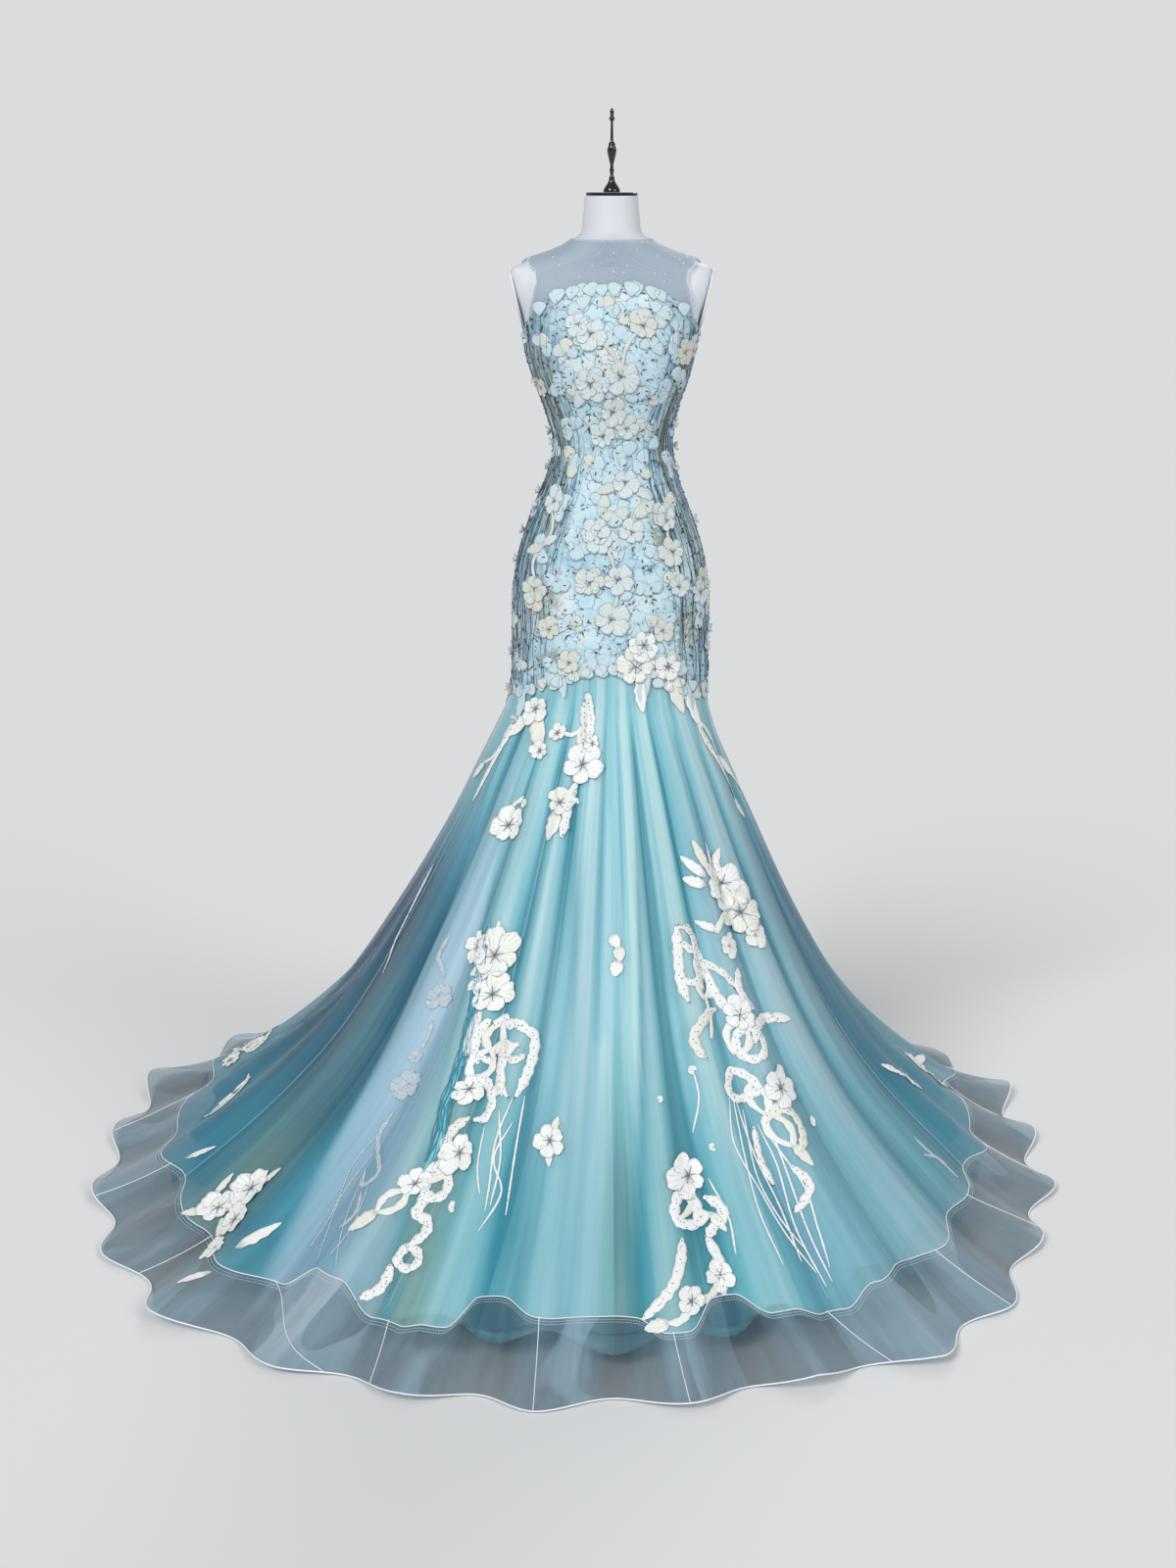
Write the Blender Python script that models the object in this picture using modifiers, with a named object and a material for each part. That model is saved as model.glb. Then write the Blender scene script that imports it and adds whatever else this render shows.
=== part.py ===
"""A mermaid evening dress on a limbless dress form, in metres.

+Z is up, the origin is on the floor at the stand's axis, and the front faces -Y.
The cloth is a set of thin walls lofted through sections worked out from two short tables.
"""

import math

import bmesh
import bpy
import numpy as np
from mathutils import Matrix
from mathutils.geometry import delaunay_2d_cdt

# Driving sizes
NET = 0.0010  # thickness of the yoke's net
LACE = 0.0020  # thickness of the bodice lace on its lining
ORGANZA = 0.0018  # thickness of a skirt wall
SEAM = 0.0003  # gap between pieces at a seam
LAID = 0.0009  # gap between a panel and what lies on it
FORM_CLEARANCE = 0.0016  # gap between the bodice's inside and the form
LACE_EDGE_INSET = 0.0030  # how much further in the form lies at the bodice's lower edge
TORSO_STEP = 2  # the torso takes every second column of the bodice
SHOULDER_INSET = 0.0054  # how far the form lies inside the cloth's outside above the bodice
NECKLINE = 1.553  # height of the neckline round the neck's foot
NECK_TOP = 1.617  # height of the form's flat neck
TORSO_FOOT = 0.800  # height of the torso's flat underside
LACE_EDGE = 0.868  # mean height of the bodice's lower edge
LACE_EDGE_RISE = 0.027  # how far that edge is higher at the front and back than at the sides
BAND_TOP = 0.066  # mean height of the hem band's top line
BAND_TOP_WAVE = 0.008  # how far that line rises on each fold
HEM_ZONE = 0.110  # height below which the hem ruffles
FOLD_GROWTH = 0.95  # how a fold deepens on its way down
UNDERSKIRT_TOP_GAP = 0.0004  # gap between the two skirts at their shared seam
UNDERSKIRT_HEM_GAP = 0.0180  # gap between the two skirts at the underskirt's hem
UNDERSKIRT_PARTING = 0.7  # under 1 the two skirts part early on their way down
BAND_GAP = 0.0004  # gap between the skirt and the hem band, measured down

# Outside of the cloth from the axis, hem first. Above the neckline the form is bare, one clearance inside.
SECTION_COLUMNS = ("height", "left", "right", "front", "back")
SECTIONS = (
    (0.000, 0.862, 0.740, 0.790, 0.868),
    (0.025, 0.808, 0.690, 0.741, 0.818),
    (0.055, 0.755, 0.641, 0.690, 0.764),
    (0.100, 0.688, 0.588, 0.634, 0.698),
    (0.157, 0.614, 0.524, 0.562, 0.626),
    (0.229, 0.533, 0.454, 0.487, 0.546),
    (0.301, 0.465, 0.400, 0.424, 0.479),
    (0.371, 0.414, 0.357, 0.373, 0.426),
    (0.440, 0.370, 0.320, 0.330, 0.379),
    (0.510, 0.327, 0.286, 0.290, 0.334),
    (0.578, 0.288, 0.256, 0.255, 0.295),
    (0.645, 0.252, 0.227, 0.221, 0.258),
    (0.710, 0.221, 0.199, 0.189, 0.224),
    (0.778, 0.188, 0.171, 0.153, 0.183),
    (0.830, 0.165, 0.158, 0.126, 0.149),
    (0.880, 0.160, 0.158, 0.115, 0.131),
    (0.940, 0.1590, 0.1580, 0.109, 0.126),
    (1.005, 0.1570, 0.1570, 0.103, 0.121),
    (1.070, 0.1460, 0.1470, 0.096, 0.110),
    (1.134, 0.1250, 0.1255, 0.0875, 0.092),
    (1.190, 0.1020, 0.1060, 0.0800, 0.078),
    (1.240, 0.0915, 0.0975, 0.0780, 0.074),
    (1.290, 0.1035, 0.1045, 0.0860, 0.080),
    (1.340, 0.1220, 0.1210, 0.0975, 0.088),
    (1.380, 0.1340, 0.1320, 0.1000, 0.092),
    (1.410, 0.1390, 0.1380, 0.0960, 0.093),
    (1.440, 0.1480, 0.1470, 0.0870, 0.092),
    (1.470, 0.1620, 0.1620, 0.0740, 0.088),
    (1.495, 0.1700, 0.1700, 0.0610, 0.080),
    (1.512, 0.1640, 0.1640, 0.0545, 0.073),
    (1.524, 0.1330, 0.1330, 0.0530, 0.067),
    (1.535, 0.0980, 0.0980, 0.0525, 0.062),
    (1.546, 0.0730, 0.0730, 0.0522, 0.0585),
    (1.560, 0.0560, 0.0550, 0.0520, 0.0560),
    (1.585, 0.0500, 0.0490, 0.0500, 0.0520),
    (1.617, 0.0470, 0.0460, 0.0480, 0.0480),
)

# The skirt's folds, one row a ridge, counter-clockwise from +X; the front is 270 degrees
FOLD_COLUMNS = ("angle", "depth", "ruffle", "reach", "lift", "start")
FOLDS = (
    (8, 0.020, 0.016, 0.004, 0.014, 0.80),
    (22, 0.024, 0.020, 0.030, 0.022, 0.84),
    (37, 0.018, 0.014, 0.016, 0.006, 0.76),
    (52, 0.026, 0.018, 0.022, 0.016, 0.84),
    (67, 0.020, 0.014, 0.006, 0.000, 0.80),
    (82, 0.024, 0.018, 0.000, 0.018, 0.83),
    (98, 0.022, 0.016, 0.000, 0.008, 0.78),
    (113, 0.028, 0.020, 0.000, 0.020, 0.84),
    (128, 0.020, 0.014, 0.006, 0.000, 0.80),
    (143, 0.026, 0.018, 0.026, 0.016, 0.84),
    (158, 0.022, 0.018, 0.046, 0.024, 0.80),
    (172, 0.024, 0.014, 0.010, 0.010, 0.84),
    (188, 0.018, 0.014, 0.000, 0.012, 0.74),
    (203, 0.024, 0.018, 0.004, 0.004, 0.84),
    (219, 0.030, 0.020, 0.026, 0.018, 0.82),
    (235, 0.022, 0.016, 0.018, 0.008, 0.84),
    (249, 0.022, 0.016, 0.016, 0.014, 0.86),
    (262, 0.024, 0.014, 0.000, 0.000, 0.86),
    (278, 0.020, 0.018, -0.004, 0.010, 0.84),
    (291, 0.022, 0.018, -0.006, 0.022, 0.86),
    (305, 0.026, 0.020, 0.034, 0.016, 0.84),
    (320, 0.024, 0.014, 0.012, 0.004, 0.80),
    (336, 0.020, 0.016, -0.012, 0.012, 0.84),
    (352, 0.024, 0.018, -0.004, 0.008, 0.78),
)
COLUMNS_PER_FOLD = 2  # one on the ridge and one in the trough

# The bodice's top edge: degrees round from the front, height
TOP_EDGE = (
    (0, 1.487),
    (32, 1.487),
    (50, 1.478),
    (62, 1.458),
    (71, 1.436),
    (80, 1.417),
    (90, 1.407),
    (105, 1.404),
    (125, 1.415),
    (150, 1.432),
    (180, 1.440),
)
# The yoke's edges from the bodice up the armhole to the shoulder seam: degrees from its middle, height
FRONT_ARMHOLE = (
    (71, 1.438),
    (68, 1.462),
    (68, 1.488),
    (71, 1.507),
    (77, 1.517),
    (83, 1.524),
    (90, 1.527),
)
BACK_ARMHOLE = (
    (73, 1.411),
    (70, 1.450),
    (69, 1.485),
    (70, 1.498),
    (72, 1.509),
    (78, 1.517),
    (84, 1.524),
    (90, 1.527),
)
YOKE_CORNER = 0.64  # share of the way round the neckline that belongs to the lower edge's corner
YOKE_SLOPE = 1.3  # over 1 the yoke's rows lie closer at the neckline
YOKE_ROWS = 6
YOKE_OUT = 0.0008  # how far the net stands outside the bodice's surface
BODICE_ROWS = 12
# Shares of the way down the overskirt, closer where the skirt turns outwards
SKIRT_ROWS = (0.0, 0.055, 0.12, 0.21, 0.33, 0.48, 0.64, 0.82, 1.0)
UNDERSKIRT_ROWS = (0.0, 0.055, 0.12, 0.21, 0.33, 0.48, 0.64, 0.82, 1.0)
BAND_ROWS = (0.0, 0.5, 1.0)

# Gores by name: the folds that each one takes, counted from the first row of FOLDS
GORES = (
    ("back_right", 2, 4),
    ("back_left", 6, 4),
    ("side_left", 10, 3),
    ("side_front_left", 13, 3),
    ("front", 16, 4),
    ("side_front_right", 20, 3),
    ("side_right", 23, 3),
)
# Underskirt panels by name: the first fold and how many
UNDERSKIRT_PANELS = (("back", 3, 6), ("left", 9, 6), ("front", 15, 6), ("right", 21, 6))

# The dress form
ARM_PLATE_FOOT = 1.412
ARM_PLATE_HEIGHT = 0.098
ARM_PLATE_DEPTH = 0.066
ARM_PLATE_THICKNESS = 0.004
ARM_PLANE_X = 0.135  # where the arm plane stands at ARM_PLANE_Z
ARM_PLANE_Z = 1.400
ARM_PLANE_LEAN = 0.235  # how far the arm plane goes out for each metre up
ARM_PLATE_FROM = 1.405  # height from which the torso ends flat at the arm plane
ARM_PLATE_BACK = 0.002  # how far the plates lie behind the axis
NECK_FOOT = 1.560  # height where the shoulders turn into the neck
NECK_MIDDLE = 1.585
# Shares of the way from the bodice's top edge up to the neck's foot
SHOULDER_ROWS = (0.22, 0.40, 0.56, 0.68, 0.78, 0.87, 0.94, 1.0)
# Rows of the torso under the bodice: share of the way to its underside, how far they draw in
TORSO_FOOT_ROWS = ((0.5, 0.012), (1.0, 0.026))
TORSO_FOOT_SHAPE = 0.84  # height whose section the torso keeps below itself
CAP_THICKNESS = 0.005
CAP_RADIUS = 0.040
POLE_RADIUS = 0.0125
BASE_RADIUS = 0.150
BASE_HEIGHT = 0.026
FINIAL_TOP = 1.747
# The finial from the cap up: radius, height above the cap
FINIAL = (
    (0.0000, 0.0000),
    (0.0125, 0.0000),
    (0.0130, 0.0020),
    (0.0115, 0.0065),
    (0.0070, 0.0125),
    (0.0040, 0.0200),
    (0.0025, 0.0270),
    (0.0035, 0.0330),
    (0.0024, 0.0400),
    (0.0045, 0.0500),
    (0.0070, 0.0620),
    (0.0050, 0.0690),
    (0.0055, 0.0710),
    (0.0026, 0.0750),
    (0.0017, 0.1050),
    (0.0042, 0.1085),
    (0.0020, 0.1130),
    (0.0031, 0.1185),
)
# The base from its underside up: radius, height
BASE = (
    (0.0000, 0.0000),
    (BASE_RADIUS, 0.0000),
    (BASE_RADIUS, 0.0060),
    (BASE_RADIUS - 0.0080, 0.0110),
    (0.0400, 0.0150),
    (0.0240, BASE_HEIGHT),
    (0.0000, BASE_HEIGHT),
)

MM = 0.001  # the motif tables below are in millimetres
PETALS = 5
# Points of a petal's outline: share of its turn, share of the flower's size
SMALL_PETAL = ((0.0, 0.66), (0.5, 1.0))
LARGE_PETAL = ((0.0, 0.62), (0.28, 0.97), (0.72, 0.97))
LARGE_FLOWER = 27  # from this size a flower has large petals
VINE_STEPS = 2
FLATTEN = 5.0  # degrees under which an applique's faces are joined
APPLIQUE = 0.0014  # thickness of an applique between its raised parts
PLACKET = 0.0012  # thickness of the button strip
PLACKET_WIDTH = 0.018
BUTTON_RADIUS = 0.0055
BUTTON_HEIGHT = 0.0045
BUTTON_COUNT = 12
BUTTON_TOP = 1.425
BUTTON_PITCH = 0.0250

# Lace sprays: panel, degrees round, height, then the motifs round that place, in millimetres.
# A flower has x, y, size, turn and rise; a leaf x, y, length, turn and
# width as a share of its length; a vine x, y, its end's x and y, its bow as a share, and its width.
SPRAYS = {
    "bodice_spray_bust": ("bodice", 268, 1.354, (
        ("flower", -30, 61, 21, 15, 4), ("flower", 53, 72, 20, 40, 3), ("flower", 17, -3, 25, 0, 5),
        ("flower", -30, -14, 24, 30, 5), ("flower", 4, -58, 21, 10, 5), ("flower", -13, -96, 20, 50, 4),
        ("vine", -26, 54, 14, 4, 0.15, 6), ("vine", 50, 68, 20, 4, -0.15, 6),
        ("leaf", -36, -20, 40, 235, 0.5), ("vine", -22, -13, 10, -4, 0.1, 6),
        ("vine", 15, -10, 6, -50, 0.1, 6), ("vine", 1, -64, -10, -88, 0.1, 6),
    )),
    "bodice_spray_waist": ("bodice", 285, 1.187, (
        ("flower", 0, 0, 20, 20, 6), ("leaf", -12, -4, 36, 200, 0.45), ("leaf", 12, -6, 34, -40, 0.45),
        ("vine", 2, 14, -14, 44, 0.2, 5),
    )),
    "bodice_spray_side_left": ("bodice", 210, 1.084, (
        ("flower", 4, 72, 20, 0, 7), ("flower", -4, -68, 20, 30, 7), ("vine", 2, 58, 0, 0, 0.2, 6),
        ("vine", 0, 2, -4, -54, -0.2, 6), ("leaf", 0, 0, 34, 200, 0.5), ("leaf", 0, 4, 30, 30, 0.5),
    )),
    "bodice_spray_side_right": ("bodice", 325, 1.075, (
        ("flower", -6, 52, 18, 0, 6), ("flower", -4, 2, 21, 25, 7), ("flower", 0, -54, 16, 40, 5),
        ("flower", 40, -68, 19, 10, 8), ("vine", -4, -16, 0, -44, 0.1, 6),
        ("vine", 8, -54, 28, -64, 0.1, 6), ("vine", -5, 16, -6, 40, 0.1, 6),
    )),
    "bodice_spray_hip": ("bodice", 272, 1.035, (
        ("flower", 6, 2, 21, 10, 5), ("flower", -36, -2, 20, 35, 4), ("flower", -4, -60, 25, 0, 6),
        ("flower", -22, 66, 22, 20, 4), ("vine", -20, 60, 2, 8, 0.1, 6), ("vine", 4, -6, -4, -52, 0.1, 6),
        ("vine", -30, -2, 0, 1, 0.1, 8),
    )),
    "bodice_spray_back_top": ("bodice", 124, 1.30, (
        ("flower", 10, 60, 22, 0, 5), ("flower", 0, 0, 24, 20, 6), ("flower", 14, -62, 20, 50, 4),
        ("vine", 9, 54, 1, 8, 0.1, 6), ("vine", 2, -8, 13, -56, 0.1, 6), ("leaf", -8, 5, 38, 140, 0.5),
    )),
    "bodice_spray_back_hip": ("bodice", 62, 1.03, (
        ("flower", -10, 62, 20, 0, 5), ("flower", 0, 0, 25, 20, 6), ("flower", -6, -62, 21, 50, 5),
        ("flower", 44, 12, 18, 10, 5), ("vine", -9, 54, -1, 8, 0.1, 6), ("vine", -1, -8, -5, -54, 0.1, 6),
        ("vine", 12, 2, 40, 11, 0.1, 6),
    )),
    "lace_edge_right": ("dress", 300, 0.905, (
        ("flower", -8, 30, 22, 0, 5), ("flower", -22, -4, 26, 20, 6), ("flower", 30, -8, 19, 35, 5),
        ("leaf", -18, -20, 58, -88, 0.34), ("leaf", 32, -12, 76, -78, 0.34),
        ("vine", -12, 0, 24, -6, 0.1, 8),
    )),
    "lace_edge_side_right": ("dress", 334, 0.815, (
        ("leaf", -16, 50, 80, -80, 0.30), ("vine", -6, -10, 22, -74, 0.12, 7),
        ("leaf", 20, -70, 60, -66, 0.22), ("vine", 42, -120, 62, -170, 0.05, 4),
    )),
    "lace_edge_left": ("dress", 218, 0.812, (
        ("flower", -4, 18, 22, 0, 6), ("leaf", 0, 10, 66, -62, 0.4), ("leaf", -12, 8, 62, 236, 0.42),
        ("vine", -40, -38, -64, -92, 0.12, 6), ("leaf", -62, -88, 44, 245, 0.34),
        ("flower", 30, -50, 13, 30, 5),
    )),
    "lace_centre_left": ("skirt", 254.4, 0.754, (
        ("flower", 0, 0, 29, 20, 5), ("flower", -25, -62, 18, 0, 4), ("leaf", -27, -72, 56, -98, 0.4),
        ("vine", -6, -22, -20, -50, 0.12, 7), ("vine", 6, 22, -14, 62, 0.2, 7),
        ("vine", -12, 60, -50, 50, 0.2, 6), ("flower", -58, 48, 13, 10, 4), ("flower", 14, 34, 12, 40, 3),
    )),
    "lace_left_bud": ("skirt", 224.6, 0.655, (
        ("flower", 0, 0, 23, 10, 6), ("vine", 0, 14, 3, 42, 0.15, 5), ("leaf", 2, 36, 18, 50, 0.5),
    )),
    "lace_front_petals": ("skirt", 271.5, 0.485, (
        ("leaf", -9, 36, 26, -60, 0.75), ("leaf", 3, 18, 26, -85, 0.75), ("leaf", 3, -4, 28, -105, 0.75),
    )),
    "lace_left_flowers": ("skirt", 236.5, 0.462, (
        ("flower", -46, 22, 21, 0, 5), ("flower", -2, 16, 29, 20, 5), ("flower", 12, -46, 24, 45, 5),
        ("vine", -2, 26, -12, 72, 0.1, 6), ("vine", -42, 21, -12, 18, 0.1, 8),
        ("leaf", -5, 0, 40, 215, 0.4), ("vine", 0, 4, 10, -36, 0.1, 8),
    )),
    "lace_left_loops": ("skirt", 242.5, 0.345, (
        ("vine", 0, 50, -6, 4, 0.34, 8), ("vine", 0, 50, -6, 4, -0.34, 8),
        ("vine", -6, 6, -16, -44, 0.34, 8), ("vine", -6, 6, -16, -44, -0.34, 8),
        ("vine", 2, 48, 44, 26, -0.3, 8), ("vine", 42, 28, 34, -36, -0.22, 8),
        ("leaf", 36, -30, 40, -115, 0.4), ("flower", -18, -58, 17, 10, 4),
    )),
    "lace_left_trail": ("skirt", 241.0, 0.205, (
        ("flower", 16, 26, 24, 0, 5), ("vine", 8, 8, -24, -22, 0.3, 8),
        ("vine", 10, 6, -24, -22, -0.3, 8), ("flower", -30, -30, 17, 20, 4),
        ("vine", -36, -42, -62, -80, 0.3, 8), ("vine", -36, -42, -62, -80, -0.3, 8),
        ("leaf", -60, -76, 52, 238, 0.4),
    )),
    "lace_front_flower": ("skirt", 258.6, 0.250, (
        ("flower", 0, 0, 20, 10, 5), ("leaf", 2, 12, 30, 75, 0.45), ("leaf", 0, -12, 28, -80, 0.45),
    )),
    "lace_right_flowers": ("skirt", 312.0, 0.545, (
        ("flower", 6, 24, 26, 0, 5), ("flower", 20, -26, 27, 30, 6), ("leaf", -6, 34, 40, 125, 0.5),
        ("leaf", 2, 40, 34, 80, 0.45), ("vine", 12, -30, -40, -44, -0.25, 8),
        ("leaf", -36, -40, 34, 150, 0.4), ("vine", 9, 12, 18, -16, 0.1, 8),
    )),
    "lace_right_loops": ("skirt", 301.0, 0.395, (
        ("vine", -34, 74, -46, 28, 0.34, 8), ("vine", -34, 74, -46, 28, -0.34, 8),
        ("vine", -46, 30, 6, 2, 0.2, 8), ("flower", 14, -4, 21, 0, 5),
        ("vine", 11, -12, -12, -66, 0.3, 8), ("vine", 11, -12, -12, -66, -0.3, 8),
        ("vine", -44, 32, -54, -34, 0.1, 6),
    )),
    "lace_right_trail": ("skirt", 303.0, 0.265, (
        ("flower", 26, 34, 26, 10, 6), ("vine", 21, 27, -14, -4, 0.2, 8),
        ("vine", -16, 52, -16, -4, -0.3, 8), ("vine", -16, 52, -16, -4, 0.2, 8),
        ("vine", -14, -2, 2, -56, 0.3, 8), ("vine", -14, -2, 2, -56, -0.3, 8),
        ("leaf", 2, -50, 44, -70, 0.4),
    )),
    "lace_hem_right_flower": ("skirt", 283.1, 0.195, (
        ("flower", 0, 14, 26, 0, 6), ("vine", -4, 4, -30, -44, 0.3, 8), ("vine", 3, 4, 22, -50, -0.3, 8),
        ("vine", -30, -42, 20, -50, -0.25, 8), ("leaf", 21, -44, 36, -60, 0.45),
    )),
    "lace_hem_right_trail": ("skirt", 281.0, 0.095, (
        ("flower", 44, 8, 19, 0, 4), ("vine", 40, 5, -12, -17, 0.25, 8), ("flower", -14, -18, 17, 20, 4),
        ("vine", -18, -21, -54, -46, 0.2, 8), ("leaf", -50, -44, 42, 200, 0.5),
    )),
    "lace_hem_left": ("skirt", 211.0, 0.095, (
        ("flower", -6, 26, 27, 0, 5), ("leaf", 8, 44, 40, 75, 0.4), ("flower", 28, -22, 22, 30, 5),
        ("flower", -28, -26, 22, 10, 5), ("vine", -14, 6, -26, -12, 0.1, 8),
        ("vine", 4, 6, 22, -8, -0.1, 8), ("leaf", -36, -36, 44, 215, 0.4),
    )),
    "lace_back_centre": ("skirt", 97.0, 0.700, (
        ("flower", 0, 0, 28, 20, 5), ("flower", 22, -56, 18, 0, 4), ("leaf", 24, -66, 52, -80, 0.4),
        ("vine", 8, -20, 18, -46, -0.12, 7), ("leaf", -4, 20, 44, 110, 0.42),
    )),
    "lace_back_left": ("skirt", 134.0, 0.430, (
        ("flower", -22, 40, 26, 0, 5), ("flower", 16, 0, 24, 30, 6), ("vine", -16, 34, 10, 6, 0.1, 8),
        ("vine", 15, -10, -2, -64, 0.3, 8), ("vine", 15, -10, -2, -64, -0.3, 8),
        ("leaf", -2, -60, 50, -105, 0.4), ("leaf", 24, 4, 40, 20, 0.45),
    )),
    "lace_back_right": ("skirt", 52.0, 0.380, (
        ("flower", 20, 44, 25, 0, 5), ("flower", -16, 4, 25, 30, 6), ("vine", 8, 30, -4, 18, 0.1, 8),
        ("vine", -14, -14, 2, -62, 0.3, 8), ("vine", -14, -14, 2, -62, -0.3, 8),
        ("leaf", 2, -58, 48, -75, 0.4), ("leaf", -32, 10, 36, 160, 0.45),
    )),
    "lace_hem_back_left": ("skirt", 158.0, 0.100, (
        ("flower", 0, 10, 26, 0, 5), ("flower", 42, -14, 18, 20, 4), ("vine", 10, 5, 38, -12, 0.1, 8),
        ("leaf", -14, 5, 54, 200, 0.4), ("leaf", 2, 20, 42, 70, 0.4),
    )),
    "lace_hem_side_right": ("skirt", 14.0, 0.120, (
        ("flower", 0, 8, 25, 0, 5), ("flower", -42, -14, 18, 20, 4), ("vine", -10, 3, -38, -12, 0.1, 8),
        ("leaf", 14, 4, 52, -20, 0.4), ("leaf", -1, 20, 40, 110, 0.4),
    )),
}

COLOURS = {
    "net": ((0.56, 0.63, 0.72), 0.6, 0.0),
    "lace": ((0.60, 0.76, 0.84), 0.6, 0.0),
    "organza": ((0.48, 0.70, 0.80), 0.4, 0.0),
    "band": ((0.62, 0.70, 0.78), 0.4, 0.0),
    "underskirt": ((0.20, 0.52, 0.62), 0.5, 0.0),
    "applique": ((0.86, 0.87, 0.85), 0.7, 0.0),
    "form": ((0.72, 0.72, 0.78), 0.6, 0.0),
    "black": ((0.01, 0.01, 0.012), 0.15, 0.0),
    "steel": ((0.5, 0.5, 0.52), 0.3, 1.0),
}


def clear_scene():
    for thing in list(bpy.data.objects):
        bpy.data.objects.remove(thing)


def material(name, finish):
    """Each object's own material, from the table of finishes."""
    colour, roughness, metallic = COLOURS[finish]
    made = bpy.data.materials.new(name)
    made.use_nodes = True
    shader = made.node_tree.nodes["Principled BSDF"]
    shader.inputs["Base Color"].default_value = (*colour, 1.0)
    shader.inputs["Roughness"].default_value = roughness
    shader.inputs["Metallic"].default_value = metallic
    return made


def add_object(name, points, faces, finish, collection, flatten=0.0):
    """A closed mesh from points and faces, its faces turned outwards and its near-flat edges dissolved."""
    mesh = bpy.data.meshes.new(name)
    mesh.from_pydata([tuple(map(float, p)) for p in points], [], [tuple(map(int, f)) for f in faces])
    shape = bmesh.new()
    shape.from_mesh(mesh)
    bmesh.ops.recalc_face_normals(shape, faces=shape.faces)
    if flatten:
        bmesh.ops.dissolve_limit(
            shape, angle_limit=math.radians(flatten), use_dissolve_boundaries=False,
            verts=shape.verts, edges=shape.edges,
        )
        bmesh.ops.triangulate(shape, faces=shape.faces)
    if shape.calc_volume(signed=True) < 0:
        bmesh.ops.reverse_faces(shape, faces=shape.faces)
    shape.to_mesh(mesh)
    shape.free()
    mesh.shade_smooth()
    mesh.set_sharp_from_angle(angle=math.radians(50))
    mesh.materials.append(material(name, finish))
    made = bpy.data.objects.new(name, mesh)
    collection.objects.link(made)
    return made


# The cloth's outside


def smooth_read(rows, column, heights):
    """A column of a table read between its rows along a smooth curve."""
    knots = np.array([row[0] for row in rows])
    values = np.array([row[column] for row in rows])
    slopes = np.gradient(values, knots)
    heights = np.clip(heights, knots[0], knots[-1])
    low = np.clip(np.searchsorted(knots, heights) - 1, 0, len(knots) - 2)
    gap = knots[low + 1] - knots[low]
    t = (heights - knots[low]) / gap
    start = values[low] * (1 + 2 * t) * (1 - t) ** 2 + slopes[low] * gap * t * (1 - t) ** 2
    end = values[low + 1] * t**2 * (3 - 2 * t) - slopes[low + 1] * gap * t**2 * (1 - t)
    return start + end


def section(name, heights):
    return smooth_read(SECTIONS, SECTION_COLUMNS.index(name), heights)


def fold_share(angles):
    """The ridges on either side of an angle, and the share of the way between them."""
    ridges = np.array([row[0] for row in FOLDS], float)
    turned = np.degrees(angles) % 360.0
    after = np.searchsorted(ridges, turned) % len(FOLDS)
    before = (after - 1) % len(FOLDS)
    width = (ridges[after] - ridges[before]) % 360.0
    return before, after, ((turned - ridges[before]) % 360.0) / width


def fold_read(name, angles):
    """A column of the fold table, carried from ridge to ridge."""
    before, after, share = fold_share(angles)
    values = np.array([row[FOLD_COLUMNS.index(name)] for row in FOLDS])
    return values[before] * (1 - share) + values[after] * share


def ridge_wave(angles):
    """1 on a ridge and 0 in the trough between two."""
    share = fold_share(angles)[2]
    return 0.5 + 0.5 * np.cos(2 * np.pi * share)


def cloth_point(angles, heights):
    """Points of the cloth's outside, at these angles and heights before the hem lifts."""
    angles = np.asarray(angles, float)
    heights = np.asarray(heights, float)
    cos, sin = np.cos(angles), np.sin(angles)
    across = np.where(cos < 0, section("left", heights), section("right", heights))
    deep = np.where(sin < 0, section("front", heights), section("back", heights))
    radius = ((cos / across) ** 2 + (sin / deep) ** 2) ** -0.5
    wave = ridge_wave(angles)
    low = np.clip(1 - heights / fold_read("start", angles), 0, 1)
    hem = np.clip(1 - heights / HEM_ZONE, 0, 1) ** 2
    swing = fold_read("depth", angles) * low**FOLD_GROWTH + fold_read("ruffle", angles) * hem
    radius = radius + swing * (wave - 0.5) + fold_read("reach", angles) * low**3
    lift = fold_read("lift", angles) * wave * hem
    return np.stack([radius * cos, radius * sin, heights + lift], axis=-1)


def cloth_normal(angles, heights):
    """Outward unit normals of the same surface."""
    step = 1e-4
    heights = np.maximum(np.asarray(heights, float), step)
    along = cloth_point(angles + step, heights) - cloth_point(angles - step, heights)
    up = cloth_point(angles, heights + step) - cloth_point(angles, heights - step)
    normal = np.cross(along, up)
    return normal / np.linalg.norm(normal, axis=-1, keepdims=True)


def column_angles():
    """Angles of all columns, on each ridge and in each trough, from the first ridge round."""
    ridges = [row[0] for row in FOLDS] + [FOLDS[0][0] + 360]
    angles = []
    for here, after in zip(ridges[:-1], ridges[1:]):
        angles += [here + (after - here) * k / COLUMNS_PER_FOLD for k in range(COLUMNS_PER_FOLD)]
    return np.radians(angles)


def from_front(angles):
    """Degrees round from the front, the same on both sides."""
    return np.abs((np.degrees(angles) - 270 + 180) % 360 - 180)


def top_edge(angles):
    turned = [row[0] for row in TOP_EDGE]
    return np.interp(from_front(angles), turned, [row[1] for row in TOP_EDGE])


def lace_edge(angles):
    return LACE_EDGE - LACE_EDGE_RISE * np.cos(2 * np.asarray(angles))


def band_top(angles):
    return BAND_TOP + BAND_TOP_WAVE * (ridge_wave(angles) - 0.5) * 2


# Panels: grids of points on the cloth's outside


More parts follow.
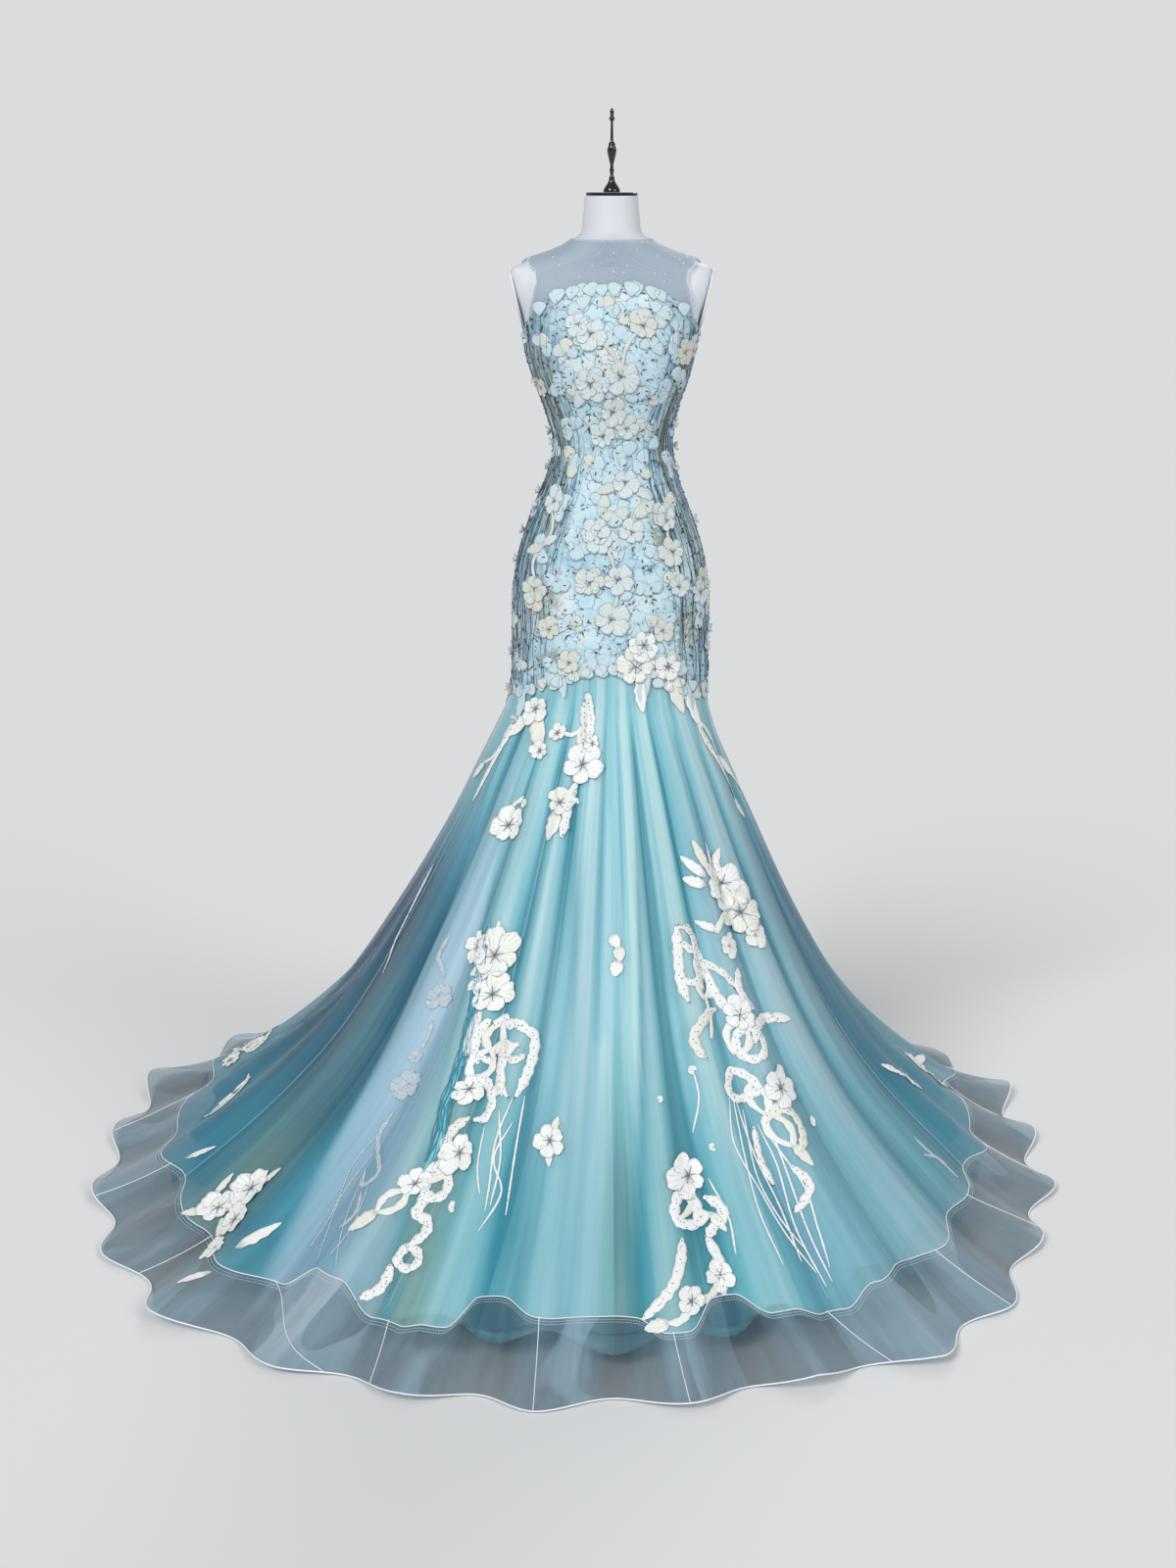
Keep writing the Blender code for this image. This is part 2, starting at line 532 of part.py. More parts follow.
class Panel:
    """A grid on the cloth's outside: rows go down, columns go round."""

    def __init__(self, angles, heights, bends="columns"):
        """bends names the lines, rows or columns, along which the panel bends most."""
        self.angles = angles
        self.heights = heights
        self.bends = bends
        self.points = cloth_point(np.broadcast_to(angles, heights.shape), heights)
        self.normals = cloth_normal(np.broadcast_to(angles, heights.shape), heights)

    def moved(self, out):
        """The grid's points moved out, or in where out is negative; out may be a value for each row."""
        return self.points + self.normals * np.reshape(out, (-1, 1, 1))


def rows_between(top, foot, shares):
    return np.array([top * (1 - share) + foot * share for share in shares])


def take_columns(start, count, whole):
    """Column numbers from one seam to the next, going round."""
    return [(start + k) % whole for k in range(count + 1)]


def draw_in_sides(grid):
    """Half a seam's gap taken off both side edges of a grid."""
    grid = grid.copy()
    for edge, inner in ((0, 1), (-1, -2)):
        step = grid[:, inner] - grid[:, edge]
        length = np.linalg.norm(step, axis=-1, keepdims=True)
        grid[:, edge] += step / length * SEAM / 2
    return grid


def wall(name, outer, inner, finish, collection):
    """One closed wall between two grids, joined round its edges."""
    rows, columns = outer.shape[:2]
    points = np.concatenate([outer.reshape(-1, 3), inner.reshape(-1, 3)])
    number = np.arange(rows * columns).reshape(rows, columns)
    faces = []
    for r in range(rows - 1):
        for c in range(columns - 1):
            a, b = number[r, c], number[r, c + 1]
            d, e = number[r + 1, c], number[r + 1, c + 1]
            faces += [(a, d, e), (a, e, b)]
    back = rows * columns
    faces += [(a + back, e + back, d + back) for a, d, e in list(faces)]
    rim = list(number[0]) + list(number[1:, -1]) + list(number[-1, -2::-1]) + list(number[-2:0:-1, 0])
    for here, after in zip(rim, rim[1:] + rim[:1]):
        faces += [(here, after, after + back), (here, after + back, here + back)]
    return add_object(name, points, faces, finish, collection)


def panel_wall(name, panel, columns, out, thick, finish, collection, flat_foot=False):
    """A wall of the panel's columns, its outside moved by out and its inside a thickness further in."""
    outer = draw_in_sides(panel.moved(out)[:, columns])
    inner = draw_in_sides(panel.moved(np.subtract(out, thick))[:, columns])
    if flat_foot:
        inner[-1, :, 2] = outer[-1, :, 2]
    return wall(name, outer, inner, finish, collection)


# Lace appliques


def flower(x, y, size, turn, rise):
    """An open flower of five petals: its outline, its middle, and its relief."""
    petal = LARGE_PETAL if size >= LARGE_FLOWER else SMALL_PETAL
    outline = []
    for k in range(PETALS):
        for share, reach in petal:
            a = math.radians(turn) + 2 * math.pi * (k + share) / PETALS
            outline.append((x + size * reach * math.cos(a), y + size * reach * math.sin(a)))
    return outline, [(x, y)], lambda px, py: rise * max(0.0, 1 - math.hypot(px - x, py - y) / size)


def leaf(x, y, length, turn, width):
    """A pointed leaf from (x, y) towards its tip."""
    cos, sin = math.cos(math.radians(turn)), math.sin(math.radians(turn))
    half = width / 2
    shape = ((0, 0), (0.45, -half), (1, 0), (0.45, half))
    outline = [(x + length * (u * cos - v * sin), y + length * (u * sin + v * cos)) for u, v in shape]
    return outline, [], lambda px, py: 0.0


def vine(x, y, to_x, to_y, bend, width):
    """A stem along a bow from one place to another; bend is its middle's way aside, as a share."""
    dx, dy = to_x - x, to_y - y
    length = math.hypot(dx, dy)
    left, right = [], []
    for k in range(VINE_STEPS + 1):
        t = k / VINE_STEPS
        bow = 4 * t * (1 - t) * bend
        slope = 4 * (1 - 2 * t) * bend
        half = width / 2 / math.hypot(1, slope)
        middle = (x + dx * t - dy * bow, y + dy * t + dx * bow)
        aside = ((-dy - dx * slope) / length * half, (dx - dy * slope) / length * half)
        left.append((middle[0] + aside[0], middle[1] + aside[1]))
        right.append((middle[0] - aside[0], middle[1] - aside[1]))
    return left[::-1] + right, [], lambda px, py: 0.0


MOTIFS = {"flower": flower, "leaf": leaf, "vine": vine}


def signed_area(outline):
    return sum(a[0] * b[1] - b[0] * a[1] for a, b in zip(outline, outline[1:] + outline[:1])) / 2


def on_panel(panel, angle, height):
    """The point of the panel's own faces at an angle and height, and the normal there."""
    turn = 2 * math.pi
    whole = len(panel.angles)
    here = (angle - panel.angles[0]) % turn + panel.angles[0]
    left = int(np.searchsorted(panel.angles, here, side="right")) - 1
    right = (left + 1) % whole
    start = panel.angles[left]
    width = (panel.angles[right] - start) % turn
    u = (here - start) / width
    edge = panel.heights[:, left] * (1 - u) + panel.heights[:, right] * u
    row = int(np.clip(np.searchsorted(-edge, -height) - 1, 0, len(edge) - 2))
    # The face's corners in angle and height: upper or lower triangle of the cell
    corner = np.array([0.0, panel.heights[row, left]])
    far = np.array([1.0, panel.heights[row + 1, right]])
    diagonal = corner[1] * (1 - u) + far[1] * u
    if height >= diagonal:
        third, cell = (1.0, panel.heights[row, right]), (row, right)
    else:
        third, cell = (0.0, panel.heights[row + 1, left]), (row + 1, left)
    system = np.array([[corner[0], far[0], third[0]], [corner[1], far[1], third[1]], [1, 1, 1]])
    weights = np.linalg.solve(system, [u, height, 1])
    cells = ((row, left), (row + 1, right), cell)
    point = sum(w * panel.points[c] for w, c in zip(weights, cells))
    normal = sum(w * panel.normals[c] for w, c in zip(weights, cells))
    return point, normal


def applique(
    name, panel, angle, height, motifs, collection, thick=APPLIQUE, finish="applique", flatten=FLATTEN
):
    """One closed piece of lace whose back follows the panel's own faces, moved out."""
    angle = math.radians(angle)
    step = 1e-3
    aside = cloth_point(angle + step, height) - cloth_point(angle - step, height)
    upright = cloth_point(angle, height + step) - cloth_point(angle, height - step)
    across = np.linalg.norm(aside) / (2 * step)
    down = np.linalg.norm(upright) / (2 * step)

    shapes = [MOTIFS[row[0]](*row[1:]) for row in motifs]
    spots, edges, faces = [], [], []
    for outline, inside, _relief in shapes:
        if signed_area(outline) < 0:
            outline = outline[::-1]
        first = len(spots)
        spots += [(x * MM, y * MM) for x, y in outline]
        faces.append(list(range(first, first + len(outline))))
        spots += [(x * MM, y * MM) for x, y in inside]
    low = np.min(spots, axis=0)
    high = np.max(spots, axis=0)

    whole = len(panel.angles)
    numbers = {}
    for column in range(-whole, 2 * whole):
        turned = panel.angles[column % whole] + 2 * math.pi * (column // whole)
        x = (turned - angle) * across
        near = across * 2 * math.pi / whole * 2
        if not low[0] - near < x < high[0] + near:
            continue
        for row in range(len(panel.heights)):
            numbers[row, column] = len(spots)
            spots.append((x, (panel.heights[row, column % whole] - height) * down))
    for (row, column), number in numbers.items():
        other = (row, column + 1) if panel.bends == "rows" else (row + 1, column)
        if other in numbers:
            edges.append((number, numbers[other]))

    flat, _edges, cells, _v, _e, covers = delaunay_2d_cdt(spots, edges, faces, 0, 1e-6)
    kept = [cell for cell, cover in zip(cells, covers) if cover]
    used = sorted({n for cell in kept for n in cell})
    renumber = {n: k for k, n in enumerate(used)}
    bottom, top = [], []
    for n in used:
        x, y = flat[n]
        point, normal = on_panel(panel, angle + x / across, height + y / down)
        rise = max(relief(x / MM, y / MM) for _o, _i, relief in shapes) * MM
        bottom.append(point + normal * LAID)
        top.append(point + normal * (LAID + thick + rise))
    count = len(used)
    solid = []
    sides = {}
    for cell in kept:
        a, b, c = (renumber[n] for n in cell)
        solid += [(a, c, b), (a + count, b + count, c + count)]
        for edge in ((a, b), (b, c), (c, a)):
            sides[edge] = True
    for a, b in sides:
        if (b, a) not in sides:
            solid += [(a, b, b + count), (a, b + count, a + count)]
    return add_object(name, bottom + top, solid, finish, collection, flatten)


# What the dress is cut from


def build_skirts(collection, panels):
    """Overskirt gores, their hem bands and the underskirt's panels."""
    whole = len(panels["gore"].angles)
    for name, first, folds in GORES:
        start = first * COLUMNS_PER_FOLD - COLUMNS_PER_FOLD // 2
        columns = take_columns(start, folds * COLUMNS_PER_FOLD, whole)
        panel_wall("skirt_" + name, panels["gore"], columns, 0.0, ORGANZA, "organza", collection)
        panel_wall(
            "hem_band_" + name, panels["band"], columns, 0.0, ORGANZA, "band", collection, flat_foot=True
        )

    under = panels["underskirt"]
    drop = np.array(UNDERSKIRT_ROWS)
    out = -ORGANZA - UNDERSKIRT_TOP_GAP - (UNDERSKIRT_HEM_GAP - UNDERSKIRT_TOP_GAP) * drop**UNDERSKIRT_PARTING
    for name, first, folds in UNDERSKIRT_PANELS:
        columns = take_columns(first - 1, folds, len(under.angles))
        panel_wall("underskirt_" + name, under, columns, out, ORGANZA, "underskirt", collection)


def build_bodice(collection, bodice):
    """Front and two backs, with seams at the sides and the centre back."""
    whole = len(bodice.angles)
    right = int(np.argmin(np.abs((bodice.angles + math.pi) % (2 * math.pi) - math.pi)))
    quarter = whole // 4
    for name, start, count in (
        ("bodice_back_right", right, quarter),
        ("bodice_back_left", right + quarter, quarter),
        ("bodice_front", right + 2 * quarter, 2 * quarter),
    ):
        panel_wall(name, bodice, take_columns(start, count, whole), 0.0, LACE, "lace", collection)


def yoke_columns(bodice, middle, armhole):
    """Ends of a yoke piece's columns: degrees from its middle and height, on the neckline and below."""
    reach = armhole[0][0]
    turns = (np.degrees(bodice.angles) - middle + 180) % 360 - 180
    inner = sorted(turn for turn in turns if abs(turn) < reach - 2)
    columns = []
    for turn in inner:
        height = top_edge(np.radians(middle + turn)) + 2 * SEAM
        columns.append((YOKE_CORNER * 90 * turn / reach, turn, height))
    shares = np.linspace(YOKE_CORNER, 1, len(armhole))
    for share, (turn, height) in zip(shares, armhole):
        columns.append((90 * share, turn, height))
        columns.insert(0, (-90 * share, -turn, height))
    return columns


def build_yoke(collection, bodice):
    """Net from the neckline to the bodice and armholes, with seams at the shoulders and centre back."""
    rows = np.linspace(0, 1, YOKE_ROWS)[:, None]
    front = yoke_columns(bodice, 270, FRONT_ARMHOLE)
    back = yoke_columns(bodice, 90, BACK_ARMHOLE)
    centre = [turn for _top, turn, _height in back].index(0)
    for name, middle, columns in (
        ("yoke_front", 270, front),
        ("yoke_back_right", 90, back[: centre + 1]),
        ("yoke_back_left", 90, back[centre:]),
    ):
        top, foot, height = np.array(columns).T
        angles = np.radians(middle + top * (1 - rows) + foot * rows)
        heights = NECKLINE * (1 - rows**YOKE_SLOPE) + height * rows**YOKE_SLOPE
        points, normals = cloth_point(angles, heights), cloth_normal(angles, heights)
        outer = draw_in_sides(points + normals * YOKE_OUT)
        inner = draw_in_sides(points + normals * (YOKE_OUT - NET))
        wall(name, outer, inner, "net", collection)


# The dress form


def arm_plane(heights):
    return ARM_PLANE_X + ARM_PLANE_LEAN * (heights - ARM_PLANE_Z)


def build_form(collection, bodice):
    """Torso with its neck, arm plates, neck cap, finial, pole and base."""
    inset = np.full(len(bodice.heights), LACE + FORM_CLEARANCE)
    inset[-1] += LACE_EDGE_INSET
    worn = bodice.moved(-inset)[:, ::TORSO_STEP]
    angles = bodice.angles[::TORSO_STEP]
    above = []
    top = top_edge(angles)
    for share in SHOULDER_ROWS:
        heights = top * (1 - share) + NECK_FOOT * share
        above.append(cloth_point(angles, heights) - cloth_normal(angles, heights) * SHOULDER_INSET)
    for height in (NECK_MIDDLE, NECK_TOP):
        heights = np.full(len(angles), height)
        ring = cloth_point(angles, heights) - cloth_normal(angles, heights) * SHOULDER_INSET
        ring[:, 2] = height
        above.append(ring)
    below = []
    foot = bodice.heights[-1][::TORSO_STEP]
    for share, draw in TORSO_FOOT_ROWS:
        heights = foot * (1 - share) + TORSO_FOOT * share
        ring = cloth_point(angles, np.maximum(heights, TORSO_FOOT_SHAPE))
        flat = np.linalg.norm(ring[:, :2], axis=1, keepdims=True)
        ring[:, :2] *= 1 - draw / flat
        ring[:, 2] = heights
        below.append(ring)
    rings = np.array(above[::-1] + list(worn) + below)
    limit = arm_plane(rings[:, :, 2]) - ARM_PLATE_THICKNESS - SEAM
    flat_end = (rings[:, :, 2] > ARM_PLATE_FROM) & (np.abs(rings[:, :, 0]) > limit)
    rings[:, :, 0] = np.where(flat_end, np.sign(rings[:, :, 0]) * limit, rings[:, :, 0])

    count = len(angles)
    faces = []
    for r in range(len(rings) - 1):
        for c in range(count):
            after = (c + 1) % count
            a, b = r * count + c, r * count + after
            d, e = (r + 1) * count + c, (r + 1) * count + after
            faces += [(a, d, e), (a, e, b)]
    faces.append(tuple(range(count)))
    faces.append(tuple(range((len(rings) - 1) * count, len(rings) * count)))
    add_object("form_torso", rings.reshape(-1, 3), faces, "form", collection)

    for side, label in ((-1, "left"), (1, "right")):
        plate = disc("form_arm_plate_" + label, 0.5, ARM_PLATE_THICKNESS, 28, "form", collection)
        middle = ARM_PLATE_FOOT + ARM_PLATE_HEIGHT / 2
        lean = math.atan(ARM_PLANE_LEAN)
        out = arm_plane(middle) - ARM_PLATE_THICKNESS / 2
        turn = Matrix.Rotation(side * (math.pi / 2 + lean), 4, "Y")
        size = Matrix.Diagonal((ARM_PLATE_HEIGHT, ARM_PLATE_DEPTH, 1, 1))
        plate.data.transform(turn @ size)
        plate.location = (side * out, ARM_PLATE_BACK, middle)

    cap = disc("form_neck_cap", CAP_RADIUS, CAP_THICKNESS, 36, "black", collection)
    cap.location = (0, 0, NECK_TOP + SEAM + CAP_THICKNESS / 2)
    seat = NECK_TOP + 2 * SEAM + CAP_THICKNESS
    finial = [(radius, seat + height) for radius, height in FINIAL] + [(0.0, FINIAL_TOP)]
    turned("form_finial", finial, 12, "black", collection)
    turned("form_base", BASE, 36, "black", collection)
    length = TORSO_FOOT - BASE_HEIGHT - 2 * SEAM
    pole = disc("form_pole", POLE_RADIUS, length, 24, "steel", collection)
    pole.location = (0, 0, BASE_HEIGHT + SEAM + length / 2)


def disc(name, radius, thick, sides, finish, collection):
    bpy.ops.mesh.primitive_cylinder_add(vertices=sides, radius=radius, depth=thick, end_fill_type="NGON")
    made = bpy.context.object
    made.name = name
    made.data.name = name
    made.data.materials.append(material(name, finish))
    made.data.shade_smooth()
    made.data.set_sharp_from_angle(angle=math.radians(40))
    for owner in list(made.users_collection):
        owner.objects.unlink(made)
    collection.objects.link(made)
    return made


def turned(name, profile, steps, finish, collection):
    """A turned piece: the profile at +X, from the foot up, swept round by a Screw."""
    mesh = bpy.data.meshes.new(name)
    points = [(x, 0.0, z) for x, z in profile[::-1]]
    mesh.from_pydata(points, [(k, k + 1) for k in range(len(points) - 1)], [])
    mesh.materials.append(material(name, finish))
    made = bpy.data.objects.new(name, mesh)
    collection.objects.link(made)
    sweep = made.modifiers.new("Screw", "SCREW")
    sweep.steps = steps
    sweep.render_steps = steps
    sweep.use_merge_vertices = True
    sweep.merge_threshold = 0.0001
    sweep.use_smooth_shade = True
    return made


def build_placket(collection, cutters, bodice):
    """A narrow strip down the centre back with a row of covered buttons."""
    foot = BUTTON_TOP - BUTTON_PITCH * BUTTON_COUNT
    middle = (BUTTON_TOP + foot) / 2
    half = (BUTTON_TOP - foot) / 2
    end = (half + PLACKET_WIDTH / 2) / MM
    strip = (("vine", 0, end, 0, -end, 0, PLACKET_WIDTH / MM),)
    placket = applique(
        "back_placket", bodice, 90, middle, strip, collection, thick=PLACKET, finish="lace", flatten=0.0
    )
    shape = bmesh.new()
    for k in range(BUTTON_COUNT):
        height = BUTTON_TOP - BUTTON_PITCH * (k + 0.5)
        point, normal = on_panel(bodice, math.radians(90), height)
        seat = point + normal * (LAID + PLACKET * 0.6)
        place = Matrix.Translation(seat + normal * BUTTON_HEIGHT / 2)
        place = place @ Matrix.Rotation(-math.pi / 2, 4, "X")
        bmesh.ops.create_cone(
            shape, cap_ends=True, segments=6, radius1=BUTTON_RADIUS, radius2=BUTTON_RADIUS * 0.55,
            depth=BUTTON_HEIGHT, matrix=place,
        )
    mesh = bpy.data.meshes.new("buttons")
    shape.to_mesh(mesh)
    shape.free()
    buttons = bpy.data.objects.new("buttons", mesh)
    buttons.hide_render = True
    buttons.display_type = "WIRE"
    cutters.objects.link(buttons)
    join = placket.modifiers.new("Buttons", "BOOLEAN")
    join.operation = "UNION"
    join.object = buttons


def main():
    clear_scene()
    collection = bpy.data.collections.new("mermaid_evening_dress")
    cutters = bpy.data.collections.new("cutters")
    bpy.context.scene.collection.children.link(collection)
    bpy.context.scene.collection.children.link(cutters)

    angles = column_angles()
    seam = lace_edge(angles) - 2 * SEAM
    foot = band_top(angles)
    skirt_heights = rows_between(seam, foot, SKIRT_ROWS)
    band_heights = rows_between(foot - BAND_GAP, np.zeros(len(foot)), BAND_ROWS)
    troughs = slice(COLUMNS_PER_FOLD // 2, None, COLUMNS_PER_FOLD)
    bodice_heights = rows_between(top_edge(angles), lace_edge(angles), np.linspace(0, 1, BODICE_ROWS))
    panels = {
        "gore": Panel(angles, skirt_heights),
        "skirt": Panel(angles, np.concatenate([skirt_heights, band_heights[1:]])),
        "band": Panel(angles, band_heights),
        "underskirt": Panel(angles[troughs], rows_between(seam, foot, UNDERSKIRT_ROWS)[:, troughs]),
        "dress": Panel(angles, np.concatenate([bodice_heights, skirt_heights[1:]])),
        "bodice": Panel(angles, bodice_heights, bends="rows"),
    }
    build_form(collection, panels["bodice"])
    build_yoke(collection, panels["bodice"])
    build_bodice(collection, panels["bodice"])
    build_skirts(collection, panels)
    build_placket(collection, cutters, panels["bodice"])
    for name, (panel, angle, height, motifs) in SPRAYS.items():
        applique(name, panels[panel], angle, height, motifs, collection)


main()
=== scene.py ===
"""Looks of a mermaid evening dress on a limbless dress form, in metres, +Z up, front towards -Y."""

import math

import bmesh
import bpy
import numpy as np
from bpy.props import FloatProperty, FloatVectorProperty, IntProperty, PointerProperty
from bpy.types import Operator, Panel, PropertyGroup
from mathutils import Matrix


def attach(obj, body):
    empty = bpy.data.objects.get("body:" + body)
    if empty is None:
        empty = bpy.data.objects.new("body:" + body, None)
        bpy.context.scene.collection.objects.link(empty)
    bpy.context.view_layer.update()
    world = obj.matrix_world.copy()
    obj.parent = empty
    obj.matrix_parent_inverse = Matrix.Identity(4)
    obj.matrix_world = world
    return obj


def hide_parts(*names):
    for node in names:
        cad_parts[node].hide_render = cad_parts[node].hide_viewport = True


bl_info = {
    "name": "Mermaid evening dress",
    "version": (1, 0, 0),
    "blender": (4, 5, 0),
    "location": "3D View > Sidebar > Evening dress",
    "description": "Organza skirts, beaded lace, appliques and a dress form around a fixed frame",
    "category": "Object",
}

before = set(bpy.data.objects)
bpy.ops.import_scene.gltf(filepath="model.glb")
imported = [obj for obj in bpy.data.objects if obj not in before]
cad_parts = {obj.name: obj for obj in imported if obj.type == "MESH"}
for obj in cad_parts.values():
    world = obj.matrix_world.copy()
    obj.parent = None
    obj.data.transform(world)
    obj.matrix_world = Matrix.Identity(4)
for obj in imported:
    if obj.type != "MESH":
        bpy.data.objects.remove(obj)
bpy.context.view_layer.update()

# Outside of the cloth from the axis, hem first, in millimetres
SECTION_COLUMNS = ("height", "left", "right", "front", "back")
SECTIONS = (
    (0, 862, 740, 790, 868), (25, 808, 690, 741, 818), (55, 755, 641, 690, 764), (100, 688, 588, 634, 698),
    (157, 614, 524, 562, 626), (229, 533, 454, 487, 546), (301, 465, 400, 424, 479),
    (371, 414, 357, 373, 426), (440, 370, 320, 330, 379), (510, 327, 286, 290, 334),
    (578, 288, 256, 255, 295), (645, 252, 227, 221, 258), (710, 221, 199, 189, 224),
    (778, 188, 171, 153, 183), (830, 165, 158, 126, 149), (880, 160, 158, 115, 131),
    (940, 159, 158, 109, 126), (1005, 157, 157, 103, 121), (1070, 146, 147, 96, 110),
    (1134, 125, 125.5, 87.5, 92), (1190, 102, 106, 80, 78), (1240, 91.5, 97.5, 78, 74),
    (1290, 103.5, 104.5, 86, 80), (1340, 122, 121, 97.5, 88), (1380, 134, 132, 100, 92),
    (1410, 139, 138, 96, 93), (1440, 148, 147, 87, 92), (1470, 162, 162, 74, 88), (1495, 170, 170, 61, 80),
    (1512, 164, 164, 54.5, 73), (1524, 133, 133, 53, 67), (1535, 98, 98, 52.5, 62),
    (1546, 73, 73, 52.2, 58.5), (1560, 56, 55, 52, 56), (1585, 50, 49, 50, 52), (1617, 47, 46, 48, 48),
)

# The skirt's folds, one row a ridge, counter-clockwise from +X; the front is 270 degrees. The other columns
# are millimetres.
FOLD_COLUMNS = ("angle", "depth", "ruffle", "reach", "lift", "start")
FOLDS = (
    (8, 20, 16, 4, 14, 800), (22, 24, 20, 30, 22, 840), (37, 18, 14, 16, 6, 760), (52, 26, 18, 22, 16, 840),
    (67, 20, 14, 6, 0, 800), (82, 24, 18, 0, 18, 830), (98, 22, 16, 0, 8, 780), (113, 28, 20, 0, 20, 840),
    (128, 20, 14, 6, 0, 800), (143, 26, 18, 26, 16, 840), (158, 22, 18, 46, 24, 800),
    (172, 24, 14, 10, 10, 840), (188, 18, 14, 0, 12, 740), (203, 24, 18, 4, 4, 840),
    (219, 30, 20, 26, 18, 820), (235, 22, 16, 18, 8, 840), (249, 22, 16, 16, 14, 860),
    (262, 24, 14, 0, 0, 860), (278, 20, 18, -4, 10, 840), (291, 22, 18, -6, 22, 860),
    (305, 26, 20, 34, 16, 840), (320, 24, 14, 12, 4, 800), (336, 20, 16, -12, 12, 840),
    (352, 24, 18, -4, 8, 780),
)

# The bodice's top edge: degrees round from the front, height
TOP_EDGE = (
    (0, 1.487), (32, 1.487), (50, 1.478), (62, 1.458), (71, 1.436), (80, 1.417), (90, 1.407), (105, 1.404),
    (125, 1.415), (150, 1.432), (180, 1.44),
)
# The yoke's armhole edges up to the shoulder seam: degrees from its middle, height
FRONT_ARMHOLE = ((71, 1.438), (68, 1.462), (68, 1.488), (71, 1.507), (77, 1.517), (83, 1.524), (90, 1.527))
BACK_ARMHOLE = (
    (73, 1.411), (70, 1.45), (69, 1.485), (70, 1.498), (72, 1.509), (78, 1.517), (84, 1.524), (90, 1.527),
)

MM = 0.001
# Height below which the hem ruffles, and how the folds grow down the skirt
HEM_ZONE = 0.110
FOLD_GROWTH = 0.95
# The hem band's top in the solids, which is higher on a ridge than in a trough
BAND_TOP = 0.066
BAND_TOP_WAVE = 0.008
# The bodice's lower edge, which is higher at the front and back than at the sides
LACE_EDGE = 0.868
LACE_EDGE_RISE = 0.027
WAIST = 1.235
NECKLINE = 1.553
# The neck: its foot, its top, the height from which its rows are level, and where its upper rows end
NECK_FOOT = 1.560
NECK_TOP = 1.617
NECK_LEVEL = 1.61
NECK_ROWS_END = 1.565
# The yoke: share of the neckline over the middle part, how fast it spreads, columns beside each armhole
YOKE_CORNER = 0.64
YOKE_SLOPE = 1.3
YOKE_SIDE_COLUMNS = 25
# How far outside the cloth's surface lie the band, the yoke and the bugle beads on the flat petals
BAND_PROUD = 0.0008
YOKE_PROUD = 0.0006
BUGLE_RISE = 0.0013
# Gap between the bodice and what is sewn to it
SEAM = 0.0006
LACE_THICKNESS = 0.0016
SATIN_THICKNESS = 0.0008
# Gap between the two skirts at the top, and how much wider it is at the hem
SKIRT_GAP = 0.0022
SKIRT_PARTING = 0.0176
# The underskirt's hem is this much lower at the front, within so many degrees
FRONT_DIP = 0.030
FRONT_DIP_REACH = 34
# Petals over the bodice: columns, rows, height of the first row and from row to row
PETAL_COLUMNS = 15
PETAL_ROWS = 10
PETAL_TOP = 1.452
PETAL_PITCH = 0.060
# Petals along the bodice's lower edge and how far above it, then along its upper edge and how far below it,
# and the degrees from the front where the upper edge has none
EDGE_PETALS = 34
EDGE_UP = 0.008
RIM_PETALS = 36
RIM_DOWN = 0.020
RIM_BARE = (64, 104)
# Tones of a spray's motifs by turns
TONES = (0.15, 0.75, 0.35, 0.05, 0.55)
# Columns and rows of the sheets
BODICE_COLUMNS = 256
LONG_ROWS = 96
UNDER_ROWS = 80
BAND_ROWS = 34
YOKE_ROWS = 24
# A sewn flower against the solid's, and a vine's width: heights, shares
BLOOM = ((0.30, 0.50, 0.56, 0.72, 0.90), (1.45, 1.48, 1.70, 1.30, 1.20))
VINE_GROWTH = ((0.60, 0.90), (1.65, 1.00))
# What is left of the sides' shading: heights, shares
HIP_PALENESS = ((0.84, 0.88, 1.02, 1.18), (0.90, 0.32, 0.48, 0.92))

# The form lies this far inside the cloth: at the shoulders, under the bodice, and further at its lower edge
FORM_COLUMNS = 144
SHOULDER_INSET = 0.0054
BODICE_INSET = 0.0036
LACE_EDGE_INSET = 0.003
# Its underside: share of the way down to the foot, and how far the row is drawn in
TORSO_FOOT = 0.8005
TORSO_FOOT_ROWS = ((0.5, 0.012), (0.9, 0.024), (1.0, 0.030))
# The plane of the arm plates goes through this place and leans out by so much for each metre up
ARM_PLANE_X = 0.135
ARM_PLANE_Z = 1.400
ARM_PLANE_LEAN = 0.235
# The torso ends flat this far inside the plane, from this height up
TORSO_GAP = 0.0043
ARM_PLATE_FROM = 1.405
ARM_PLATE_Z = 1.461
ARM_PLATE_BACK = 0.002
ARM_PLATE_HEIGHT = 0.098
ARM_PLATE_DEPTH = 0.066
ARM_PLATE_THICKNESS = 0.004
# Turned pieces of the form: radius and height above the piece's foot, in millimetres
CAP = ((0, 0), (38.5, 0), (39.8, 1.2), (39.8, 3.8), (38.5, 5), (0, 5))
FINIAL = (
    (0, 0), (12.2, 0), (13.1, 1), (13, 2.4), (12.2, 4.5), (11, 6.8), (8.8, 10), (6.8, 12.8), (5, 16.5),
    (4.1, 20), (4.6, 21.2), (4, 22.4), (2.8, 24.5), (2.5, 27), (3.5, 32), (3.6, 33.5), (2.6, 36), (2.4, 40),
    (3.6, 44.5), (4.7, 49), (5.8, 53.5), (6.9, 59), (7, 62.5), (6, 66.5), (5, 69), (5.5, 70.2), (5.4, 71.4),
    (3.6, 73.5), (2.6, 75.2), (2.1, 85), (1.7, 104), (3.4, 105.8), (4.3, 108.5), (3.4, 111), (2.1, 113),
    (2.8, 115.2), (3.2, 118.5), (2.2, 122.2), (0, 124.3),
)
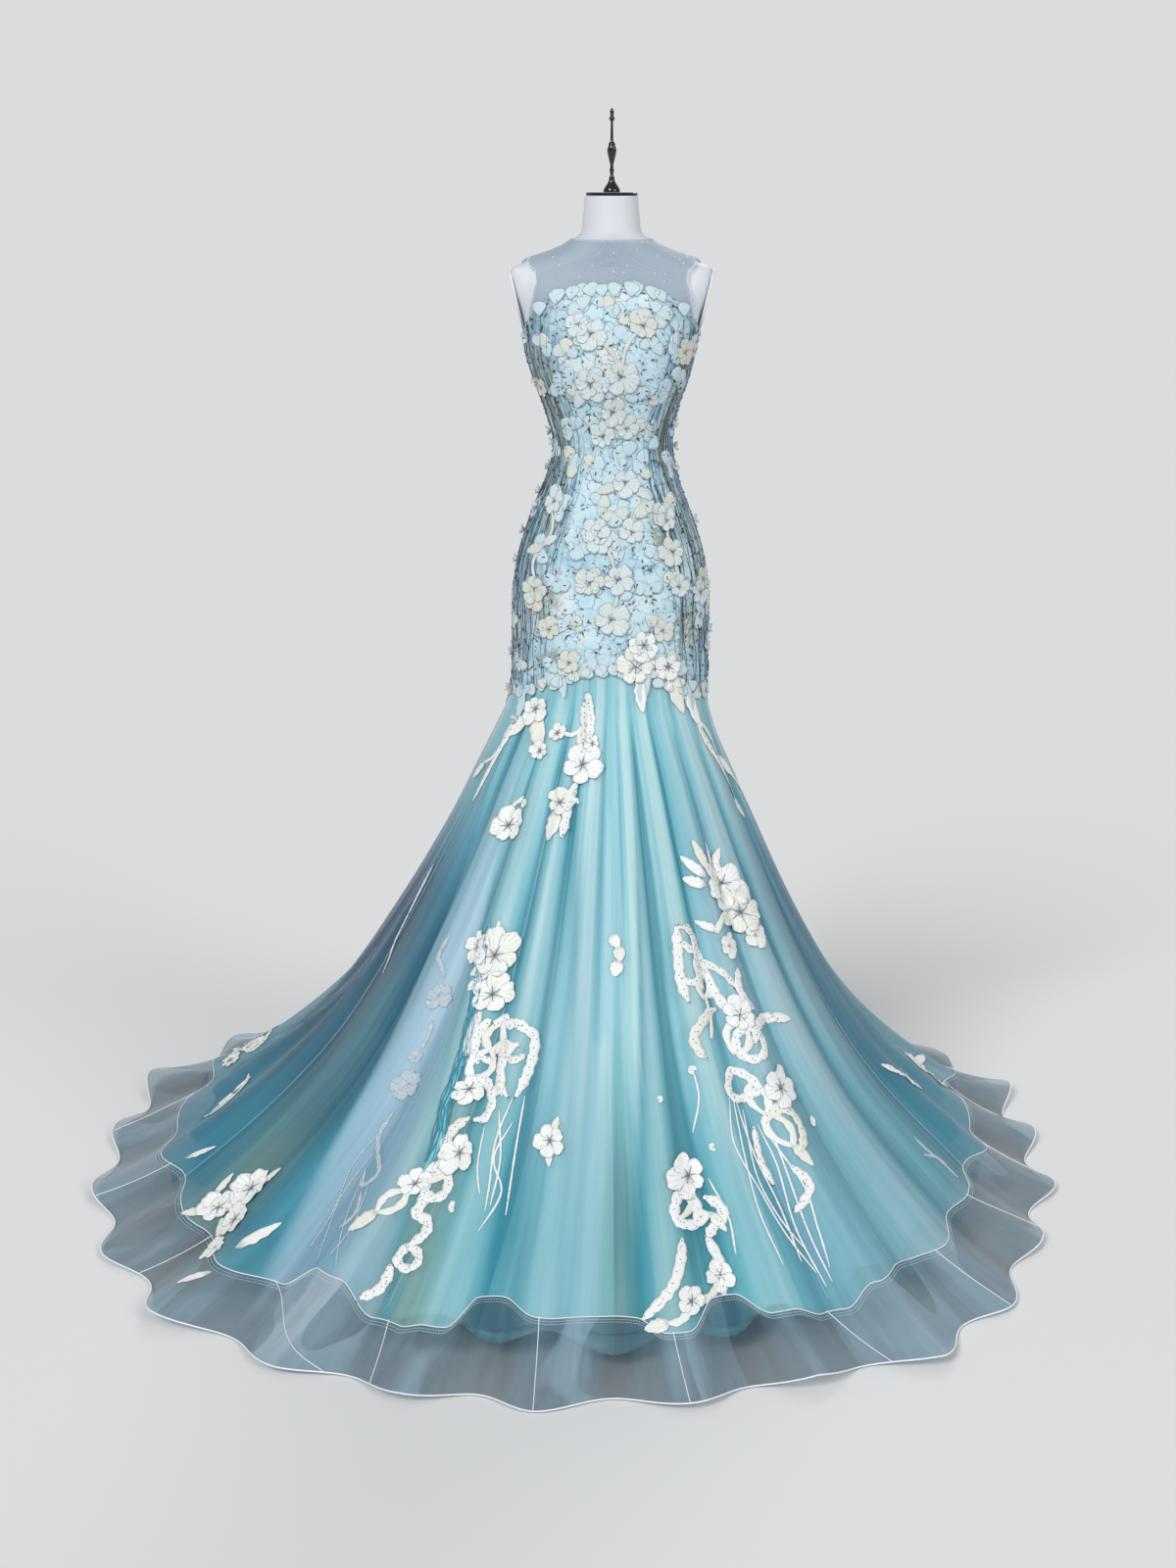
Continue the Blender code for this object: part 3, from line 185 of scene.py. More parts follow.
BASE = (
    (0, 0), (147.5, 0), (150, 2), (150, 5), (147, 9.5), (142, 11), (46, 14.6), (36, 17), (28, 22.5),
    (24, 26), (0, 26),
)
POLE = ((0, 0), (12.2, 0), (12.5, 0.3), (12.5, 773), (12.2, 773.4), (0, 773.4))
POLE_FOOT = 0.0263
# How far above the neck's top the cap and the finial start
CAP_GAP = 0.0003
FINIAL_GAP = 0.0056

# Small creases between the folds: angle, then upper end, lower end and depth in millimetres, and half width
# in degrees. A negative depth is a ridge.
CREASES = (
    (252.5, 860, 100, 6, 1.9), (257, 800, 360, -3, 1.6), (266, 840, 220, 3.4, 1.5),
    (270.5, 700, 120, -3, 1.8), (274.5, 860, 400, 3.2, 1.3), (283.5, 820, 80, 5.2, 1.9),
    (287, 660, 160, -2.8, 1.4), (297, 840, 260, 4.2, 1.7), (301.5, 600, 100, -3.4, 1.7),
    (312, 800, 120, 4.4, 2), (327, 780, 200, 3.6, 1.9), (343, 800, 140, 4, 2.1), (0, 740, 240, -3, 1.8),
    (15, 820, 120, 4.2, 2), (30, 800, 300, 3.6, 1.8), (45, 840, 100, 4.4, 2), (59, 700, 180, -3.2, 1.9),
    (74, 840, 140, 4.2, 1.8), (90, 820, 80, 5, 1.9), (105, 780, 300, -3, 1.7), (120, 840, 120, 4.4, 2),
    (136, 800, 220, 3.6, 1.8), (150, 820, 100, -3.2, 2.1), (165, 840, 180, 4.2, 1.9),
    (180, 760, 140, 3.8, 2), (196, 820, 260, -3, 1.8), (211, 840, 100, 4.6, 2), (227, 800, 140, 4.2, 1.9),
    (232, 580, 200, -2.8, 1.5), (242, 840, 160, 4.6, 1.8), (246.5, 720, 300, -2.6, 1.4),
)
# Puckers where the fitted lace pulls at the waist: angle, then height, depth and half height in millimetres
PUCKERS = (
    (243, 1232, 1.2, 8), (258, 1252, 1, 9), (282, 1226, 1.2, 8), (303, 1246, 1.3, 9), (322, 1228, 1.1, 8),
    (205, 1240, 1.3, 10), (224, 1222, 1.2, 8), (65, 1236, 1.2, 9), (110, 1228, 1.3, 9), (135, 1246, 1.1, 8),
    (40, 1226, 1.1, 9),
)
PUCKER_WIDTH = 14.0
# Seams between the skirt's gores, in degrees
GORE_SEAMS = (29.5, 90.0, 150.5, 195.5, 242.0, 298.0, 344.0)

# Lace sprays: degrees round, height, then the motifs round that place, in millimetres. A flower has x, y,
# size, turn and rise; a leaf x, y, length, turn and width as a share of its length; a vine x, y, its end's x
# and y, its bow as a share, and its width.
SPRAYS = {
    "bodice_spray_bust": (268, 1.354, (
        ("flower", -30, 61, 21, 15, 4), ("flower", 53, 72, 20, 40, 3), ("flower", 17, -3, 25, 0, 5),
        ("flower", -30, -14, 24, 30, 5), ("flower", 4, -58, 21, 10, 5), ("flower", -13, -96, 20, 50, 4),
        ("vine", -26, 54, 14, 4, 0.15, 6), ("vine", 50, 68, 20, 4, -0.15, 6),
        ("leaf", -36, -20, 40, 235, 0.5), ("vine", -22, -13, 10, -4, 0.1, 6),
        ("vine", 15, -10, 6, -50, 0.1, 6), ("vine", 1, -64, -10, -88, 0.1, 6),
    )),
    "bodice_spray_waist": (285, 1.187, (
        ("flower", 0, 0, 20, 20, 6), ("leaf", -12, -4, 36, 200, 0.45), ("leaf", 12, -6, 34, -40, 0.45),
        ("vine", 2, 14, -14, 44, 0.2, 5),
    )),
    "bodice_spray_side_left": (210, 1.084, (
        ("flower", 4, 72, 20, 0, 7), ("flower", -4, -68, 20, 30, 7), ("vine", 2, 58, 0, 0, 0.2, 6),
        ("vine", 0, 2, -4, -54, -0.2, 6), ("leaf", 0, 0, 34, 200, 0.5), ("leaf", 0, 4, 30, 30, 0.5),
    )),
    "bodice_spray_side_right": (325, 1.075, (
        ("flower", -6, 52, 18, 0, 6), ("flower", -4, 2, 21, 25, 7), ("flower", 0, -54, 16, 40, 5),
        ("flower", 40, -68, 19, 10, 8), ("vine", -4, -16, 0, -44, 0.1, 6),
        ("vine", 8, -54, 28, -64, 0.1, 6), ("vine", -5, 16, -6, 40, 0.1, 6),
    )),
    "bodice_spray_hip": (272, 1.035, (
        ("flower", 6, 2, 21, 10, 5), ("flower", -36, -2, 20, 35, 4), ("flower", -4, -60, 25, 0, 6),
        ("flower", -22, 66, 22, 20, 4), ("vine", -20, 60, 2, 8, 0.1, 6), ("vine", 4, -6, -4, -52, 0.1, 6),
        ("vine", -30, -2, 0, 1, 0.1, 8),
    )),
    "bodice_spray_back_top": (124, 1.3, (
        ("flower", 10, 60, 22, 0, 5), ("flower", 0, 0, 24, 20, 6), ("flower", 14, -62, 20, 50, 4),
        ("vine", 9, 54, 1, 8, 0.1, 6), ("vine", 2, -8, 13, -56, 0.1, 6), ("leaf", -8, 5, 38, 140, 0.5),
    )),
    "bodice_spray_back_hip": (62, 1.03, (
        ("flower", -10, 62, 20, 0, 5), ("flower", 0, 0, 25, 20, 6), ("flower", -6, -62, 21, 50, 5),
        ("flower", 44, 12, 18, 10, 5), ("vine", -9, 54, -1, 8, 0.1, 6), ("vine", -1, -8, -5, -54, 0.1, 6),
        ("vine", 12, 2, 40, 11, 0.1, 6),
    )),
    "lace_edge_right": (300, 0.905, (
        ("flower", -8, 30, 22, 0, 5), ("flower", -22, -4, 26, 20, 6), ("flower", 30, -8, 19, 35, 5),
        ("leaf", -18, -20, 58, -88, 0.34), ("leaf", 32, -12, 76, -78, 0.34),
        ("vine", -12, 0, 24, -6, 0.1, 8),
    )),
    "lace_edge_side_right": (334, 0.815, (
        ("leaf", -16, 50, 80, -80, 0.3), ("vine", -6, -10, 22, -74, 0.12, 7),
        ("leaf", 20, -70, 60, -66, 0.22), ("vine", 42, -120, 62, -170, 0.05, 4),
    )),
    "lace_edge_left": (218, 0.812, (
        ("flower", -4, 18, 22, 0, 6), ("leaf", 0, 10, 66, -62, 0.4), ("leaf", -12, 8, 62, 236, 0.42),
        ("vine", -40, -38, -64, -92, 0.12, 6), ("leaf", -62, -88, 44, 245, 0.34),
        ("flower", 30, -50, 13, 30, 5),
    )),
    "lace_centre_left": (254.4, 0.754, (
        ("flower", 0, 0, 29, 20, 5), ("flower", -25, -62, 18, 0, 4), ("leaf", -27, -72, 56, -98, 0.4),
        ("vine", -6, -22, -20, -50, 0.12, 7), ("vine", 6, 22, -14, 62, 0.2, 7),
        ("vine", -12, 60, -50, 50, 0.2, 6), ("flower", -58, 48, 13, 10, 4), ("flower", 14, 34, 12, 40, 3),
    )),
    "lace_left_bud": (224.6, 0.655, (
        ("flower", 0, 0, 23, 10, 6), ("vine", 0, 14, 3, 42, 0.15, 5), ("leaf", 2, 36, 18, 50, 0.5),
    )),
    "lace_front_petals": (271.5, 0.485, (
        ("leaf", -9, 36, 26, -60, 0.75), ("leaf", 3, 18, 26, -85, 0.75), ("leaf", 3, -4, 28, -105, 0.75),
    )),
    "lace_left_flowers": (236.5, 0.462, (
        ("flower", -46, 22, 21, 0, 5), ("flower", -2, 16, 29, 20, 5), ("flower", 12, -46, 24, 45, 5),
        ("vine", -2, 26, -12, 72, 0.1, 6), ("vine", -42, 21, -12, 18, 0.1, 8),
        ("leaf", -5, 0, 40, 215, 0.4), ("vine", 0, 4, 10, -36, 0.1, 8),
    )),
    "lace_left_loops": (242.5, 0.345, (
        ("vine", 0, 50, -6, 4, 0.34, 8), ("vine", 0, 50, -6, 4, -0.34, 8),
        ("vine", -6, 6, -16, -44, 0.34, 8), ("vine", -6, 6, -16, -44, -0.34, 8),
        ("vine", 2, 48, 44, 26, -0.3, 8), ("vine", 42, 28, 34, -36, -0.22, 8),
        ("leaf", 36, -30, 40, -115, 0.4), ("flower", -18, -58, 17, 10, 4),
    )),
    "lace_left_trail": (241, 0.205, (
        ("flower", 16, 26, 24, 0, 5), ("vine", 8, 8, -24, -22, 0.3, 8), ("vine", 10, 6, -24, -22, -0.3, 8),
        ("flower", -30, -30, 17, 20, 4), ("vine", -36, -42, -62, -80, 0.3, 8),
        ("vine", -36, -42, -62, -80, -0.3, 8), ("leaf", -60, -76, 52, 238, 0.4),
    )),
    "lace_front_flower": (258.6, 0.25, (
        ("flower", 0, 0, 20, 10, 5), ("leaf", 2, 12, 30, 75, 0.45), ("leaf", 0, -12, 28, -80, 0.45),
    )),
    "lace_right_flowers": (312, 0.545, (
        ("flower", 6, 24, 26, 0, 5), ("flower", 20, -26, 27, 30, 6), ("leaf", -6, 34, 40, 125, 0.5),
        ("leaf", 2, 40, 34, 80, 0.45), ("vine", 12, -30, -40, -44, -0.25, 8),
        ("leaf", -36, -40, 34, 150, 0.4), ("vine", 9, 12, 18, -16, 0.1, 8),
    )),
    "lace_right_loops": (301, 0.395, (
        ("vine", -34, 74, -46, 28, 0.34, 8), ("vine", -34, 74, -46, 28, -0.34, 8),
        ("vine", -46, 30, 6, 2, 0.2, 8), ("flower", 14, -4, 21, 0, 5), ("vine", 11, -12, -12, -66, 0.3, 8),
        ("vine", 11, -12, -12, -66, -0.3, 8), ("vine", -44, 32, -54, -34, 0.1, 6),
    )),
    "lace_right_trail": (303, 0.265, (
        ("flower", 26, 34, 26, 10, 6), ("vine", 21, 27, -14, -4, 0.2, 8),
        ("vine", -16, 52, -16, -4, -0.3, 8), ("vine", -16, 52, -16, -4, 0.2, 8),
        ("vine", -14, -2, 2, -56, 0.3, 8), ("vine", -14, -2, 2, -56, -0.3, 8),
        ("leaf", 2, -50, 44, -70, 0.4),
    )),
    "lace_hem_right_flower": (283.1, 0.195, (
        ("flower", 0, 14, 26, 0, 6), ("vine", -4, 4, -30, -44, 0.3, 8), ("vine", 3, 4, 22, -50, -0.3, 8),
        ("vine", -30, -42, 20, -50, -0.25, 8), ("leaf", 21, -44, 36, -60, 0.45),
    )),
    "lace_hem_right_trail": (281, 0.095, (
        ("flower", 44, 8, 19, 0, 4), ("vine", 40, 5, -12, -17, 0.25, 8), ("flower", -14, -18, 17, 20, 4),
        ("vine", -18, -21, -54, -46, 0.2, 8), ("leaf", -50, -44, 42, 200, 0.5),
    )),
    "lace_hem_left": (211, 0.095, (
        ("flower", -6, 26, 27, 0, 5), ("leaf", 8, 44, 40, 75, 0.4), ("flower", 28, -22, 22, 30, 5),
        ("flower", -28, -26, 22, 10, 5), ("vine", -14, 6, -26, -12, 0.1, 8),
        ("vine", 4, 6, 22, -8, -0.1, 8), ("leaf", -36, -36, 44, 215, 0.4),
    )),
    "lace_back_centre": (97, 0.7, (
        ("flower", 0, 0, 28, 20, 5), ("flower", 22, -56, 18, 0, 4), ("leaf", 24, -66, 52, -80, 0.4),
        ("vine", 8, -20, 18, -46, -0.12, 7), ("leaf", -4, 20, 44, 110, 0.42),
    )),
    "lace_back_left": (134, 0.43, (
        ("flower", -22, 40, 26, 0, 5), ("flower", 16, 0, 24, 30, 6), ("vine", -16, 34, 10, 6, 0.1, 8),
        ("vine", 15, -10, -2, -64, 0.3, 8), ("vine", 15, -10, -2, -64, -0.3, 8),
        ("leaf", -2, -60, 50, -105, 0.4), ("leaf", 24, 4, 40, 20, 0.45),
    )),
    "lace_back_right": (52, 0.38, (
        ("flower", 20, 44, 25, 0, 5), ("flower", -16, 4, 25, 30, 6), ("vine", 8, 30, -4, 18, 0.1, 8),
        ("vine", -14, -14, 2, -62, 0.3, 8), ("vine", -14, -14, 2, -62, -0.3, 8),
        ("leaf", 2, -58, 48, -75, 0.4), ("leaf", -32, 10, 36, 160, 0.45),
    )),
    "lace_hem_back_left": (158, 0.1, (
        ("flower", 0, 10, 26, 0, 5), ("flower", 42, -14, 18, 20, 4), ("vine", 10, 5, 38, -12, 0.1, 8),
        ("leaf", -14, 5, 54, 200, 0.4), ("leaf", 2, 20, 42, 70, 0.4),
    )),
    "lace_hem_side_right": (14, 0.12, (
        ("flower", 0, 8, 25, 0, 5), ("flower", -42, -14, 18, 20, 4), ("vine", -10, 3, -38, -12, 0.1, 8),
        ("leaf", 14, 4, 52, -20, 0.4), ("leaf", -1, 20, 40, 110, 0.4),
    )),
}

# Gold-grey patches in the bodice lace: degrees round, height, half width in degrees, half height
PATCHES = (
    (206, 1.33, 16, 0.06), (200, 1.225, 15, 0.036), (216, 1.14, 13, 0.034), (212, 1.005, 14, 0.036),
    (228, 0.905, 16, 0.018), (338, 1.355, 12, 0.034), (330, 1.24, 10, 0.04), (318, 1.11, 12, 0.04),
    (332, 0.96, 14, 0.04), (322, 0.875, 10, 0.03), (20, 1.29, 14, 0.05), (32, 1.1, 14, 0.04),
    (60, 0.96, 14, 0.036), (158, 1.3, 14, 0.05), (148, 1.06, 14, 0.044), (118, 0.92, 12, 0.03),
)

GORE_NAMES = (
    "back_right", "back_left", "side_left", "side_front_left", "front", "side_front_right", "side_right",
)
DYES = ("trough", "middle", "light", "pale")
# The dye round the skirt: degrees, then lilac-grey veil, deep teal and cream in hundredths
DYE_COLUMNS = ("angle", "veil", "deep", "cream")
DYE = (
    (8, 5, 90, 10), (24, 30, 60, 20), (40, 65, 30, 15), (56, 35, 45, 10), (72, 15, 25, 25), (88, 5, 50, 5),
    (104, 35, 15, 10), (120, 60, 25, 15), (136, 75, 20, 20), (150, 30, 60, 25), (164, 10, 85, 10),
    (180, 0, 100, 0), (194, 0, 100, 0), (199, 0, 92, 5), (204, 0, 90, 40), (208, 0, 88, 80),
    (213, 5, 92, 55), (218, 5, 95, 5), (222.5, 10, 95, 0), (224.5, 92, 12, 0), (231, 100, 0, 5),
    (236, 95, 5, 20), (238.5, 80, 10, 40), (240.5, 10, 45, 30), (243.5, 5, 30, 85), (246.5, 5, 15, 35),
    (249, 10, 5, 10), (254, 5, 35, 0), (259, 30, 10, 10), (261.5, 10, 20, 0), (263, 5, 60, 0),
    (264.5, 20, 15, 0), (267, 40, 0, 10), (270, 5, 0, 50), (272.5, 0, 5, 60), (273.6, 0, 85, 0),
    (275, 0, 45, 0), (277, 15, 5, 30), (281, 15, 5, 20), (284, 10, 20, 0), (288, 5, 5, 0), (292, 5, 20, 0),
    (294.5, 25, 20, 0), (300, 48, 10, 5), (308, 45, 5, 15), (316, 40, 10, 25), (321, 50, 10, 10),
    (325, 30, 20, 15), (332, 30, 40, 20), (340, 20, 80, 5), (352, 5, 100, 0),
)
# The dye runs down the skirt aslant: degrees, and its degrees for each metre of height
DYE_SLANT = ((190, 0), (205, 26), (240, 34), (262, 6), (276, -12), (300, -8), (320, 0))

# The stitched top of the hem band steps up and down from panel to panel: degrees, height in millimetres
BAND_STEPS = (
    (12, 76), (26, 56), (41, 70), (57, 52), (72, 78), (88, 60), (104, 72), (119, 54), (135, 80), (150, 60),
    (166, 70), (182, 56), (198, 66), (212, 56), (226, 52), (232.5, 80), (243.5, 48), (249.5, 56), (254, 84),
    (262, 72), (271.5, 68), (277.5, 56), (284.5, 80), (291, 60), (297.5, 48), (306, 72), (316.5, 64),
    (330.5, 68), (343, 72), (358, 60),
)
# Seams across the band: degrees at its top and at the hem
BAND_SEAMS = (
    (212, 209), (226, 239.5), (243, 245), (261, 262), (277, 277.5), (297, 300.5), (317.5, 319.5),
    (334.5, 339.5), (356, 355), (17, 14), (38, 42), (61, 60), (84, 88), (101, 99), (123, 127), (146, 144),
    (169, 173), (191, 190),
)

# Lace ribbons sewn flat on the skirt: width in millimetres, then degrees and millimetres up by turns through
# the places it passes. A loop ends where it starts.
RIBBONS = (
    (16, 290.5, 524, 289.5, 484, 289, 448, 290, 420),
    (14, 291, 522, 294, 518, 296, 500, 295.5, 480, 294.5, 464, 295, 430),
    (14, 294.5, 520, 296, 490, 297.5, 455, 299, 420, 300, 395),
    (16, 298, 400, 294.5, 398, 291.5, 386, 289.5, 372, 290.5, 350, 291.5, 344),
    (14, 303.5, 375, 306.5, 360, 306, 340, 303, 332, 300.5, 340, 300.5, 362, 303.5, 375),
    (14, 297, 318, 300, 312, 301.5, 296, 299, 284, 296, 286, 295, 300, 297, 318),
    (17, 304, 352, 307, 372, 311.5, 372, 315, 365),
    (16, 300.5, 252, 303, 268, 306, 260, 306.5, 236, 304, 214),
    (14, 301.5, 200, 303, 180, 301, 160, 299, 148), (11, 298, 248, 297, 212, 297.5, 180),
    (14, 307, 452, 305, 430, 306, 408, 308, 392),
    (16, 240.5, 384, 243, 392, 245, 388, 247, 392, 249, 388, 251.5, 376, 252, 352, 251.5, 324, 250.5, 300),
    (16, 239.5, 390, 238, 370, 238.5, 345, 240, 330), (14, 245, 368, 245.5, 336, 247, 310, 249, 300),
    (14, 237, 400, 236.5, 370, 237, 340),
    (16, 239, 300, 241, 310, 244, 306, 246, 290, 245.5, 270, 243, 262),
    (16, 242, 264, 240, 250, 239.6, 230, 240.5, 205, 239.5, 192),
    (16, 239.5, 200, 242, 196, 243, 180, 241.5, 170, 239.5, 178, 239.5, 200),
    (17, 239, 184, 240, 168, 240, 152, 242, 146, 242.5, 134, 241, 120),
    (14, 241, 118, 243, 114, 243.3, 104, 242, 98, 240.5, 105, 241, 118),
    (16, 240, 100, 240.3, 88, 240, 74, 238.5, 64), (12, 236, 450, 233.5, 440, 232, 424),
    (16, 281, 190, 279.5, 172, 280.5, 158, 283, 155, 283.4, 176, 281, 190),
    (16, 285, 180, 287, 172, 287.3, 158, 285.5, 148, 284, 136),
    (16, 280, 145, 279.5, 128, 278, 104, 275.5, 82, 273.5, 66), (16, 284, 140, 285, 112, 284.5, 80),
    (13, 291, 502, 294, 488, 297, 492), (12, 289.5, 450, 293, 444, 297, 452),
    (11, 296.5, 470, 299, 462, 302, 450, 304, 430), (12, 246, 352, 248, 345, 250.5, 352),
    (11, 239, 345, 241.5, 335, 244, 340), (11, 177, 150, 180, 140, 183, 120, 182, 95),
    (9, 349, 215, 351.5, 196, 353, 186), (5, 201, 400, 196, 436, 193.5, 500, 192.5, 560),
    (14, 252, 860, 254, 840, 256, 820, 256.5, 790), (12, 250, 845, 251, 820, 252.5, 800, 252, 775),
    (14, 252, 720, 250.5, 700, 250, 670, 249.5, 650),
    (12, 331, 800, 334, 770, 338.5, 730, 342, 680, 345, 640),
    (11, 206, 800, 203, 760, 201.5, 712, 200, 672),
    (16, 136, 390, 139, 380, 139.5, 360, 137, 350, 134, 362, 136, 390),
    (16, 133, 350, 131, 330, 131.5, 300, 134, 285, 135, 262),
    (14, 130, 440, 127, 420, 126.5, 390, 128.5, 365), (16, 137, 330, 140, 310, 141, 280, 139, 256),
    (16, 54, 345, 57, 335, 57.5, 312, 55, 302, 52, 316, 54, 345),
    (16, 51, 300, 49, 282, 49.5, 250, 52, 236, 53, 210), (14, 47, 400, 44, 382, 43.5, 350, 46, 326),
    (16, 90, 650, 92.5, 630, 92, 600, 94, 575, 96, 560), (14, 158, 150, 161, 144, 162, 126, 160, 112),
    (14, 12, 170, 9, 160, 8.5, 140, 10.5, 126),
)
# Loose threads of the lace that trail down the skirt: degrees and millimetres up by turns
STREAMERS = (
    (295.5, 288, 294, 228, 293, 164, 293.5, 104), (296, 280, 296, 220, 297, 160, 296.5, 100),
    (299, 250, 299.5, 200, 298, 130, 298.5, 70), (301, 250, 300.5, 190, 299.5, 120, 299.5, 75),
    (294.5, 290, 292.5, 240, 294.5, 180, 296, 130, 298, 86), (297, 270, 295, 200, 296, 150, 298, 110),
    (300, 240, 302, 180, 301, 130, 300, 90), (288, 330, 288, 296, 285.5, 252),
    (250, 300, 249, 250, 250, 200, 250.5, 170), (248, 284, 250.5, 230, 251, 176),
    (252, 300, 252.5, 240, 253.5, 164), (246, 260, 247, 220, 249, 188),
    (251, 270, 249.5, 230, 252, 190, 250.5, 150), (286.5, 200, 288, 160, 287.5, 120),
    (135, 280, 136, 230, 134.5, 180, 135.5, 130), (137, 280, 138.5, 230, 137.5, 170, 139, 120),
    (139, 260, 140.5, 200, 140, 150), (51, 230, 50, 180, 51.5, 130, 50.5, 90),
    (53, 230, 54.5, 180, 53.5, 120, 55, 80), (55, 240, 56.5, 190, 56, 140), (96, 600, 97, 560, 96.5, 520),
)
# Faint sprays seen through the veil: ribbons and threads as above, and flowers of degrees, height and size
VEIL_RIBBONS = (
    (8, 223, 430, 221, 446, 219, 460, 219.5, 490), (7, 224.5, 370, 225, 350, 225, 330),
    (8, 226, 250, 226, 220, 228, 200, 230.5, 185, 229, 165, 227.5, 180),
    (7, 229.5, 160, 231, 140, 230, 120), (2, 228, 170, 230, 130, 233.5, 90),
    (2, 227, 200, 226.5, 150, 228.5, 110, 230, 86), (2, 230, 170, 232, 130, 231.5, 96),
    (2, 226, 230, 225, 180, 227, 130, 227.5, 92), (7, 335, 150, 335.5, 128, 337, 104),
    (6, 333.5, 130, 336, 116, 336.5, 86), (7, 120, 260, 122, 236, 121, 204, 123, 180),
    (2, 122, 190, 121, 150, 123, 110), (7, 68, 240, 66, 214, 67.5, 186, 66, 160),
)
VEIL_FLOWERS = (
    (223.5, 0.405, 24), (226, 0.285, 27), (224.6, 0.318, 12), (118, 0.3, 25), (69, 0.28, 24),
)
# A strip of teal threads beside the left spray
TEAL_STRIP = (
    (231, 0.52), (233, 0.468), (235, 0.4), (236.5, 0.336), (237, 0.276), (238.5, 0.228), (238, 0.192),
)

# Leaves and flowers that fill the skirt's sprays out: degrees, height, then length, turn and width as above,
# or size and tone
SPRAY_LEAVES = (
    (307.5, 0.59, 60, 108, 0.3), (309.5, 0.588, 50, 82, 0.26), (305.5, 0.584, 52, 132, 0.34),
    (311.5, 0.588, 42, 58, 0.3), (304.5, 0.574, 38, 160, 0.5), (313.5, 0.372, 36, -18, 0.5),
    (208.5, 0.09, 72, 84, 0.28), (206.5, 0.088, 50, 102, 0.3), (219, 0.072, 76, 62, 0.3),
    (219.5, 0.046, 62, 232, 0.24), (214, 0.062, 52, 158, 0.42), (192, 0.076, 64, 58, 0.22),
    (181, 0.1, 60, 70, 0.3), (179.5, 0.126, 46, 108, 0.3), (131, 0.445, 54, 100, 0.3),
    (134, 0.447, 46, 74, 0.28), (49, 0.41, 52, 104, 0.3), (156, 0.12, 60, 80, 0.28),
    (357, 0.16, 42, -50, 0.4), (351, 0.2, 40, 130, 0.35),
)
SPRAY_FLOWERS = (
    (318.5, 0.486, 24, 0.3), (306.5, 0.484, 22, 0.2), (303.8, 0.4, 20, 0.5), (215.5, 0.058, 26, 0.2),
    (209, 0.082, 24, 0.4), (181, 0.118, 22, 0.3), (244.5, 0.352, 15, 0.9), (160, 0.13, 24, 0.3),
    (11.5, 0.14, 22, 0.3), (92, 0.63, 20, 0.2), (354.5, 0.178, 22, 0.2),
)

# Loose round petals on the skirt: degrees, height, size in millimetres
LOOSE_PETALS = (
    (245.5, 0.168, 11), (311.5, 0.232, 9), (288.5, 0.236, 7), (253.5, 0.7, 7), (229, 0.69, 8),
    (288, 0.33, 8), (279.5, 0.3, 6), (128, 0.24, 9), (60, 0.2, 9), (101, 0.52, 9),
)
# Flat flowers sewn between the sprays on the bodice: degrees, height, size, tone from blue-white to cream
BODICE_FLOWERS = (
    (239, 1.428, 17, 0.1), (334.5, 1.384, 19, 0.9), (250.5, 1.336, 17, 0.3), (322, 1.136, 18, 0.8),
    (256.5, 1.112, 20, 0.1), (249.5, 1.03, 18, 0.2), (294.5, 0.92, 20, 0.2), (346.5, 1.028, 17, 0.9),
    (208.5, 1.004, 18, 1), (221, 0.955, 17, 0.7), (286, 1.27, 17, 0.2), (290, 1.11, 19, 0.2),
    (237, 0.905, 17, 0.6), (311, 0.955, 17, 0.5), (200, 1.33, 15, 0.9), (150, 1.24, 18, 0.4),
    (110, 1.12, 20, 0.2), (75, 1.17, 19, 0.2), (40, 1.24, 17, 0.7), (98, 0.975, 20, 0.1),
    (140, 0.96, 18, 0.8), (30, 0.95, 17, 0.6), (65, 1.34, 18, 0.2), (160, 1.08, 17, 0.9),
    (20, 1.09, 17, 0.9), (125, 1.02, 18, 0.3), (84, 0.9, 16, 0.2),
)
# Small petals that stand out at the bodice's sides: degrees, height
STANDING_PETALS = (
    (194.5, 1.404), (195.5, 1.34), (182, 1.26), (190.5, 1.244), (184, 1.164), (192, 1.144), (180, 1.1),
    (184.5, 1.056), (180.5, 0.844), (204.5, 0.806), (344, 1.276), (358, 1.236), (345.5, 1.204),
    (348.5, 1.02), (351.5, 0.948), (347, 0.92), (356, 1.12), (20, 1.3), (15, 1.1), (160, 1.35), (168, 1.2),
    (165, 1), (12, 0.95), (172, 0.9), (25, 0.87),
)

# Wavy threads down the bodice's sides: colour, how many, how far they spread in degrees, and how many run
# along the top edge
THREADS = (
    ("navy_thread", (0.014, 0.035, 0.075), 130, 35, 0), ("steel_thread", (0.09, 0.29, 0.46), 130, 42, 1),
    ("olive_thread", (0.22, 0.22, 0.12), 60, 28, 0), ("ice_thread", (0.55, 0.74, 0.84), 120, 46, 5),
)
# Petal finishes: pale shade, warm shade, shade of the lines and their strength, width of the rim, dark middle
PETALS = {
    "petal_ice": ((0.58, 0.76, 0.84), (0.72, 0.75, 0.64), (0.07, 0.12, 0.18), 0.55, 0.046, 0.12),
    "petal_ivory": ((0.69, 0.79, 0.83), (0.72, 0.70, 0.54), (0.10, 0.15, 0.20), 0.55, 0.042, 0.18),
    "petal_white": ((0.95, 0.96, 0.95), (0.86, 0.85, 0.70), (0.20, 0.25, 0.30), 0.55, 0.035, 0.45),
}
# The two pieces of the yoke: degrees of the middle, armhole edge, flat width, height and area, nodes
YOKES = {
    "yoke_front_net": (270, FRONT_ARMHOLE, (0.32, 0.10), 0.023, ("yoke_front",)),
    "yoke_back_net": (90, BACK_ARMHOLE, (0.36, 0.15), 0.042, ("yoke_back_left", "yoke_back_right")),
}
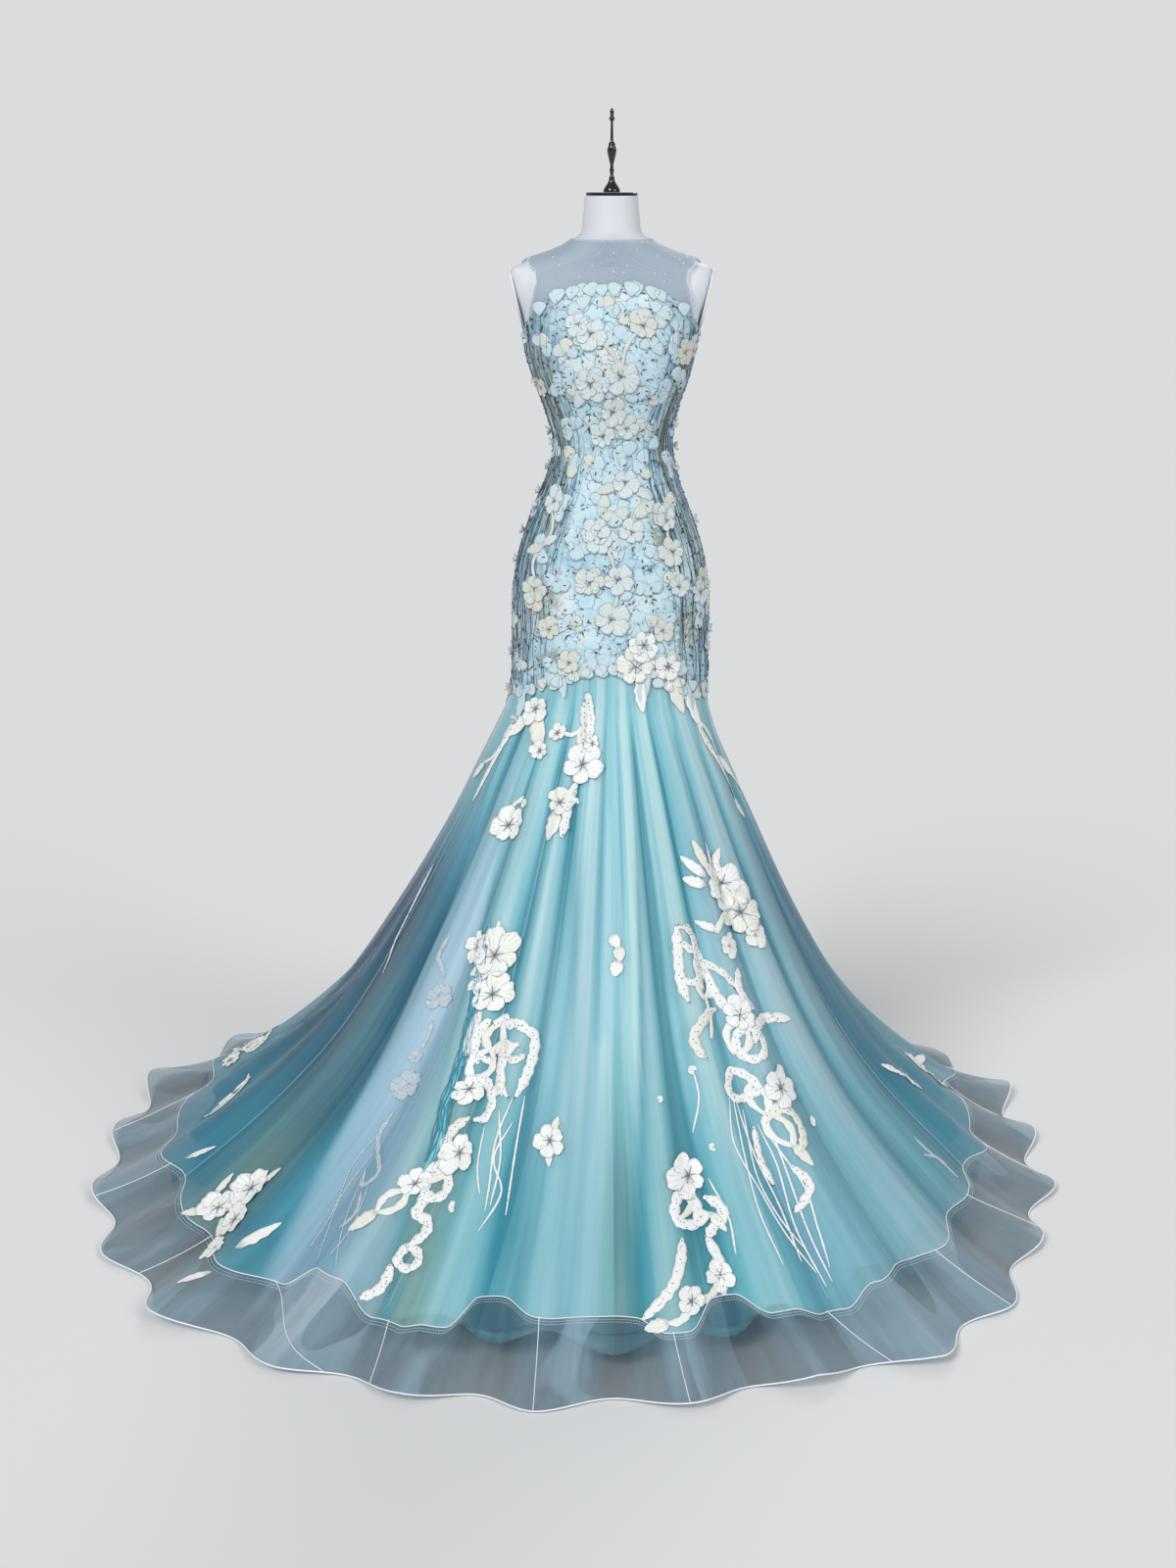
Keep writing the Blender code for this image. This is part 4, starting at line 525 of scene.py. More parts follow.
# The placket's middle, and half its width and its length in millimetres
PLACKET_MIDDLE = 1.275
PLACKET_HALF_WIDTH = 9
PLACKET_HALF_LENGTH = 158
# Covered buttons down the centre back: how many, height of the strip's top, distance, how far out they sit
BUTTONS = 12
BUTTON_TOP = 1.425
BUTTON_PITCH = 0.025
BUTTON_OUT = 0.0034
# Soft suns: degrees turned, power, and the width of each in degrees
SUNS = {"key": ((50, 0, -32), 1.85), "fill": ((62, 0, 48), 0.8), "back": ((58, 0, 165), 0.6)}
SUN_WIDTH = 24
# Half the floor's width, and how far it lies under the hem
FLOOR_HALF = 60
FLOOR_DROP = 0.0006
# The camera stands where the photo was taken from: place, degrees down from level, lens in millimetres
CAMERA = (-0.0365, -3.471, 1.62)
CAMERA_TILT = 15.159
CAMERA_LENS = 50


# Sizes and colours that a user would change


def shade(label, note, colour):
    return FloatVectorProperty(name=label, description=note, default=colour, subtype="COLOR")


def length(label, note, value):
    return FloatProperty(name=label, description=note, default=value, unit="LENGTH")


class DressClothSettings(PropertyGroup):
    """Sizes of the cloth and its dye shades, which also paint shade in the fold troughs and highlight on the
    ridges.
    """

    columns: IntProperty(name="Columns", description="Columns of a skirt all round", default=480, min=96)
    edge_radius: length("Rolled edge", "Radius of the hem's rolled edge", 0.0012)
    # The deepest shade also stands for painted shade in the fold troughs and creases, the lighter ones for
    # painted highlight on the ridges
    trough: shade("Dye, with painted shade in the folds", "Deepest turquoise", (0.030, 0.300, 0.395))
    middle: shade("Dye", "The skirt's turquoise", (0.165, 0.540, 0.640))
    light: shade("Dye, with painted highlight on the ridges", "Light aqua", (0.335, 0.700, 0.780))
    pale: shade("Palest dye", "Aqua white", (0.560, 0.830, 0.870))
    lace: shade("Lace", "Shade of the bodice lace", (0.57, 0.77, 0.85))
    net: shade("Net", "Shade of the yoke's net", (0.36, 0.46, 0.56))


class DressBeadSettings(PropertyGroup):
    """Sizes of the beads and the buttons."""

    dash_length: length("Bugle length", "Length of a bugle bead", 0.0052)
    dash_radius: length("Bugle radius", "Radius of a bugle bead", 0.00085)
    dash_density: FloatProperty(name="Bugle density", description="Bugles on a square metre", default=4300.0)
    bead_radius: length("Bead radius", "Radius of the yoke's clear beads", 0.0012)
    bead_density: FloatProperty(name="Bead density", description="Beads on a square metre", default=900.0)
    button_radius: length("Button radius", "Radius of a covered button", 0.0055)
    seed: IntProperty(name="Seed", description="Seed of the scattered beads", default=7)


# The cloth's outside


def mix(first, last, share):
    """What lies this share of the way from the first to the last."""
    return first * (1 - share) + last * share


def section(name, heights):
    """A column of the sections, read between its rows along a smooth curve."""
    rows = np.array(SECTIONS) / 1000
    knots, values = rows[:, 0], rows[:, SECTION_COLUMNS.index(name)]
    slopes = np.gradient(values, knots)
    heights = np.clip(heights, knots[0], knots[-1])
    low = np.clip(np.searchsorted(knots, heights) - 1, 0, len(knots) - 2)
    gap = knots[low + 1] - knots[low]
    t = (heights - knots[low]) / gap
    start = values[low] * (1 + 2 * t) * (1 - t) ** 2 + slopes[low] * gap * t * (1 - t) ** 2
    end = values[low + 1] * t**2 * (3 - 2 * t) - slopes[low + 1] * gap * t**2 * (1 - t)
    return start + end


def between(knots, angles):
    """The knots on either side of each angle, in degrees, and the share of the way between them."""
    knots = np.array(knots, float)
    turned = np.degrees(angles) % 360.0
    after = np.searchsorted(knots, turned) % len(knots)
    before = (after - 1) % len(knots)
    return before, after, ((turned - knots[before]) % 360.0) / ((knots[after] - knots[before]) % 360.0)


def fold_share(angles):
    """The ridges on either side of an angle, and the share of the way between them."""
    return between([row[0] for row in FOLDS], angles)


def apart(angles, degrees):
    """How far each angle lies from a place round the dress, in degrees either way."""
    return (np.degrees(angles) - degrees + 180.0) % 360.0 - 180.0


def fold_read(name, angles):
    before, after, share = fold_share(angles)
    values = np.array([row[FOLD_COLUMNS.index(name)] for row in FOLDS]) / 1000
    return mix(values[before], values[after], share)


def ridge_wave(angles):
    """1 on a ridge and 0 in the trough between two."""
    return 0.5 + 0.5 * np.cos(2 * np.pi * fold_share(angles)[2])


def spread_columns(rows, parts, angles, heights):
    """A table's columns over their parts of a unit, shaped to meet arrays of angles and heights."""
    count = np.broadcast(angles, heights).ndim
    return (np.array(rows) / parts).T.reshape((-1, len(rows)) + (1,) * count)


def crease_depth(angles, heights):
    """How far the small creases take the skirt in at each point."""
    angle, top, foot, deep, half = spread_columns(CREASES, (1, 1000, 1000, 1000, 1), angles, heights)
    away = apart(angles, angle)
    along = np.clip((top - heights) / (top - foot), 0, 1)
    return (deep * np.exp(-((away / half) ** 2)) * np.sin(np.pi * along**0.7) ** 0.8).sum(axis=0)


def pucker_depth(angles, heights):
    angle, height, deep, half = spread_columns(PUCKERS, (1, 1000, 1000, 1000), angles, heights)
    away = apart(angles, angle)
    return (deep * np.exp(-((away / PUCKER_WIDTH) ** 2) - ((heights - height) / half) ** 2)).sum(axis=0)


def cloth_point(angles, heights, inset=0.0, creases=1.0, folds=1.0):
    """Points of the cloth's outside, at these angles and heights before the hem lifts."""
    angles = np.asarray(angles, float)
    heights = np.asarray(heights, float)
    cos, sin = np.cos(angles), np.sin(angles)
    across = np.where(cos < 0, section("left", heights), section("right", heights))
    deep = np.where(sin < 0, section("front", heights), section("back", heights))
    radius = ((cos / across) ** 2 + (sin / deep) ** 2) ** -0.5
    wave = ridge_wave(angles)
    low = np.clip(1 - heights / fold_read("start", angles), 0, 1)
    hem = np.clip(1 - heights / HEM_ZONE, 0, 1) ** 2
    swing = fold_read("depth", angles) * low**FOLD_GROWTH + fold_read("ruffle", angles) * hem
    radius = radius + swing * (wave * folds - 0.5) + fold_read("reach", angles) * low**3
    radius = radius - creases * crease_depth(angles, heights) - pucker_depth(angles, heights) - inset
    lift = fold_read("lift", angles) * wave * hem * folds
    return np.stack([radius * cos, radius * sin, heights + lift], axis=-1)


def cloth_normal(angles, heights):
    """Outward unit normals of the same surface."""
    step = 1e-3
    heights = np.maximum(np.asarray(heights, float), step)
    along = cloth_point(angles + step, heights) - cloth_point(angles - step, heights)
    up = cloth_point(angles, heights + step) - cloth_point(angles, heights - step)
    normal = np.cross(along, up)
    return normal / np.linalg.norm(normal, axis=-1, keepdims=True)


def rows_down(count):
    """Shares from 0 at the first row to 1 at the last."""
    return np.linspace(0, 1, count)[:, None]


def out_from(angles, heights, out):
    """Points this many metres out from the cloth."""
    return cloth_point(angles, heights) + cloth_normal(angles, heights) * out


def from_front(angles):
    return np.abs(apart(angles, 270))


def top_edge(angles):
    return np.interp(from_front(angles), *zip(*TOP_EDGE))


def lace_edge(angles):
    return LACE_EDGE - LACE_EDGE_RISE * np.cos(2 * np.asarray(angles))


def band_top(angles):
    return BAND_TOP + BAND_TOP_WAVE * (ridge_wave(angles) - 0.5) * 2


def band_line(angles):
    """The stitched top of the band: level across each panel, with short steps between."""
    before, after, share = between([row[0] for row in BAND_STEPS], angles)
    levels = np.array([row[1] for row in BAND_STEPS]) / 1000
    share = np.clip((share - 0.5) * 1.8 + 0.5, 0, 1)
    return mix(levels[before], levels[after], share * share * (3 - 2 * share))


def fit(slot, *pieces):
    """Each piece belongs to the part's one body; the slot is not used."""
    for piece in pieces:
        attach(piece, "root")


# Meshes


def put(obj):
    bpy.context.scene.collection.objects.link(obj)
    return obj


def new_object(name, points, edges=(), faces=(), material=None):
    mesh = bpy.data.meshes.new(name)
    mesh.from_pydata(np.asarray(points, float).tolist(), list(edges), np.asarray(faces).tolist())
    if material:
        mesh.materials.append(material)
    return put(bpy.data.objects.new(name, mesh))


def grid_faces(rows, columns, wrap=False):
    """Faces of a grid of points numbered along its rows; wrap joins its sides."""
    row, column = np.meshgrid(np.arange(rows - 1), np.arange(columns if wrap else columns - 1), indexing="ij")
    here, below, after = row * columns, (row + 1) * columns, (column + 1) % columns
    return np.stack([here + column, below + column, below + after, here + after], axis=-1).reshape(-1, 4)


def lay_uv(mesh, corners):
    """The cloth's own coordinates, a pair for each corner of each face."""
    layer = mesh.uv_layers.new(name="cloth")
    layer.data.foreach_set("uv", corners.reshape(-1).astype(np.float32))


def mark(mesh, name, numbers):
    """A value or a vector at each point, which finishes and trees read by its name."""
    kind, part = ("FLOAT_VECTOR", "vector") if numbers.ndim == 2 else ("FLOAT", "value")
    spots = mesh.attributes.new(name, kind, "POINT").data
    spots.foreach_set(part, np.ascontiguousarray(numbers, np.float32).reshape(-1))


def grid_object(name, points, wrap, uv, values, material):
    """A sheet from a grid of points, rows going down and columns round; wrap joins its sides.

    uv has the same rows, and one more column where the sheet wraps. values are floats or vectors for each
    point by name.
    """
    rows, columns = points.shape[:2]
    made = new_object(name, points.reshape(-1, 3), faces=grid_faces(rows, columns, wrap), material=material)
    lay_uv(made.data, uv.reshape(-1, 2)[grid_faces(rows, uv.shape[1])])
    for label, numbers in values.items():
        mark(made.data, label, numbers.reshape(-1, *numbers.shape[2:]))
    made.data.shade_smooth()
    return made


def thicken(piece, thickness, side):
    """Gives a sheet its thickness, outwards where side is 1 and inwards where it is -1."""
    solid = piece.modifiers.new("Thickness", "SOLIDIFY")
    solid.thickness = thickness
    solid.offset = side


def soften(mesh, degrees):
    """Smooth shading, with edges over this angle left sharp."""
    mesh.shade_smooth()
    mesh.set_sharp_from_angle(angle=math.radians(degrees))


class Patchwork:
    """Points and faces of many small grids, joined into one mesh."""

    def __init__(self):
        self.points, self.faces, self.uvs, self.tones = [], [], [], []
        self.count = 0

    def add(self, points, uv, tone):
        rows, columns = points.shape[:2]
        self.points.append(points.reshape(-1, 3))
        self.faces.append(grid_faces(rows, columns) + self.count)
        self.uvs.append(uv.reshape(-1, 2))
        self.tones.append(np.full(rows * columns, tone))
        self.count += rows * columns

    def build(self, name, material, thickness):
        faces = np.concatenate(self.faces)
        made = new_object(name, np.concatenate(self.points), faces=faces, material=material)
        lay_uv(made.data, np.concatenate(self.uvs)[faces])
        mark(made.data, "tone", np.concatenate(self.tones))
        made.data.shade_smooth()
        thicken(made, thickness, 1)
        return made


def settle(obj):
    """What a piece's modifiers make, as its plain mesh."""
    made = bpy.data.meshes.new_from_object(obj.evaluated_get(bpy.context.evaluated_depsgraph_get()))
    obj.modifiers.clear()
    obj.data = made
    return obj


class Seat:
    """A place on the cloth, with millimetres across and up from it."""

    def __init__(self, angle, height):
        self.angle, self.height = math.radians(angle), height
        step = 1e-3
        across = cloth_point(self.angle + step, height) - cloth_point(self.angle - step, height)
        down = cloth_point(self.angle, height + step) - cloth_point(self.angle, height - step)
        self.across = np.linalg.norm(across) / (2 * step)
        self.down = np.linalg.norm(down) / (2 * step)

    def at(self, x, y, out):
        """Points x across, y up and out from the cloth, all in millimetres."""
        x, y, out = np.broadcast_arrays(x, y, out)
        angles = self.angle + x * MM / self.across
        heights = self.height + y * MM / self.down
        return out_from(angles, heights, (out * MM)[..., None])


# Motifs


def petal_uv(side, along):
    """Across a motif from 0 to 1, and along it."""
    return np.stack(np.broadcast_arrays(side * 0.5 + 0.5, along), axis=-1)


def sew_petal(work, seat, x, y, reach, bearing, spread, cup, lean, tone, fine, bare, wave=0.0, lobe=0.20):
    """One broad petal with a scalloped rim: rows out from the flower's middle, columns across it."""
    along = np.linspace(0.06, 1.0, fine)[:, None]
    side = np.linspace(-1, 1, fine + 4)[None, :]
    notch = 0.06 * np.exp(-(((side - 0.3 * math.sin(bearing * 7)) / 0.2) ** 2))
    rim = 1 - lobe * np.abs(side) ** 2.4 - notch + 0.02 * np.cos(side * 8 + bearing * 5)
    radius = reach * (along - along**4 * (1 - rim))
    turned = bearing + side * spread * (0.78 + 0.22 * np.sin(np.pi * along**0.8 * 0.9))
    ripple = wave * np.sin(side * 6.0 + bearing * 3) * along**3
    out = np.maximum(bare + cup * along**1.8 + lean * side * along + ripple, 0.5)
    points = seat.at(x + radius * np.cos(turned), y + radius * np.sin(turned), out)
    work.add(points, petal_uv(side, along), tone)


def sew_flower(work, seat, x, y, size, turn, rise, tone, seed=0, petals=5):
    """Lobed petals sewn nearly flat round a pinched middle, longer on one side."""
    chance = np.random.default_rng(seed + int(abs(x) * 13 + abs(y) * 7 + size * 5))
    longer = chance.uniform(0, 2 * math.pi)
    for k in range(petals):
        bearing = math.radians(turn) + 2 * math.pi * (k + 0.5) / petals + chance.uniform(-0.12, 0.12)
        reach = size * (0.97 + 0.15 * math.cos(bearing - longer) + chance.uniform(-0.08, 0.08))
        spread = 3.9 / petals * (1 + chance.uniform(-0.10, 0.12))
        cup = 0.45 * rise * (1 + chance.uniform(-0.3, 0.3))
        bare, wave = 0.9 + 0.08 * k, 0.03 * size
        sew_petal(work, seat, x, y, reach, bearing, spread, cup, 0.5, tone, 7, bare, wave, 0.30)


def sew_leaf(work, seat, x, y, length, turn, width, tone):
    """A pointed leaf with a sunk midrib and a ragged edge."""
    along = rows_down(9)
    side = np.linspace(-1, 1, 5)[None, :]
    bearing = math.radians(turn)
    half = 0.5 * width * length * np.sin(np.pi * along**0.85) ** 0.75
    u = along * length
    v = side * half * (1 + 0.16 * np.sin(along * 23 + side))
    out = 1.0 + 1.2 * np.abs(side) ** 0.6 * np.sin(np.pi * along) ** 0.5
    px = x + u * math.cos(bearing) - v * math.sin(bearing)
    py = y + u * math.sin(bearing) + v * math.cos(bearing)
    work.add(seat.at(px, py, out), petal_uv(side, along), tone)


def bowed_path(x, y, to_x, to_y, bend, steps):
    """Places and sideways directions along a bow, in millimetres."""
    t = np.linspace(0, 1, steps)
    dx, dy = to_x - x, to_y - y
    bow, slope = 4 * t * (1 - t) * bend, 4 * (1 - 2 * t) * bend
    middle = np.stack([x + dx * t - dy * bow, y + dy * t + dx * bow], axis=-1)
    aside = np.stack([-dy - dx * slope, dx - dy * slope], axis=-1)
    return middle, aside / np.linalg.norm(aside, axis=-1, keepdims=True)


def sew_vine(work, seat, x, y, to_x, to_y, bend, width, tone):
    """A corded band along a bow, crowned across and uneven in width."""
    middle, aside = bowed_path(x, y, to_x, to_y, bend, 15)
    along = rows_down(15)
    side = np.linspace(-1, 1, 5)[None, :]
    taper = np.sin(np.pi * np.clip(along, 0.06, 0.94)) ** 0.3
    half = 0.5 * width * (1 + 0.16 * np.sin(along * 17 + x)) * taper
    px = middle[:, :1] + aside[:, :1] * side * half
    py = middle[:, 1:] + aside[:, 1:] * side * half
    out = 0.5 + 1.5 * np.sqrt(np.clip(1 - side**2 * 0.9, 0, 1)) + 0 * along
    work.add(seat.at(px, py, out), petal_uv(side, 0.6 + 0 * along), tone)


def smooth_path(knots, steps, closed=False):
    """A smooth curve through places of degrees and height."""
    knots = np.array(knots, float)
    if closed:
        before, starts = np.roll(knots, 1, 0), knots
        after, far = np.roll(knots, -1, 0), np.roll(knots, -2, 0)
    else:
        padded = np.concatenate([2 * knots[:1] - knots[1:2], knots, 2 * knots[-1:] - knots[-2:-1]])
        before, starts, after, far = padded[:-3], padded[1:-2], padded[2:-1], padded[3:]
    t = np.linspace(0, 1, steps, endpoint=False)[:, None, None]
    bends = (after - before) * t + (2 * before - 5 * starts + 4 * after - far) * t**2
    rows = starts + 0.5 * (bends + (3 * starts - before - 3 * after + far) * t**3)
    rows = rows.transpose(1, 0, 2).reshape(-1, 2)
    return np.concatenate([rows, rows[:1] if closed else knots[-1:]])


def places_of(row):
    """Places of degrees and height from a row of them in millimetres, and whether they make a loop."""
    places = np.array(row, float).reshape(-1, 2) * (1, MM)
    closed = bool((places[0] == places[-1]).all())
    return places[:-1] if closed else places, closed


def sew_ribbon(work, knots, width, tone, closed=False, bare=1.2, ragged=0.24):
    """A flat lace ribbon along places of degrees and height, a little crowned and ragged."""
    path = smooth_path(knots, 8, closed)
    angles, heights = np.radians(path[:, 0]), path[:, 1]
    middle, normal = cloth_point(angles, heights), cloth_normal(angles, heights)
    along = np.gradient(middle, axis=0)
    if closed:
        along[0] = along[-1] = middle[1] - middle[-2]
    aside = np.cross(normal, along)
    aside /= np.linalg.norm(aside, axis=-1, keepdims=True)
    far = np.concatenate([[0], np.cumsum(np.linalg.norm(np.diff(middle, axis=0), axis=-1))])
    share = far / far[-1]
    taper = np.clip(np.sin(np.pi * np.clip(share, 0.03, 0.97)) * 2.2, 0, 1) ** 0.6
    taper = np.ones(len(share)) if closed else taper
    knobs = 0.6 * np.sin(far / MM * 0.31 + knots[0][0]) + 0.4 * np.sin(far / MM * 0.74 + knots[0][1] * 40)
    half = 0.5 * width * MM * taper * (1 + ragged * knobs)
    if closed:
        half[-1] = half[0]
    side = np.linspace(-1, 1, 5)
    out = (bare + 0.9 * np.sqrt(1 - 0.9 * side**2)) * MM
    points = middle[:, None] + aside[:, None] * (side[None, :, None] * half[:, None, None])
    points = points + normal[:, None] * out[None, :, None]
    uv = np.stack(np.broadcast_arrays(side[None, :] * 0.5 + 0.5, far[:, None] / 0.02), axis=-1)
    work.add(points, uv, tone)


def on_cloth(degrees, heights, out):
    """Points at these degrees and heights, out from the cloth in millimetres."""
    return out_from(np.radians(degrees), np.asarray(heights, float), out * MM)


def stamens(seat, x, y, size, turn, count):
    """Short threads that stand round a flower's middle."""
    paths = []
    for k in range(count):
        bearing = math.radians(turn) + 2 * math.pi * k / count
        far = size * np.linspace(0.04, 0.34 + 0.06 * (k % 2), 4)
        out = np.array([1.9, 2.9, 3.1, 2.8])
        paths.append(seat.at(x + far * math.cos(bearing), y + far * math.sin(bearing), out))
    return paths


# Geometry Nodes


def wire(tree, kind, inputs=None, **settings):
    """A node with its settings, and its inputs by name or number: a value, or a socket to link."""
    node = tree.nodes.new(kind)
    for label, value in settings.items():
        setattr(node, label, value)
    for label, value in (inputs or {}).items():
        socket = node.inputs[label]
        if isinstance(value, bpy.types.NodeSocket):
            tree.links.new(value, socket)
        else:
            socket.default_value = value
    return node


def start_tree(name, **sizes):
    """A Geometry Nodes tree whose inputs are a geometry, the named sizes and a material."""
    tree = bpy.data.node_groups.new(name, "GeometryNodeTree")
    tree.interface.new_socket("Geometry", in_out="OUTPUT", socket_type="NodeSocketGeometry")
    for label, kind in {"Geometry": "Geometry", **sizes, "Material": "Material"}.items():
        tree.interface.new_socket(label, in_out="INPUT", socket_type="NodeSocket" + kind)
    return tree, tree.nodes.new("NodeGroupInput").outputs


def step(tree, kind, inputs, **settings):
    """What a geometry node makes of its inputs."""
    return wire(tree, "GeometryNode" + kind, inputs, **settings).outputs[0]


def end_tree(tree, made, material):
    made = step(tree, "RealizeInstances", {0: made})
    made = step(tree, "SetShadeSmooth", {"Geometry": made, "Shade Smooth": True})
    made = step(tree, "SetMaterial", {"Geometry": made, "Material": material})
    tree.links.new(made, tree.nodes.new("NodeGroupOutput").inputs[0])
    return tree


def facing(tree, direction):
    """The turn that takes +Z to a direction."""
    return wire(tree, "FunctionNodeAlignRotationToVector", {"Vector": direction}, axis="Z").outputs[0]


def any_number(tree, low, high, **inputs):
    """A random number between two for each point."""
    return wire(tree, "FunctionNodeRandomValue", {2: low, 3: high, **inputs}, data_type="FLOAT").outputs[1]


def grow(obj, tree, **values):
    """Runs a tree on an object with its inputs set, and keeps the result as a plain mesh."""
    modifier = obj.modifiers.new(tree.name, "NODES")
    modifier.node_group = tree
    for item in tree.interface.items_tree:
        if item.item_type == "SOCKET" and item.in_out == "INPUT" and item.name in values:
            modifier[item.identifier] = values[item.name]
    return settle(obj)


def thread_tree():
    """Round threads along the edges of a mesh."""
    tree, given = start_tree("Threads", Radius="Float", Sides="Int")
    curve = step(tree, "MeshToCurve", {0: given["Geometry"]})
    ring = step(tree, "CurvePrimitiveCircle", {"Resolution": given["Sides"], "Radius": given["Radius"]})
    tube = step(tree, "CurveToMesh", {"Curve": curve, "Profile Curve": ring, "Fill Caps": True})
    return end_tree(tree, tube, given["Material"])


def stitch_tree():
    """Short stitches along the edges of a mesh."""
    tree, given = start_tree("Stitches", Pitch="Float", Length="Float", Radius="Float")
    curve = step(tree, "MeshToCurve", {0: given["Geometry"]})
    spaced = {"Curve": curve, "Length": given["Pitch"]}
    points = wire(tree, "GeometryNodeCurveToPoints", spaced, mode="LENGTH")
    stitch = step(tree, "MeshCylinder", {"Vertices": 5, "Radius": given["Radius"], "Depth": given["Length"]})
    turn = facing(tree, points.outputs["Tangent"])
    sewn = {"Points": points.outputs[0], "Instance": stitch, "Rotation": turn}
    return end_tree(tree, step(tree, "InstanceOnPoints", sewn), given["Material"])


def scatter_tree(name, long):
    """Beads scattered on a surface: bugles that lie along it, or round ones."""
    tree, given = start_tree(name, Density="Float", Radius="Float", Length="Float", Seed="Int")
    strewn = {"Mesh": given["Geometry"], "Density": given["Density"], "Seed": given["Seed"]}
    spots = wire(tree, "GeometryNodeDistributePointsOnFaces", strewn).outputs
    if long:
        size = {"Vertices": 6, "Radius": given["Radius"], "Depth": given["Length"]}
        bead = step(tree, "MeshCylinder", size)
        bead = step(tree, "Transform", {"Geometry": bead, "Rotation": (math.pi / 2, 0, 0)})
    else:
        bead = step(tree, "MeshIcoSphere", {"Radius": given["Radius"], "Subdivisions": 2})
    spin = any_number(tree, 0.0, math.pi, Seed=given["Seed"])
    spin = wire(tree, "FunctionNodeAxisAngleToRotation", {"Axis": (0, 0, 1), "Angle": spin}).outputs[0]
    turn = wire(
        tree, "FunctionNodeRotateRotation", {"Rotation": spots["Rotation"], "Rotate By": spin},
        rotation_space="LOCAL",
    ).outputs[0]
    size = any_number(tree, 0.6, 1.15)
    sewn = {"Points": spots["Points"], "Instance": bead, "Rotation": turn, "Scale": size}
    return end_tree(tree, step(tree, "InstanceOnPoints", sewn), given["Material"])


def seat_tree():
    """Round buttons or beads at the points of a mesh, flattened along its attribute out."""
    tree, given = start_tree("Seated", Radius="Float", Flatness="Float", Segments="Int")
    ball = step(tree, "MeshUVSphere", {"Segments": given["Segments"], "Rings": 8, "Radius": given["Radius"]})
    shape = wire(tree, "ShaderNodeCombineXYZ", {0: 1.0, 1: 1.0, 2: given["Flatness"]}).outputs[0]
    flat = step(tree, "Transform", {"Geometry": ball, "Scale": shape})
    turn = facing(tree, step(tree, "InputNamedAttribute", {"Name": "out"}, data_type="FLOAT_VECTOR"))
    sewn = {"Points": given["Geometry"], "Instance": flat, "Rotation": turn}
    return end_tree(tree, step(tree, "InstanceOnPoints", sewn), given["Material"])


def line_object(name, paths, closed):
    """A mesh of edges along paths of points."""
    points, edges = [], []
    for path in paths:
        first, last = len(points), len(points) + len(path) - 1
        points += [tuple(map(float, p)) for p in path]
        edges += [(k, k + 1) for k in range(first, last)]
        if closed:
            edges.append((last, first))
    return new_object(name, points, edges)


def corded(name, paths, radius, sides, material, closed=False):
    """Round threads along paths of points, as one piece."""
    tree = bpy.data.node_groups.get("Threads") or thread_tree()
    return grow(line_object(name, paths, closed), tree, Radius=radius, Sides=sides, Material=material)


def seated(name, points, normals, radius, flatness, segments, material):
    """Round buttons or beads at points, flattened along their normals, as one piece."""
    spots = new_object(name, points)
    mark(spots.data, "out", np.asarray(normals))
    tree = bpy.data.node_groups.get("Seated") or seat_tree()
    return grow(spots, tree, Radius=radius, Flatness=flatness, Segments=segments, Material=material)


# Finishes


def finish(name, colour=(0.8, 0.8, 0.8), rough=0.5, **sockets):
    """A Principled material and its tree; sockets are named with underscores for spaces."""
    made = bpy.data.materials.new(name)
    made.use_nodes = True
    tree = made.node_tree
    shader = tree.nodes["Principled BSDF"]
    shader.inputs["Base Color"].default_value = (*colour, 1)
    shader.inputs["Roughness"].default_value = rough
    for label, value in sockets.items():
        shader.inputs[label.replace("_", " ")].default_value = value
    return made, tree, shader


def feed(tree, shader, socket, label="Base Color"):
    tree.links.new(socket, shader.inputs[label])


def ramp(tree, value, stops, smooth=True):
    node = wire(tree, "ShaderNodeValToRGB", {0: value})
    node.color_ramp.interpolation = "EASE" if smooth else "LINEAR"
    while len(node.color_ramp.elements) < len(stops):
        node.color_ramp.elements.new(0.5)
    for element, (place, colour) in zip(node.color_ramp.elements, stops):
        element.position = place
        element.color = (*colour, 1) if hasattr(colour, "__len__") else (colour, colour, colour, 1)
    return node.outputs[0]


def maths(tree, operation, a, b=None, clamp=False):
    inputs = {0: a} if b is None else {0: a, 1: b}
    return wire(tree, "ShaderNodeMath", inputs, operation=operation, use_clamp=clamp).outputs[0]


def times(tree, a, b, clamp=False):
    return maths(tree, "MULTIPLY", a, b, clamp)


def weighed(tree, *shares, clamp=True):
    """The sum of sockets, each times its weight."""
    total = times(tree, *shares[0])
    for socket, weight in shares[1:]:
        total = maths(tree, "ADD", total, times(tree, socket, weight), clamp)
    return total


def blend_colour(tree, share, a, b):
    """Two colours, each a socket or a value, mixed by a share."""
    a, b = ((*colour, 1) if isinstance(colour, tuple) else colour for colour in (a, b))
    return wire(tree, "ShaderNodeMix", {0: share, 6: a, 7: b}, data_type="RGBA").outputs[2]


def stretched(tree, source, scale):
    """Coordinates scaled by their three parts."""
    return wire(tree, "ShaderNodeMapping", {"Vector": source, "Scale": scale}).outputs[0]


def noise(tree, vector, scale, detail=3.0, rough=0.5):
    return wire(
        tree, "ShaderNodeTexNoise", {"Vector": vector, "Scale": scale, "Detail": detail, "Roughness": rough}
    ).outputs[0]


def cell_edges(tree, vector, scale, randomness=1.0):
    """How far each place lies from the edges of cells."""
    inputs = {"Vector": vector, "Scale": scale, "Randomness": randomness}
    return wire(tree, "ShaderNodeTexVoronoi", inputs, feature="DISTANCE_TO_EDGE").outputs["Distance"]


def bands(tree, vector, scale, distortion, direction, detail=2.0):
    """Even bands, for weaves and satin stitches."""
    inputs = {"Vector": vector, "Scale": scale, "Distortion": distortion, "Detail": detail}
    return wire(tree, "ShaderNodeTexWave", inputs, bands_direction=direction).outputs["Fac"]


def bump(tree, shader, height, strength, distance):
    node = wire(tree, "ShaderNodeBump", {"Height": height, "Strength": strength, "Distance": distance})
    feed(tree, shader, node.outputs[0], "Normal")


